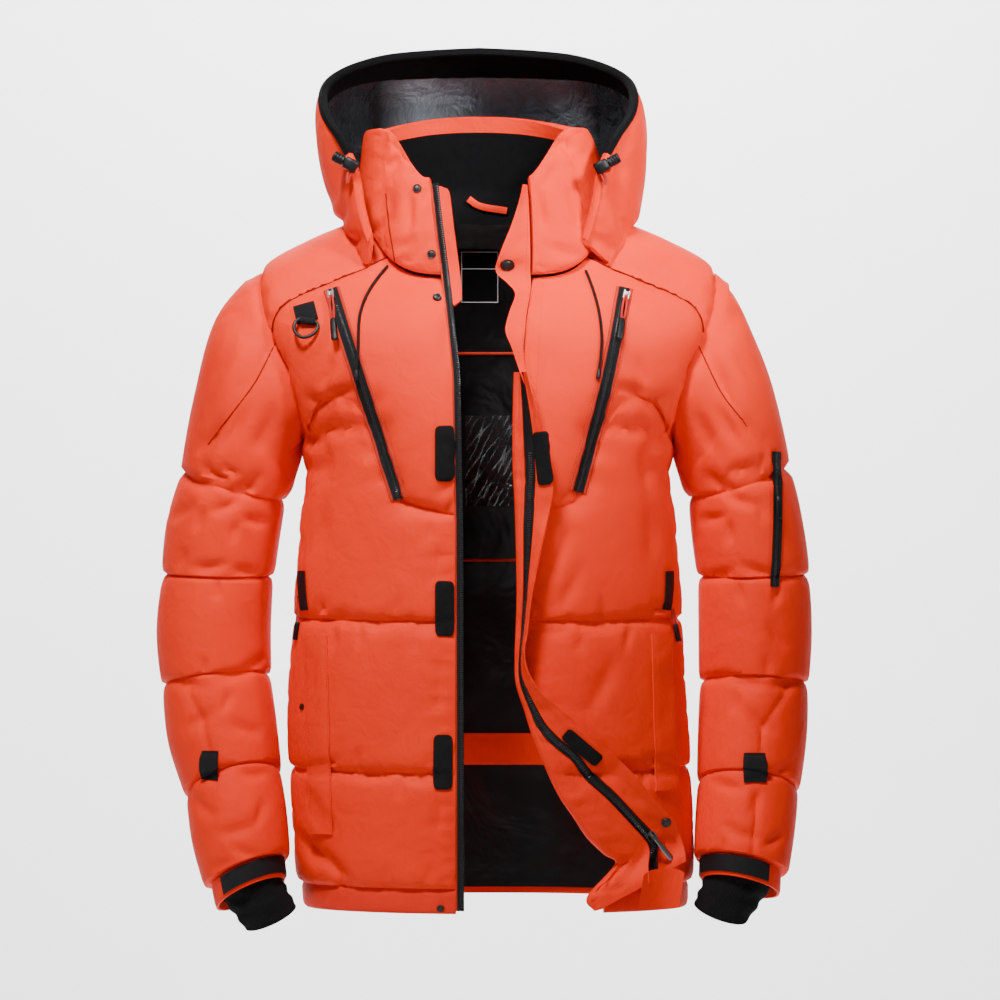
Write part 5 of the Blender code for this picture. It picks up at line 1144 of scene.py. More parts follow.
side_count, crown_count = 9 * STEPS, 5 * STEPS
shares = np.concatenate([np.linspace(0, HOOD_SEAM, side_count + 1),
                         np.linspace(HOOD_SEAM, 1, crown_count + 1)[1:]])
halves = [hood_point(shares, HOOD_RISES, side, shoulders) for side in (-1, 1)]
whole = np.concatenate([halves[0], halves[1][:, -2::-1]], axis=1)
hood_out = spread(whole, (HOOD_MID_X, 40, 90))
last = whole.shape[1] - 1
rise_pad = puff(0.04 + 0.92 * HOOD_RISES)[:, None]
hood = {}
for word, first, end in (("right", 0, side_count), ("crown", side_count, last - side_count),
                         ("left", last - side_count, last)):
    base, way = whole[:, first:end + 1].copy(), hood_out[:, first:end + 1]
    if first:
        base[:, 0] += unit(base[:, 1] - base[:, 0]) * SEAM_GAP
    thickness = HOOD_WALL - 2 + HOOD_PUFF * rise_pad * puff(np.linspace(0, 1, end - first + 1))
    hood[word] = padded_wall(f"hood_{word}_cloth", base, way, thickness, HOOD_CREASES, f"hood_{word}")
print("hood pieces", len(hood))

# %% [markdown]
# Inside the brim runs a matt band with small tucks. It turns over the edge and
# binds it. Below a certain height the shell cloth itself turns in, so the band's
# faces there have the shell's colour. The lining hangs from the band in folds
# of three widths, and is drawn flat towards its seam at the top.

# %% The hood's facing and lining


def hood_band(rises):
    """The hood's inner face and way out at other rises, its two end columns left off."""
    return smooth(rises, HOOD_RISES, whole)[:, 1:-1], smooth(rises, HOOD_RISES, hood_out)[:, 1:-1]


FACING_LEVEL, FACING_FOOT, LINING_FOOT, LINING_TOP = 80, 0.874, 0.12, 0.868
grid, way = hood_band(np.linspace(FACING_FOOT, 1.0, 9))
s = np.linspace(0, 1, grid.shape[1])
tucks = 0.7 * np.abs(np.sin(2 * np.pi * 34 * s + 2 * np.sin(2 * np.pi * 5 * s))) ** 3
tucks = tucks * np.linspace(1, 0, 9)[:, None]
near, far = grid - way * (0.4 + 0 * tucks[..., None]), grid - way * (1.6 + tucks[..., None])
rise = unit(grid[-1] - grid[-2])
RIM = ((0.4, 0.2), (0.5, 3.0), (0.4, 5.6), (-2.0, 7.4))
COVER = ((1.9, -0.6), (2.2, 2.8), (1.8, 6.4), (-2.2, 8.6))
rim, cover = ([grid[-1] + rise * up + way[-1] * out for up, out in rows] for rows in (RIM, COVER))
hood_facing = wall("hood_facing_cloth", np.concatenate([near, rim]), np.concatenate([far, cover]), matt_black,
                   "hood_facing")
hood_facing.data.materials.append(shell_cloth)
middles = np.empty(3 * len(hood_facing.data.polygons))
hood_facing.data.polygons.foreach_get("center", middles)
hood_facing.data.polygons.foreach_set("material_index", (middles[2::3] < FACING_LEVEL * MM).astype(int))
rises = np.linspace(LINING_FOOT, LINING_TOP, 30)
grid, way = hood_band(rises)
share_up = ((rises - LINING_FOOT) / (LINING_TOP - LINING_FOOT))[:, None]
drape = (2.6 * np.sin(2 * np.pi * (9 * s + 0.25 * share_up))
         + 1.8 * np.sin(2 * np.pi * (23 * s - 0.3 * share_up) + 1.3)
         + 1.2 * np.sin(2 * np.pi * (41 * s + 0.4 * share_up)))
drape = np.clip(0.9 + 0.8 * drape, 0, 6.0) * np.clip(4 * (1 - share_up), 0.12, 1)
wall("hood_lining_cloth", grid - way * (1.2 + drape)[..., None], grid - way * (0.4 + drape)[..., None],
     hood_satin, "lining_hood")
print("hood pieces in all", len(hood) + 2)

# %% [markdown]
# The back lining shows through the open front. It hangs from the neck, a little
# looser than the shell, so long soft folds run down it.

# %% Back lining
LINING_LEVEL = -693
halves = []
for side, angle, level, pad in back_halves():
    keep = np.arange(2 * STEPS, len(level) - 1)
    angle = np.concatenate([angle[:1], angle[keep]])
    level = np.concatenate([0 * level[:1] + LINING_LEVEL, level[keep]])
    base, way = body(angle, level, side)[:, :-1], body_normal(angle, level, side)[:, :-1]
    u = side * np.broadcast_to(BACK_SHARES[:-1], level[:, :-1].shape)
    v = (level[:, :-1] - HEM_LEVEL) / (NECK_LEVEL - HEM_LEVEL)
    folds = (1.5 * np.sin(9 * u + 2 * np.sin(5 * v) + 0.4) + 1.0 * np.sin(23 * u + 6 * v) * np.sin(7 * v + 1)
             + 0.8 * np.sin(41 * v + 3 * u) * np.exp(-((u / 0.7) ** 2)))
    folds = np.clip(1.4 + folds, 0, 4.5) * np.clip(8 * v, 0, 1) * np.clip(6 * (1.02 - v), 0, 1)
    halves.append((base - way * (2.8 + folds)[..., None], base - way * (1.6 + folds)[..., None]))
back_lining = wall("back_lining_cloth", *joined(halves), back_satin, "lining_back")
print("back lining", len(back_lining.data.polygons), "faces")

# %% [markdown]
# The left front is turned back along a slanting fold. What shows is its facing,
# then the zip's tape and then the storm flap, which lie on the front and stand
# off it more towards the chest. Each follows the front below it, so rays find
# how far forward the front is at every place.

# %% Turned front edge
FRONT_ON = np.array((0.0, 1.0, 0.0))
TURNED_GAP = 1.4
turned_rows = smooth(np.linspace(0, len(FOLD) - 1, 22 * STEPS + 1), np.arange(len(FOLD)), FOLD)
fold_line, zip_line, free_line = turned_rows[:, 0:2], turned_rows[:, 2:4], turned_rows[:, 4:6]
turned_lift = turned_rows[:, 6]
span = np.linalg.norm(free_line - fold_line, axis=1)
middle = np.linalg.norm(zip_line - fold_line, axis=1) / span
half = np.minimum(4.5 / np.maximum(span, 20), 0.16)
gap = 0.8 / np.hypot(span, turned_lift)
edge_tree = search_tree(fronts["left"], hems["left"])


def eased(values, reach):
    """The greatest value within reach rows, then averaged over as many."""
    around = np.pad(values, reach, mode="edge")
    widest = np.max([around[start:start + len(values)] for start in range(2 * reach + 1)], axis=0)
    around = np.pad(widest, reach, mode="edge")
    return np.mean([around[start:start + len(values)] for start in range(2 * reach + 1)], axis=0)


def front_of_edge(low, high, count):
    """Shares across the turned edge, their x and z, and how far forward the front is below each."""
    share = low[:, None] + (high - low)[:, None] * np.linspace(0, 1, count)
    place = fold_line[:, None] + (free_line - fold_line)[:, None] * share[..., None]
    cast = np.maximum(place[..., 0], fold_line[:, :1] + FOLD_COVER + 2)
    spots, _ = land(edge_tree, np.stack([cast, np.full(cast.shape, -400.0), place[..., 1]], axis=-1),
                    FRONT_ON)
    return share, place, spots[..., 1]


zero, one = np.zeros(len(span)), np.ones(len(span))
strips = {"facing": front_of_edge(zero, middle - half - gap, 14),
          "tape": front_of_edge(middle - half, middle + half, 5),
          "flap": front_of_edge(middle + half + gap, one, 14)}
FACING_CREASES = (
    (96, -560, -30, 20, 5, 1.0), (66, -505, -40, 18, 4, 0.9), (50, -470, -60, 16, 4, 0.8),
    (120, -600, -20, 18, 5, 1.0), (84, -536, 20, 14, 4, 0.8), (40, -430, 80, 16, 4, 0.6),
    (132, -628, -36, 16, 4, 0.9), (104, -590, 12, 14, 4, 0.8))
FLAP_CREASES = (
    (150, -580, -40, 16, 5, 1.0), (110, -520, -44, 18, 5, 1.0), (86, -500, -50, 14, 4, 0.8),
    (170, -610, -30, 14, 4, 0.9), (60, -472, -60, 16, 4, 0.8), (130, -560, 24, 12, 4, 0.8))


def turned_strip(share, place, y, wrap, creases, least):
    """Grids of one strip. Its stand-off grows with the share towards the free edge to the power of 1.3."""
    foremost = eased(y.min(axis=1), 2)[:, None]
    depth = foremost * 0.35 + 0.65 * np.minimum(y, foremost + 6)
    stand = np.minimum(depth, y) - TURNED_GAP - least - turned_lift[:, None] * share**1.3
    points = np.stack([place[..., 0], stand, place[..., 1]], axis=-1)
    if wrap:
        turn = [points[:, :1] + (-2.4, 7.5, 0), points[:, :1] + (-2.9, 5.0, 0),
                points[:, :1] + (-2.6, 2.4, 0)]
        points = np.concatenate(turn + [points], axis=1)
    out = unit(np.cross(np.gradient(points, axis=1), np.gradient(points, axis=0)))
    out *= -1 if out[..., 1].mean() > 0 else 1
    thick = 1.8 - creased(points, creases)
    rows, columns = thick.shape
    across, upward = np.meshgrid(np.linspace(0, 1, columns), np.linspace(0, 6, rows))
    thick += 0.35 * np.sin(9 * upward + 3 * np.sin(4 * across)) * np.sin(np.pi * np.clip(across, 0.02, 0.98))
    return points, points + out * np.maximum(thick, 0.9)[..., None]


turned = {"facing": wall("turned_facing_cloth", *turned_strip(*strips["facing"], True, FACING_CREASES, 1.0),
                         shell_cloth,
                         "facing_left"),
          "tape": wall("turned_zip_tape", *turned_strip(*strips["tape"], False, (), 1.0), zip_cloth,
                       "zip_tape_left"),
          "flap": wall("storm_flap_cloth", *turned_strip(*strips["flap"], False, FLAP_CREASES, 1.0),
                       shell_cloth,
                       "storm_flap")}
print("turned edge", sum(len(strip.data.polygons) for strip in turned.values()), "faces")

# %% [markdown]
# Trims lie on the cloth. One helper finds the cloth behind places seen from the
# front, another makes a strip or patch that follows it, and a third sets small
# solids at many places at once, such as the teeth of a zip.

# %% Helpers for trims
cloths = {"right": search_tree(fronts["right"], yokes["right"], hems["right"]),
          "left": search_tree(fronts["left"], yokes["left"], hems["left"]),
          "sleeve_right": search_tree(*sleeves["right"]), "sleeve_left": search_tree(*sleeves["left"]),
          "turned": search_tree(*turned.values()), "collar": search_tree(*collars),
          "edge": edge_tree}


def on_cloth(tree, x, z, start_y=-400.0):
    """The cloth's place and way out behind places x, z seen from the front."""
    x, z = np.broadcast_arrays(np.asarray(x, float), np.asarray(z, float))
    return land(tree, np.stack([x, np.full(x.shape, start_y), z], axis=-1), FRONT_ON)


def even(points, step):
    """Places at even steps along a smooth line through points, and the way along it."""
    points = np.array(points, float)
    run = np.concatenate([[0], np.cumsum(np.linalg.norm(np.diff(points, axis=0), axis=1))])
    line = smooth(np.linspace(0, run[-1], max(int(run[-1] / step), 2) + 1), run, points)
    return line, unit(np.gradient(line, axis=0))


def softened(grid, reach):
    """The grid averaged along its rows and columns within reach, its edges held."""
    for axis in (0, 1):
        width = min(reach, (grid.shape[axis] - 1) // 2)
        if width > 0:
            pad = [(0, 0)] * grid.ndim
            pad[axis] = (width, width)
            around = np.pad(grid, pad, mode="reflect", reflect_type="odd")
            count = grid.shape[axis]
            grid = sum(np.take(around, np.arange(start, start + count), axis=axis)
                       for start in range(2 * width + 1)) / (2 * width + 1)
    return grid


def strip(name, tree, points, width, thickness, material, node_name=None, lift=0.6, across=5, start_y=-400.0,
          profile=None, slack=1):
    """A strip of one width along a line of x, z places, on the cloth. Its profile thickens it across."""
    line, along = even(points, 3.0)
    offsets = np.linspace(-0.5, 0.5, across) * width
    x = line[:, :1] + along[:, 1:] * offsets
    z = line[:, 1:] - along[:, :1] * offsets
    return laid_on(name, tree, x, z, thickness, material, node_name, lift, start_y, profile, slack)


def laid_on(name, tree, x, z, thickness, material, node_name=None, lift=0.6, start_y=-400.0, profile=None,
            slack=1):
    """A thin piece on the cloth from a grid of x, z places, its inner face lifted clear of it."""
    spots, outs = on_cloth(tree, x, z, start_y)
    out = unit(softened(outs, 3))
    base = softened(spots, slack)
    sunk = np.clip(((spots - base) * out).sum(axis=-1, keepdims=True), 0, None)
    base = base + out * (lift + sunk)
    swell = np.ones(x.shape) if profile is None else np.broadcast_to(profile, x.shape)
    return wall(name, base, base + out * (thickness * swell)[..., None], material, node_name)


def copies(name, material, points, faces, places, across, along, out, size, node_name=None):
    """One joined mesh of many small solids: its points turned to each place's own three ways and sized."""
    points, faces = np.array(points, float), np.array(faces)
    size = np.broadcast_to(np.asarray(size, float), (len(places), 3))
    local = points[None] * size[:, None]
    spots = (places[:, None] + across[:, None] * local[..., :1] + along[:, None] * local[..., 1:2]
             + out[:, None] * local[..., 2:])
    faces = (faces[None] + (np.arange(len(places)) * len(points))[:, None, None]).reshape(-1, faces.shape[1])
    mesh = bpy.data.meshes.new(name)
    mesh.from_pydata((spots.reshape(-1, 3) * MM).tolist(), [], faces.tolist())
    return piece(name, mesh, material, node_name)


print("cloth trees", len(cloths))

# %% [markdown]
# Stitching is a row of short raised threads in the cloth's own colour. It runs
# beside the zips, welts, hems and the turned edge. A real one has about three
# stitches a centimetre.

# %% Stitching
THREAD_POINTS = [(x, y, z) for y, s in ((-0.5, 0.2), (-0.25, 1.0), (0.25, 1.0), (0.5, 0.2))
                 for x, z in ((-0.5 * s, 0), (-0.3 * s, 0.8 * s), (0.3 * s, 0.8 * s), (0.5 * s, 0))]
THREAD_FACES = [(4 * row + side, 4 * row + side + 1, 4 * row + side + 5, 4 * row + side + 4)
                for row in range(3) for side in range(3)]
THREAD_FACES += [(4 * row + 3, 4 * row, 4 * row + 4, 4 * row + 7)
                 for row in range(3)] + [(3, 2, 1, 0), (12, 13, 14, 15)]
stitch_rows = []


def stitches(tree, points, beside=0.0, step=3.4, start_y=-400.0, lift=0.0):
    """Places and ways of the stitches along a line of x, z places, set to one side of it."""
    line, along = even(points, step)
    x, z = line[:, 0] + along[:, 1] * beside, line[:, 1] - along[:, 0] * beside
    spots, outs = on_cloth(tree, x, z, start_y)
    out = unit(softened(outs[:, None], 1)[:, 0])
    way = unit(np.gradient(spots, axis=0))
    across = unit(np.cross(way, out))
    stitch_rows.append((spots + out * (0.05 + lift), across, way, np.cross(across, way)))


def welt_sides(points, width):
    """The two long sides and the foot of a strip, 2 mm in from its edges."""
    line, along = even(points, 8.0)
    beside = np.stack([along[:, 1], -along[:, 0]], axis=-1) * (width / 2 - 2.2)
    return [line + beside, line - beside]


print("stitch shape", len(THREAD_FACES), "faces")

# %% [markdown]
# A coil zip is a black woven tape with a row of moulded teeth down its middle. On
# the chest it is closed, with a narrow turned edge of shell cloth on each side.
# The main zip is open: each side has half the teeth, on the tape's outer edge.

# %% Zips
CHEST_ZIPS = {"right": ((-161, -61), (-133, -146), (-107, -226), (-91, -277)),
              "left": ((141, -60), (124, -146), (104, -224), (92, -270))}
ARM_ZIP = ((299, -228), (300, -300), (297, -368))
TOOTH_POINTS = [(x * s, y * s, z) for z, s in ((0, 1.0), (0.7, 1.0), (1.0, 0.6))
                for x, y in ((-0.5, -0.5), (0.5, -0.5), (0.5, 0.5), (-0.5, 0.5))]
TOOTH_FACES = [(4 * row + side, 4 * row + (side + 1) % 4, 4 * row + 4 + (side + 1) % 4, 4 * row + 4 + side)
               for row in range(2) for side in range(4)] + [(3, 2, 1, 0), (8, 9, 10, 11)]


def teeth_along(name, tape, points, step, size):
    """Zip teeth at even steps along a tape's line of x, z places, a little sunk in it, with a size in mm."""
    spots, outs = on_cloth(search_tree(tape), *np.moveaxis(even(points, step)[0], -1, 0))
    way = unit(np.gradient(spots, axis=0))
    copies(name, zip_teeth, TOOTH_POINTS, TOOTH_FACES, spots - outs * 0.2, unit(np.cross(way, outs)), way,
           outs, size)


for word in ("right", "left"):
    tape = strip(f"chest_zip_tape_{word}", cloths[word], CHEST_ZIPS[word], 11, 0.9, zip_cloth,
                 f"chest_zip_{word}", lift=0.9,
                 slack=4)
    for edge, sign in (("inner", -1), ("outer", 1)):
        line, along = even(CHEST_ZIPS[word], 6.0)
        border = line + np.stack([along[:, 1], -along[:, 0]], axis=-1) * sign * 7.0
        strip(f"chest_zip_edge_{word}_{edge}", cloths[word], border, 3.4, 1.5, piping_cloth, lift=0.3,
              across=7,
              profile=np.sqrt(np.clip(1 - np.linspace(-0.98, 0.98, 7) ** 2, 0.02, 1)), slack=3)
        stitches(cloths[word], CHEST_ZIPS[word], sign * 10.6)
    teeth_along(f"chest_zip_teeth_{word}", tape, CHEST_ZIPS[word], 1.9, (3.6, 1.15, 1.1))
tape = strip("arm_zip_tape", cloths["sleeve_left"], ARM_ZIP, 9, 0.9, zip_cloth, "arm_zip", lift=0.8, slack=4)
teeth_along("arm_zip_teeth", tape, ARM_ZIP, 1.9, (3.2, 1.15, 1.1))
for sign in (-1, 1):
    stitches(cloths["sleeve_left"], ARM_ZIP, sign * 7.4)
teeth_along("turned_zip_teeth", turned["tape"], zip_line[:-2 * STEPS], 2.4, (4.2, 1.5, 1.5))
print("zips with teeth", len(CHEST_ZIPS) + 2)

# %% [markdown]
# The right front's zip stands on the front's very edge. Its tape runs on up the
# collar. Teeth sit along its free edge, and a thin piping of shell cloth lies
# between the tape and the panel.

# %% Right front's zip
TAPE_LEVEL, EDGE_TOP_LEVEL, GUARD_LEVEL = -697, -62, -82
levels = np.arange(TAPE_LEVEL, EDGE_TOP_LEVEL, 4.0)
angles = front_edge(-1)(levels)
lower, lower_way = body(angles, levels, -1), body_normal(angles, levels, -1)
rises = np.linspace(0.02, 0.95, 24)
low, high = COLLAR_EDGES[-1]
upper = collar_point(low + (high - low) * rises, rises, -1)
edge_points = np.concatenate([lower, upper])
edge_ways = np.concatenate([lower_way, np.tile((-0.3, -0.95, 0.05), (len(upper), 1))])
edge_points = softened(edge_points[:, None], 3)[:, 0]
edge_ways = unit(softened(edge_ways[:, None], 4)[:, 0])


def edge_band(name, first, width, material, node_name, points, ways, thickness=1.4, lift=1.2, across=4,
              wave=0.0):
    """A band beside the right front's free edge, from first to first plus width past it."""
    beside = unit(np.cross(np.gradient(points, axis=0), ways))
    beside *= np.where(beside[:, :1] > 0, 1, -1)
    offsets = np.broadcast_to(first + np.asarray(width) * np.linspace(0, 1, across), (len(points), across))
    sway = wave * np.sin(np.arange(len(points)) * 0.33 + 1.5 * np.sin(np.arange(len(points)) * 0.11))
    inner = points[:, None] + beside[:, None] * offsets[..., None] + (ways * (lift + sway[:, None]))[:, None]
    return wall(name, inner, inner + (ways * thickness)[:, None], material, node_name), beside


tape, beside = edge_band("right_zip_tape", 0.4, 8.0, zip_cloth, "zip_tape_right", edge_points, edge_ways,
                         lift=1.6)
start = int(np.searchsorted(levels, GUARD_LEVEL))
guard_rows = len(edge_points) - 1 - start
taper = np.sqrt(np.clip(1 - (np.linspace(-1, 1, guard_rows) ** 12), 0.02, 1))[:, None]
edge_band("collar_guard_cloth", 8.6, 11.0 * taper, shell_cloth, "guard_right", edge_points[start:-1],
                     edge_ways[start:-1], thickness=2.0, across=7, wave=0.5)
run = np.concatenate([[0], np.cumsum(np.linalg.norm(np.diff(edge_points, axis=0), axis=1))])
at = np.arange(4, run[-1] - 3, 2.4)
spots = np.stack([np.interp(at, run, (edge_points + beside * 6.4 + edge_ways * 2.9)[:, face])
                  for face in range(3)], axis=-1)
ways = unit(np.stack([np.interp(at, run, edge_ways[:, face]) for face in range(3)], axis=-1))
along = unit(np.gradient(spots, axis=0))
copies("right_zip_teeth", zip_teeth, TOOTH_POINTS, TOOTH_FACES, spots, unit(np.cross(along, ways)), along,
       ways,
       (3.4, 1.5, 1.5))
cover = edge_points + edge_ways * 3.6 + beside * 0.6
turns = np.linspace(0, 2 * np.pi, 9)[:-1]
ring = (cover[:, None] + beside[:, None] * (1.1 * np.cos(turns))[None, :, None]
        + edge_ways[:, None] * (1.1 * np.sin(turns))[None, :, None])
wall("right_zip_piping", cover[:, None] + (ring - cover[:, None]) * 0.3, ring, piping_cloth, closed=True)
print("right zip teeth", len(spots))

# %% [markdown]
# Hook-and-loop patches are thin fields of stiff pile, with rounded corners and a
# stitched border. Three are on the right front.

# %% Hook-and-loop patches
PATCH_SIZE = (19, 56)
PATCHES = {"patch_right_1": ("right", -44, -231, 0), "patch_right_2": ("right", -44, -389, 0),
           "patch_right_3": ("right", -45.5, -545, 0)}


def patch_grid(width, height, across, up):
    """A rectangle with rounded corners: each row's width shrinks near the ends as a circle's does."""
    u, v = np.meshgrid(np.linspace(-1, 1, across), np.sin(np.linspace(-1, 1, up) * np.pi / 2))
    corner = min(width, height) * 0.2
    y = v * height / 2
    inward = np.clip(np.abs(y) - (height / 2 - corner), 0, corner)
    half = width / 2 - corner + np.sqrt(np.clip(corner**2 - inward**2, 0, None))
    return u * half, y


def patch(name, tree, x, z, size, tilt, node_name=None, lift=0.7, thickness=1.5):
    """A rounded patch on the cloth round x, z, with a border that is thinner than its field."""
    across, up = patch_grid(*size, 9, 33)
    turn = math.radians(tilt)
    rim = np.minimum(size[0] / 2 - np.abs(across), size[1] / 2 - np.abs(up))
    profile = 0.55 + 0.45 * np.clip(rim / 2.2, 0, 1)
    return laid_on(name, tree, x + across * math.cos(turn) - up * math.sin(turn),
                   z + across * math.sin(turn) + up * math.cos(turn), thickness, hook_pile, node_name, lift,
                   profile=profile,
                   slack=3)


for node_name, (word, x, z, tilt) in PATCHES.items():
    patch(f"{node_name}_pile", cloths[word], x, z, PATCH_SIZE, tilt, node_name)
print("patches on the right front", len(PATCHES))

# %% [markdown]
# A folded piece of shell cloth covers the end of the turned zip at the hem. The
# zip, facing and flap make steps below it, so it isn't laid on them point by
# point. A smooth surface is fitted to all of them by least squares, and moved
# out until nine tenths of what is below it lies behind it.

# %% The cover at the zip's end
across, up = np.meshgrid(np.linspace(0, 1, 16), np.linspace(0, 1, 14))
x, z = 153 + 43 * across + 6 * up, -696 + 40 * up - 5 * (2 * across - 1) ** 4 * up
spots, _ = on_cloth(cloths["turned"], x, z)
terms = np.stack([np.ones(x.size), across.ravel(), up.ravel(), (across * up).ravel(), (across**2).ravel()],
                 axis=-1)
plain_y = (terms @ np.linalg.lstsq(terms, spots[..., 1].ravel(), rcond=None)[0]).reshape(x.shape)
plain_y -= np.percentile(plain_y - spots[..., 1], 90) + 0.8
base = np.stack([x, plain_y, z], axis=-1)
folded = 0.5 + 1.6 * puff(0.04 + 0.92 * across) ** 0.3
wall("zip_garage", base, base - FRONT_ON * folded[..., None], shell_cloth)
print("cover over the zip's end", x.shape)

# %% [markdown]
# Where two panels of shell cloth meet without padding, the seam lies in a thin line of shadow: round the
# collar, down each sleeve and along both yokes. A strip half a millimetre high, in a darker copy of the
# shell's colour, is painted shadow along that line on the cloth's own form.

# %% Painted shadow along the seams
for name, word, places in (("collar_seam", "collar", ((-105.7, 40), (-102, 5), (-96, -31))),
                           ("sleeve_seam_right", "sleeve_right",
                            ((-220, -116), (-239, -155), (-265, -190), (-290, -221))),
                           ("sleeve_seam_left", "sleeve_left",
                            ((212, -104), (225, -135), (242, -169), (268, -202)))):
    strip(name, cloths[word], places, 0.9, 0.5, painted_seam_shadow, lift=0.1, across=3)
for word in ("right", "left"):
    seam = shoulder_rows[word, 0][:, [0, 2]]
    seam = seam[np.argsort(-np.abs(seam[:, 0]))]
    strip(f"yoke_seam_{word}", cloths[word], seam, 1.1, 0.6, painted_seam_shadow, lift=0.2, across=3)
print("seam lines 5")

# %% [markdown]
# The storm flap carries the other half of two patches, a little narrower and
# turned with the flap as it folds.

# %% Patches on the storm flap
patch("flap_patch_upper", cloths["turned"], 56, -236, (15, 54), 6, lift=0.5, thickness=1.3)
patch("flap_patch_lower", cloths["turned"], 96, -530, (14, 46), 49, lift=0.5, thickness=1.3)
print("patches in all", len(PATCHES) + 2)

# %% [markdown]
# Each pocket is hidden by a welt, a folded strip of shell cloth that stands a
# little off the panel and is stitched down at its ends and along one side.

# %% Pocket welts
WELTS = {"right": ((-177, -418), (-174, -520), (-171, -622)), "left": ((180, -416), (182, -500), (184, -577))}
POCKET_ZIPS = {"right": ((-193, -352), (-192, -368), (-189, -392)),
               "left": ((187, -352), (187, -368), (184, -392))}
WELT_WIDTH = 25
for word, points in WELTS.items():
    across = np.linspace(-1, 1, 9)
    welt = strip(f"pocket_welt_{word}", cloths[word], points, WELT_WIDTH, 2.6, shell_cloth, f"welt_{word}",
                 lift=0.7,
                 across=9, profile=0.55 + 0.45 * (1 - across**6), slack=5)
    tree = search_tree(welt)
    for side_line in welt_sides(points, WELT_WIDTH):
        stitches(tree, side_line)
    strip(f"pocket_zip_{word}", cloths[word], POCKET_ZIPS[word], 8, 1.2, zip_cloth, lift=0.8, slack=3)
print("welts", len(WELTS))

# %% [markdown]
# The top of the storm flap still faces forwards. It is a soft strip that stands
# beside the collar and the chest, wider and narrower as it folds.

# %% Storm flap's upper length
FLAP_TOP = np.array((
    (-188, 52.0, 48.5), (-172, 49.0, 42.5), (-156, 43.5, 35.5), (-140, 38.0, 30), (-122, 37.0, 24),
    (-105, 38.2, 18), (-86, 40.2, 22), (-67, 43.4, 28), (-55, 44.6, 20), (-42, 44.0, 8), (-20, 43.9, 14),
    (5, 43.4, 24), (30, 42.4, 32), (48, 41.0, 36)), float)
FLAP_CREASES_TOP = (
    (30, -36, 20, 18, 4, 0.7), (34, -60, -30, 16, 4, 0.6), (34, -12, 40, 14, 4, 0.5),
    (30, -100, -20, 14, 4, 0.5))
rows = smooth(np.linspace(0, len(FLAP_TOP) - 1, 90), np.arange(len(FLAP_TOP)), FLAP_TOP)
level, edge, free = rows[:, 0], rows[:, 1], rows[:, 2]
share = np.linspace(0, 1, 14)
x = edge[:, None] + (free - edge)[:, None] * share
under = search_tree(fronts["left"], collars[1], turned["facing"], turned["tape"])
spots, _ = land(under, np.stack([edge + 8, np.full(len(edge), -400.0), level], axis=-1), FRONT_ON)
depth = softened(spots[:, None], 5)[:, 0, 1]
sway = 1.2 * np.sin(level / 9.0)[:, None] * share**2
laid_down = 8.0 * np.clip((-138 - level) / 16, 0, 1)[:, None]
y = depth[:, None] + 2.0 - laid_down - 5.0 * share - 3.0 * share**2 + sway
base = np.stack([x, y, level[:, None] + 0 * x], axis=-1)
thick = 2.8 - creased(base, FLAP_CREASES_TOP)
thick *= 0.55 + 0.45 * puff(0.04 + 0.92 * share)
upper_flap = wall("upper_flap_cloth", base, base - FRONT_ON * np.maximum(thick, 1.0)[..., None], shell_cloth,
                  "flap_top")
flap_tree = search_tree(upper_flap)
stitches(flap_tree, np.stack([edge + (free - edge) * 0.12, level], axis=-1)[2:-2])
stitches(cloths["left"], [(57, -56), (53, -110), (50, -160), (49, -200)])
print("upper flap", len(rows), "rows")

# %% [markdown]
# Inside the open front hang a few flat things: an elastic waist band, two lines
# of piping, a plain black label with a thin border, a loop to hang the jacket by
# and a bare pocket of clear film. Each bridges the lining's folds, so its place
# is that of the nearest fold round it.

# %% Pieces on the lining
lining_tree = search_tree(back_lining)


def nearest_folds(values, reach):
    """The least value within reach rows and columns, then averaged over as many."""
    for axis in (0, 1):
        pad = [(0, 0), (0, 0)]
        pad[axis] = (reach, reach)
        around = np.pad(values, pad, mode="edge")
        values = np.min([np.take(around, np.arange(start, start + values.shape[axis]), axis=axis)
                         for start in range(2 * reach + 1)], axis=0)
    return softened(values[..., None], reach)[..., 0]


def inside_sheet(name, x, z, thickness, material, node_name=None, lift=0.5, reach=4, tree=None, waves=0.0):
    """A thin piece in front of the lining, from a grid of x, z places."""
    spots, _ = on_cloth(tree or lining_tree, x, z, 0.0)
    y = nearest_folds(spots[..., 1], reach) - lift - waves
    base = np.stack([*np.broadcast_arrays(np.asarray(x, float)), y, np.asarray(z, float)], axis=-1)
    return wall(name, base, base - FRONT_ON * np.asarray(thickness, float)[..., None], material, node_name)


def rectangle(left, right, low, high, across, up):
    """A grid of x, z places with even steps between four sides."""
    z, x = np.meshgrid(np.linspace(low, high, up), np.linspace(left, right, across), indexing="ij")
    return x, z


x, z = rectangle(-138, 138, -564, -530, 140, 13)
gathers = 0.9 * np.abs(np.sin(x * 0.42 + 0.9 * np.sin(x * 0.11))) * np.sin(np.pi * (z + 564) / 34)
inside_sheet("waist_band_cloth", x, z, 1.4 + gathers, shell_cloth, "waist_band")
for number, level in enumerate((-120, -343)):
    x, z = rectangle(-118, 118, level - 1.6, level + 1.6, 80, 5)
    inside_sheet(f"inside_piping_{number + 1}", x, z, 0.9 + 0.9 * puff((z - level + 1.7) / 3.4), piping_cloth)
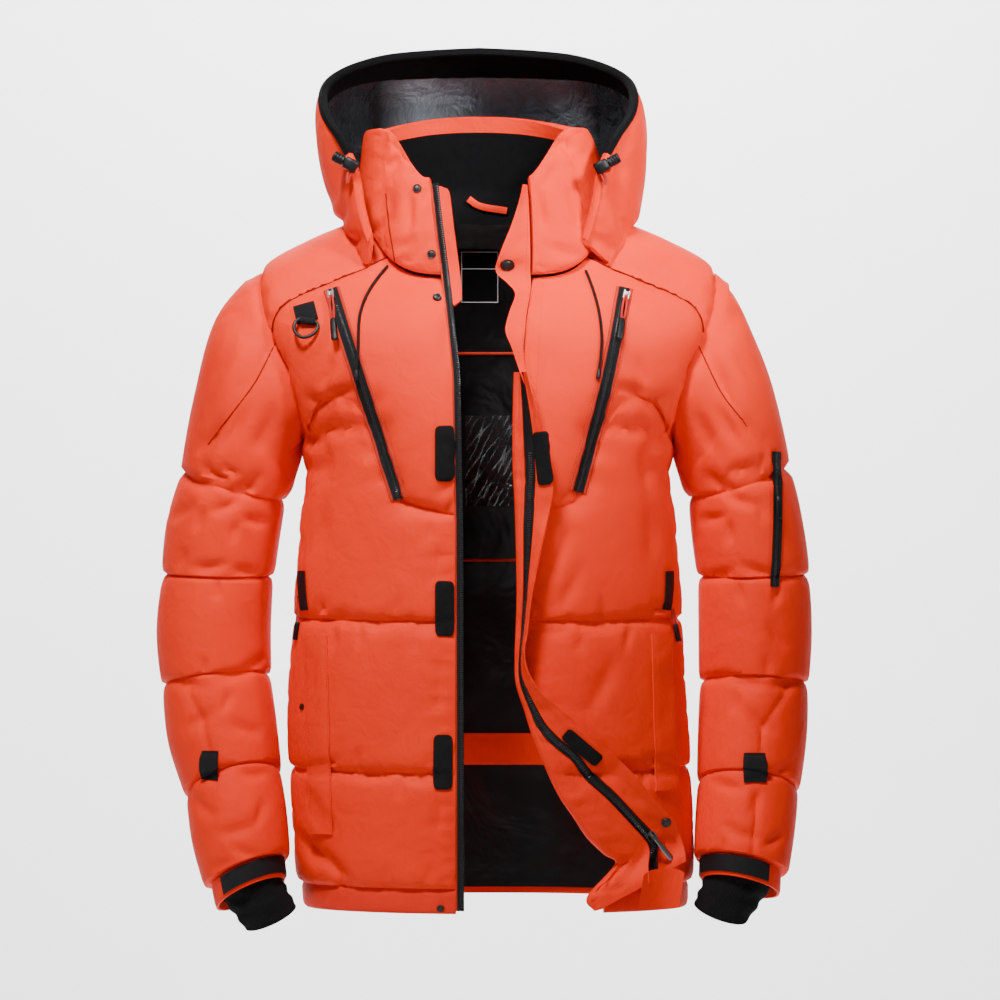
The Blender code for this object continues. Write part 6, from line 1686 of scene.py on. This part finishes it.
# Left, right, low and high side of each line on the label
LABEL_LINES = ((-29, 10.6, -12.6, -11.8), (-29, 10.6, -30.4, -29.6), (-29, 10.6, -65.6, -64.8),
               (-29, -28.2, -65.6, -11.8), (9.8, 10.6, -65.6, -11.8))
x, z = rectangle(-40, 12, -67, -11, 24, 26)
label = inside_sheet("bare_label", x, z, np.full(x.shape, 0.8), matt_black, "size_label", lift=0.8, reach=6)
label_tree = search_tree(label)
for number, (left, right, low, high) in enumerate(LABEL_LINES):
    x, z = rectangle(left, right, low, high, 14 if right - left > 2 else 3, 3 if high - low < 2 else 14)
    inside_sheet(f"label_border_{number + 1}", x, z, np.full(x.shape, 0.3), white_thread, lift=0.1, reach=1,
                 tree=label_tree)
x, z = rectangle(-25, 26, -285, -187, 40, 60)
dents = 0.7 * np.sin(x * 0.16 + 2 * np.sin(z * 0.07)) * np.sin(z * 0.12 + 1)
dents += 0.4 * np.sin(x * 0.4 - z * 0.23)
inside_sheet("clear_film_pocket", x, z, np.full(x.shape, 0.6), clear_film, "clear_pocket", lift=1.6, reach=6,
             waves=dents)
line, along = even(((-21, 43), (-12, 36.5), (0, 33), (10, 31.5), (20, 30)), 2.0)
offsets = np.linspace(-3.6, 3.6, 5)
x, z = line[:, :1] + along[:, 1:] * offsets, line[:, 1:] - along[:, :1] * offsets
neck_tree = search_tree(back_lining, collar_lining)
inside_sheet("hanger_loop", x, z, 2.0 * (0.5 + 0.5 * puff(np.linspace(0.05, 0.95, 5))) + 0 * x, shell_cloth,
             lift=2.0, reach=5,
             tree=neck_tree)
print("inside pieces 10")

# %% [markdown]
# Round hardware is turned on a lathe: a profile of distances along an axis and
# radii about it. Snaps, cord tips, the locks' barrels and the eyelet use it.

# %% Turned hardware


def turned_solid(name, start, axis, profile, material, node_name=None, body_name=None, flat=1.0, sides=20,
                 side_way=None,
                 squared=0.0):
    """A solid of revolution from (along, radius) rows. Flat narrows it, and squared makes it boxy.

    A section's radius at a turn is the radius over the larger of the sine and cosine to the power squared.
    """
    axis = unit(np.array(axis, float))
    helper = np.array(side_way if side_way is not None else ((0, 0, 1) if abs(axis[2]) < 0.9 else (1, 0, 0)),
                      float)
    first = unit(np.cross(axis, helper))
    second = np.cross(axis, first)
    turns = np.linspace(0, 2 * np.pi, sides, endpoint=False) + np.pi / sides
    rows = np.array(profile, float)
    stretch = np.maximum(np.abs(np.cos(turns)), np.abs(np.sin(turns))) ** -squared
    spokes = (first * np.cos(turns)[:, None] + second * np.sin(turns)[:, None] * flat) * stretch[:, None]
    centre = np.array(start, float) + axis * rows[:, :1]
    outer = centre[:, None] + spokes[None] * rows[:, 1][:, None, None]
    made = wall(name, centre[:, None] + (outer - centre[:, None]) * 0.02, outer, material, closed=True)
    if body_name:
        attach(made, body_name)
    if node_name:
        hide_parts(node_name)
    return made


def tube_wall(name, route, radius, material, node_name=None, body_name=None, sides=10):
    """A round tube along points in mm, from frames that turn as little as they can."""
    route = np.array(route, float)
    way = unit(np.gradient(route, axis=0))
    side = np.cross(way[0], (0.3, 0.2, 0.93))
    firsts = []
    for direction in way:
        side = unit(side - direction * (side @ direction))
        firsts.append(side)
    firsts = np.array(firsts)
    seconds = np.cross(way, firsts)
    turns = np.linspace(0, 2 * np.pi, sides, endpoint=False)
    spokes = firsts[:, None] * np.cos(turns)[None, :, None] + seconds[:, None] * np.sin(turns)[None, :, None]
    reach = np.broadcast_to(np.asarray(radius, float), len(route))[:, None, None]
    made = wall(name, route[:, None] + spokes * reach * 0.05, route[:, None] + spokes * reach, material,
                closed=True)
    if body_name:
        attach(made, body_name)
    if node_name:
        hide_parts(node_name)
    return made


DOME = (
    (-0.3, 0.7), (0.0, 1.0), (0.25, 1.0), (0.42, 0.93), (0.36, 0.80), (0.42, 0.74), (0.52, 0.55), (0.56, 0.3),
    (0.57, 0.02))
SNAPS = (("snap_collar", "collar", -73, 44, 4.6), ("snap_neck", "collar", -58, -25, 4.6),
         ("snap_chest", "right", -52, -70, 4.6), ("snap_hem", "right", -48, -694, 3.8),
         ("snap_pocket_right", "right", -192, -492, 3.4), ("snap_pocket_left", "left", 190, -484, 3.4))
for name, tree_name, x, z, radius in SNAPS:
    spot, out = on_cloth(cloths[tree_name], [x], [z])
    turned_solid(name, spot[0] - out[0] * 0.1, out[0], np.array(DOME) * (radius * 0.9, radius), snap_cap)
spot, out = on_cloth(flap_tree, [20], [-36])
turned_solid("snap_flap", spot[0] - out[0] * 0.1, out[0], np.array(DOME) * (6.5, 7.6), snap_cap, flat=0.8,
             side_way=(0, 0, 1))
spot, out = on_cloth(cloths["turned"], [183], [-609])
turned_solid("snap_turned_edge", spot[0] - out[0] * 0.1, out[0], np.array(DOME) * (4.4, 5.2), snap_cap)
print("snaps", len(SNAPS) + 2)

# %% [markdown]
# Each cord lock is a spring lock: a squared body that the cord runs through and
# a ribbed barrel to press. Two short ends of cord come out below it.

# %% Cord locks
LOCKS = {"right": ((-147, -80.2, 71), 28), "left": ((123, -81.4, 69), -28)}
LOCK_BODY = ((-1.0, 0.2), (-1.0, 5.4), (-0.2, 6.4), (12.6, 6.4), (13.4, 5.4), (13.4, 0.2))
LOCK_BARREL = (
    (-14.5, 0.2), (-14.5, 4.0), (-13.6, 5.4), (-11.6, 5.7), (-11.0, 5.0), (-10.4, 5.7), (-8.6, 5.7),
    (-8.0, 5.0), (-7.4, 5.7), (-5.6, 5.7), (-5.0, 5.0), (-4.2, 5.7), (-2.6, 5.7), (-2.2, 4.0), (-0.6, 4.0),
    (-0.6, 0.2))
for word, (place, tilt) in LOCKS.items():
    side = -1 if word == "right" else 1
    turn = math.radians(tilt)
    axis = np.array((math.cos(turn), 0, -math.sin(turn))) * -side
    turned_solid(f"lock_body_{word}", place, axis, LOCK_BODY, soft_rubber, f"lock_{word}", flat=0.8,
                 squared=0.75,
                 sides=24, side_way=(0, 1, 0))
    turned_solid(f"lock_barrel_{word}", place, axis, LOCK_BARREL, soft_rubber, flat=0.9, sides=24,
                 side_way=(0, 1, 0))
    hole = np.array(place) + axis * 6.5
    for number, shift in enumerate((-2.2, 2.2)):
        steps = np.linspace(0, 1, 14)[:, None]
        start = hole + axis * shift + np.array((0, -0.6, -6.6))
        end = start + np.array((side * (2.0 + 3 * number), 2.0, -13.0 + 3 * number))
        route = start + (end - start) * steps + np.array((side * 1.4, 0, 0)) * np.sin(np.pi * steps)
        tube_wall(f"lock_cord_{word}_{number + 1}", route, 1.6, cord_weave)
print("cord locks", len(LOCKS))

# %% [markdown]
# A pull hangs from each slider. On the chest and the pockets it is a loop of braided cord moulded into a
# rubber grip. The main zip and the arm zip have a flat tab. Each rides with a body of its own. Each turns
# with its own body, about the bar of its slider.

# %% Pulls
PULLS = {
    "chest_right": ((-161.5, -100.0, -66.1), (5.1, -32.8, -48.4)),
         "chest_left": ((142.3, -104.2, -67.2), (-7.6, -34.0, -46.7)),
    "pocket_right": ((-195.4, -54.5, -382.2), (-5.0, -2.2, -41.6)),
         "pocket_left": ((189.4, -66.7, -384.2), (8.7, -3.7, -40.9)),
    "main": ((169.3, -125.2, -622.1), (20.0, 16.5, -25.5)),
         "arm": ((300.9, -65.5, -275.8), (1.4, -0.9, -21.9))}
PULL_WAYS = {"chest_right": (0.952, -0.196, 0.234), "chest_left": (0.949, 0.160, -0.271),
             "pocket_right": (0.433, -0.901, -0.005),
             "pocket_left": (0.429, 0.903, 0.010), "main": (0.541, 0.446, 0.713),
             "arm": (0.702, 0.712, 0.016)}
GRIP = (
    (0.54, 0.2), (0.54, 2.3), (0.57, 3.0), (0.66, 3.5), (0.69, 3.1), (0.72, 3.6), (0.75, 3.2), (0.78, 3.6),
    (0.81, 3.2), (0.84, 3.6), (0.87, 3.3), (0.96, 3.6), (0.99, 2.9), (1.0, 0.2))
TAB = (
    (0.0, 0.2), (0.0, 2.0), (0.03, 2.3), (0.34, 2.3), (0.42, 3.3), (0.92, 3.5), (0.98, 3.0), (1.0, 2.0),
    (1.0, 0.2))
TAB_START = 2.2
for name, (hinge, reach) in PULLS.items():
    hinge, reach = np.array(hinge), np.array(reach)
    length = np.linalg.norm(reach)
    way, across = reach / length, unit(np.array(PULL_WAYS[name]))
    rider = f"pull_{name}_body"
    flat_tab = name in ("main", "arm")
    start = TAB_START if flat_tab else 0
    turned_solid(f"pull_{name}_grip", hinge + way * start, way,
                 np.array(TAB if flat_tab else GRIP) * (length - start, 1.0),
                 gun_metal if name == "main" else soft_rubber, f"pull_{name}", rider,
                 flat=0.32 if flat_tab else 0.62, squared=0.4, side_way=np.cross(across, way))
    turns = np.linspace(0, 2 * np.pi, 25)[:, None]
    eye = hinge + way * 1.1 + way * 1.7 * np.cos(turns) + across * 1.0 * np.sin(turns)
    tube_wall(f"pull_{name}_eye", eye, 0.45, gun_metal, body_name=rider, sides=8)
    if not flat_tab:
        steps = np.linspace(0, 1, 20)[:, None]
        for number, side in enumerate((-1, 1)):
            beside = across * side * (1.1 + 0.9 * np.sin(np.pi * steps))
            route = hinge + way * (1.5 + steps * (0.58 * length - 1.5)) + beside
            tube_wall(f"pull_{name}_cord_{number + 1}", route, 1.25, cord_weave, body_name=rider, sides=8)
print("pulls", len(PULLS))

# %% [markdown]
# The hood's drawcord comes out under it on each side and hangs down the chest,
# with a small moulded tip at its end.

# %% Drawcords
DRAWCORDS = {
    "left": ((101.5, -72.5, -41.3), (104.8, -82.3, -50.3), (107.8, -92.5, -59.3), (110.4, -102.3, -68.5),
             (112.7, -112.2, -77.8),
             (114.4, -119.7, -87.2), (115.7, -123.7, -96.6), (116.5, -127.8, -106.1), (116.8, -132.2, -115.7),
             (116.2, -136.8, -125.2), (115.3, -139.8, -134.7), (114.0, -141.3, -144.1),
             (112.7, -142.7, -153.6)),
    "right": ((-103.9, -67.7, -36.2), (-109.9, -75.5, -43.8), (-115.5, -83.5, -51.7), (-120.7, -93.0, -59.9),
              (-125.0, -102.8, -68.5), (-128.4, -108.9, -77.6), (-130.9, -115.6, -87.0),
              (-132.0, -122.8, -96.6),
              (-132.3, -127.3, -106.3), (-132.4, -131.1, -116.0), (-132.5, -133.0, -125.6),
              (-133.0, -137.3, -135.3),
              (-133.8, -138.0, -144.9), (-134.5, -138.1, -154.6))}
CORD_TIP = ((-9.0, 0.2), (-9.0, 1.5), (-8.6, 1.9), (-1.2, 2.1), (0.0, 2.3), (1.0, 2.1), (1.4, 0.2))
for word, places in DRAWCORDS.items():
    places = np.array(places)
    run = np.concatenate([[0], np.cumsum(np.linalg.norm(np.diff(places, axis=0), axis=1))])
    route = smooth(np.linspace(0, run[-1], 70), run, places)
    cover, _ = on_cloth(cloths[word], route[:, 0], route[:, 2])
    back_off = softened(np.clip(route[:, 1] - cover[:, 1] + 2.0, 0, 12)[:, None], 4)[:, 0]
    route[:, 1] -= np.maximum(back_off, np.clip(route[:, 1] - cover[:, 1] + 1.7, 0, 12))
    cord = tube_wall(f"drawcord_{word}_braid", route, 1.5, webbing, f"drawcord_{word}")
    end_way = unit(route[-1] - route[-4])
    tip = turned_solid(f"drawcord_{word}_tip", route[-1], end_way, CORD_TIP, soft_rubber, sides=14)
    length = np.linalg.norm(np.diff(route, axis=0), axis=1).sum()
    print("cord", word, round(length, 1), "mm")
    [tuple(p) for p in route * MM]
print("drawcords", len(DRAWCORDS))

# %% [markdown]
# Webbing is a flat woven tape. A tab of it holds the D-shaped ring on the right
# shoulder, and a short loop stands on each lower sleeve.

# %% Webbing
RING_BAR = ((-9.5, 0), (9.5, 0))
RING_BOW = (
    (11.5, -2), (12.5, -6), (10.5, -13), (5, -18), (0, -19.5), (-5, -18), (-10.5, -13), (-12.5, -6),
    (-11.5, -2))
centre, across = np.array((-184.9, -107.9, -94.3)), np.array((0.947, -0.269, -0.179))
down = unit(np.array((-5.5, -8.1, -16.9)))
out = np.cross(across, down)
out *= 1 if out[1] < 0 else -1
strip("ring_tab", cloths["right"], ((-189.5, -77), (-187, -86), (-184.5, -95)), 22, 1.5, webbing,
      "ring_webbing", lift=0.5,
      across=7, slack=3)
turns = np.linspace(0, 2 * np.pi, 13)[:-1]
ends = centre + across * np.linspace(-8, 8, 6)[:, None]
spokes = np.cos(turns)[:, None] * out + np.sin(turns)[:, None] * down
wall("ring_loop", ends[:, None] + spokes * 2.1, ends[:, None] + spokes * 3.4, webbing, closed=True)
corners = np.array([*RING_BAR, *RING_BOW, RING_BAR[0], RING_BAR[1]], float)
line = even(corners, 1.2)[0]
line = line[np.linalg.norm(corners[:1] - line, axis=1).argmin():]
ring = line[:, :1] * across - line[:, 1:] * down + centre
tube_wall("shoulder_ring", ring, 1.8, black_wire, "d_ring", "d_ring_body", sides=12)
for word, x, z, wide in (("right", -287, -553, 17), ("left", 276, -555, 22)):
    tree = cloths[f"sleeve_{word}"]
    rows = np.linspace(-15, 15, 22)
    arch = (4.2 * np.clip(1 - (rows / 12.5) ** 4, 0, 1) + 0.4)[:, None, None]
    columns = np.linspace(-wide / 2, wide / 2, 9)
    grid_x, grid_z = x + columns[None] + 0 * rows[:, None], z + rows[:, None] + 0 * columns[None]
    groove = 1.1 + 0.7 * (np.abs(columns) > wide * 0.22)
    laid_on(f"sleeve_loop_{word}", tree, grid_x, grid_z, 1.0, webbing, lift=arch, profile=groove, slack=3)
print("webbing pieces 4 and a ring")

# %% [markdown]
# The sleeve ends in a plain hem of shell cloth with a black strap round most of
# it. A ribbed knit cuff comes out of it, pulled in by its elastic and creased.

# %% Cuffs
KNIT_ENDS = {-1: ((-225, -62, -711), (-24, 0, -10), (0, -30, -6)),
             1: ((241, -62, -706), (25, 0, -8), (0, -30, -6))}
KNIT_RIBS, KNIT_INSET = 66, 5.5
STRAP_START, STRAP_END = 52, 338  # degrees round the sleeve's end
for side, word in ((-1, "right"), (1, "left")):
    rings = sleeve_ends[word]
    count = rings.shape[1]
    turns = np.linspace(0, 360, count, endpoint=False)
    shares = np.linspace(0.06, 1.0, 10)
    base = smooth(1.0 + CUFF_ROW + shares, np.arange(len(rings), dtype=float), rings)
    out = unit(base - base.mean(axis=1, keepdims=True))
    swell = (2.0 + 2.2 * puff(0.08 + 0.84 * (shares - 0.06) / 0.94))[:, None, None]
    wall(f"sleeve_end_{word}", base + out * 0.8, base + out * swell, shell_cloth, f"cuff_band_{word}",
         closed=True)
    shares = np.linspace(0.10, 0.86, 8)
    base = smooth(1.0 + CUFF_ROW + shares, np.arange(len(rings), dtype=float), rings)
    out = unit(base - base.mean(axis=1, keepdims=True))
    strap = np.flatnonzero((turns > STRAP_START) & (turns < STRAP_END))
    lift = 4.6 + 0.8 * puff(0.1 + 0.8 * (shares - 0.1) / 0.76)[:, None, None]
    wall(f"cuff_strap_{word}", base[:, strap] + out[:, strap] * 4.4,
         base[:, strap] + out[:, strap] * (lift + 0.5), webbing)
    start = smooth(1.0 + CUFF_ROW + 0.5, np.arange(len(rings), dtype=float), rings)
    start = start - unit(start - start.mean(axis=0)) * KNIT_INSET
    fine = np.linspace(0, count, KNIT_RIBS * 6, endpoint=False)
    loop = np.stack([np.interp(fine, np.arange(count + 1), np.append(start[:, face], start[0, face]))
                     for face in range(3)], axis=-1)
    middle, reach, depth = (np.array(part, float) for part in KNIT_ENDS[side])
    angle = np.radians(fine / count * 360)[:, None]
    last_ring = middle + reach * np.cos(angle) + depth * np.sin(angle)
    steps = np.linspace(0, 1, 26)[:, None, None]
    tube = loop * (1 - steps) + last_ring * steps
    way = unit(tube - tube.mean(axis=1, keepdims=True))
    ribs = 0.55 * np.abs(np.sin(angle[:, 0] * KNIT_RIBS / 2)) ** 0.7
    creases = 1.1 * np.sin(17 * steps[:, 0] + 2.2 * np.sin(angle[:, 0] * 2 + 0.8)
                           + side) * np.sin(np.pi * steps[:, 0]) ** 0.7
    wall(f"ribbed_cuff_{word}", tube, tube + way * np.maximum(1.9 + ribs + creases, 0.8)[..., None], rib_knit,
         f"knit_cuff_{word}", closed=True)
print("cuffs", 6)

# %% [markdown]
# All the stitches gathered so far become one mesh of short raised threads.

# %% Stitches
places, across, along, out = (np.concatenate([row[part] for row in stitch_rows]) for part in range(4))
copies("stitches", shell_thread, THREAD_POINTS, THREAD_FACES, places, across, along, out, (0.55, 2.5, 0.42))
print("stitches", len(places))

# %% [markdown]
# Each thin cloth piece was cut flat before it was sewn, folded or hung. The sizes here are those flat cuts.
# The table is only kept here, and no piece is built from it.

# %% Cut sizes
CUTS = (("turned_facing_cloth", (0.057, 0.600), "folded", ("front_left",), 0.0160),
        ("storm_flap_cloth", (0.030, 0.560), "folded", ("front_left",), 0.0120),
        ("upper_flap_cloth", (0.030, 0.190), "hung", ("collar_left", "front_left"), 0.0050),
        ("collar_guard_cloth", (0.020, 0.130), "laid", ("collar_right",), 0.0020),
        ("back_lining_cloth", (0.620, 0.730), "hung", ("back_panel",), 0.3600),
        ("hood_lining_cloth", (0.420, 0.250), "gathered", ("hood_crown",), 0.0850),
        ("hood_facing_cloth", (0.450, 0.075), "stretched", ("hood_crown",), 0.0280),
        ("collar_lining_cloth", (0.420, 0.110), "folded", ("collar_back",), 0.0450),
        ("waist_band_cloth", (0.330, 0.034), "gathered", ("lining_back",), 0.0110),
        ("clear_film_pocket", (0.052, 0.100), "laid", ("lining_back",), 0.0051),
        ("pocket_welt_right", (0.034, 0.280), "folded", ("front_right",), 0.0090),
        ("pocket_welt_left", (0.034, 0.230), "folded", ("front_left",), 0.0077),
        ("bare_label", (0.056, 0.058), "laid", ("lining_back",), 0.0031),
        ("ribbed_cuff_right", (0.190, 0.060), "stretched", ("sleeve_right_lower",), 0.0100),
        ("ribbed_cuff_left", (0.190, 0.060), "stretched", ("sleeve_left_lower",), 0.0100),
        ("sleeve_end_right", (0.230, 0.030), "stretched", ("sleeve_right_lower",), 0.0068),
        ("sleeve_end_left", (0.230, 0.030), "stretched", ("sleeve_left_lower",), 0.0065),
        ("cuff_strap_right", (0.200, 0.022), "laid", ("sleeve_right_lower",), 0.0042),
        ("cuff_strap_left", (0.200, 0.022), "laid", ("sleeve_left_lower",), 0.0040))
for name, flat, held, under, area in CUTS:
    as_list(under)
print("sheets", len(CUTS))

# %% [markdown]
# The sliders keep the shapes of the solids and get a metal finish.

# %% Sliders
for node_name in ("slider_chest_left", "slider_chest_right", "slider_main", "slider_pocket_left",
                  "slider_pocket_right"):
    for slot in bpy.data.objects[node_name].material_slots:
        slot.material = gun_metal
print("sliders 5")
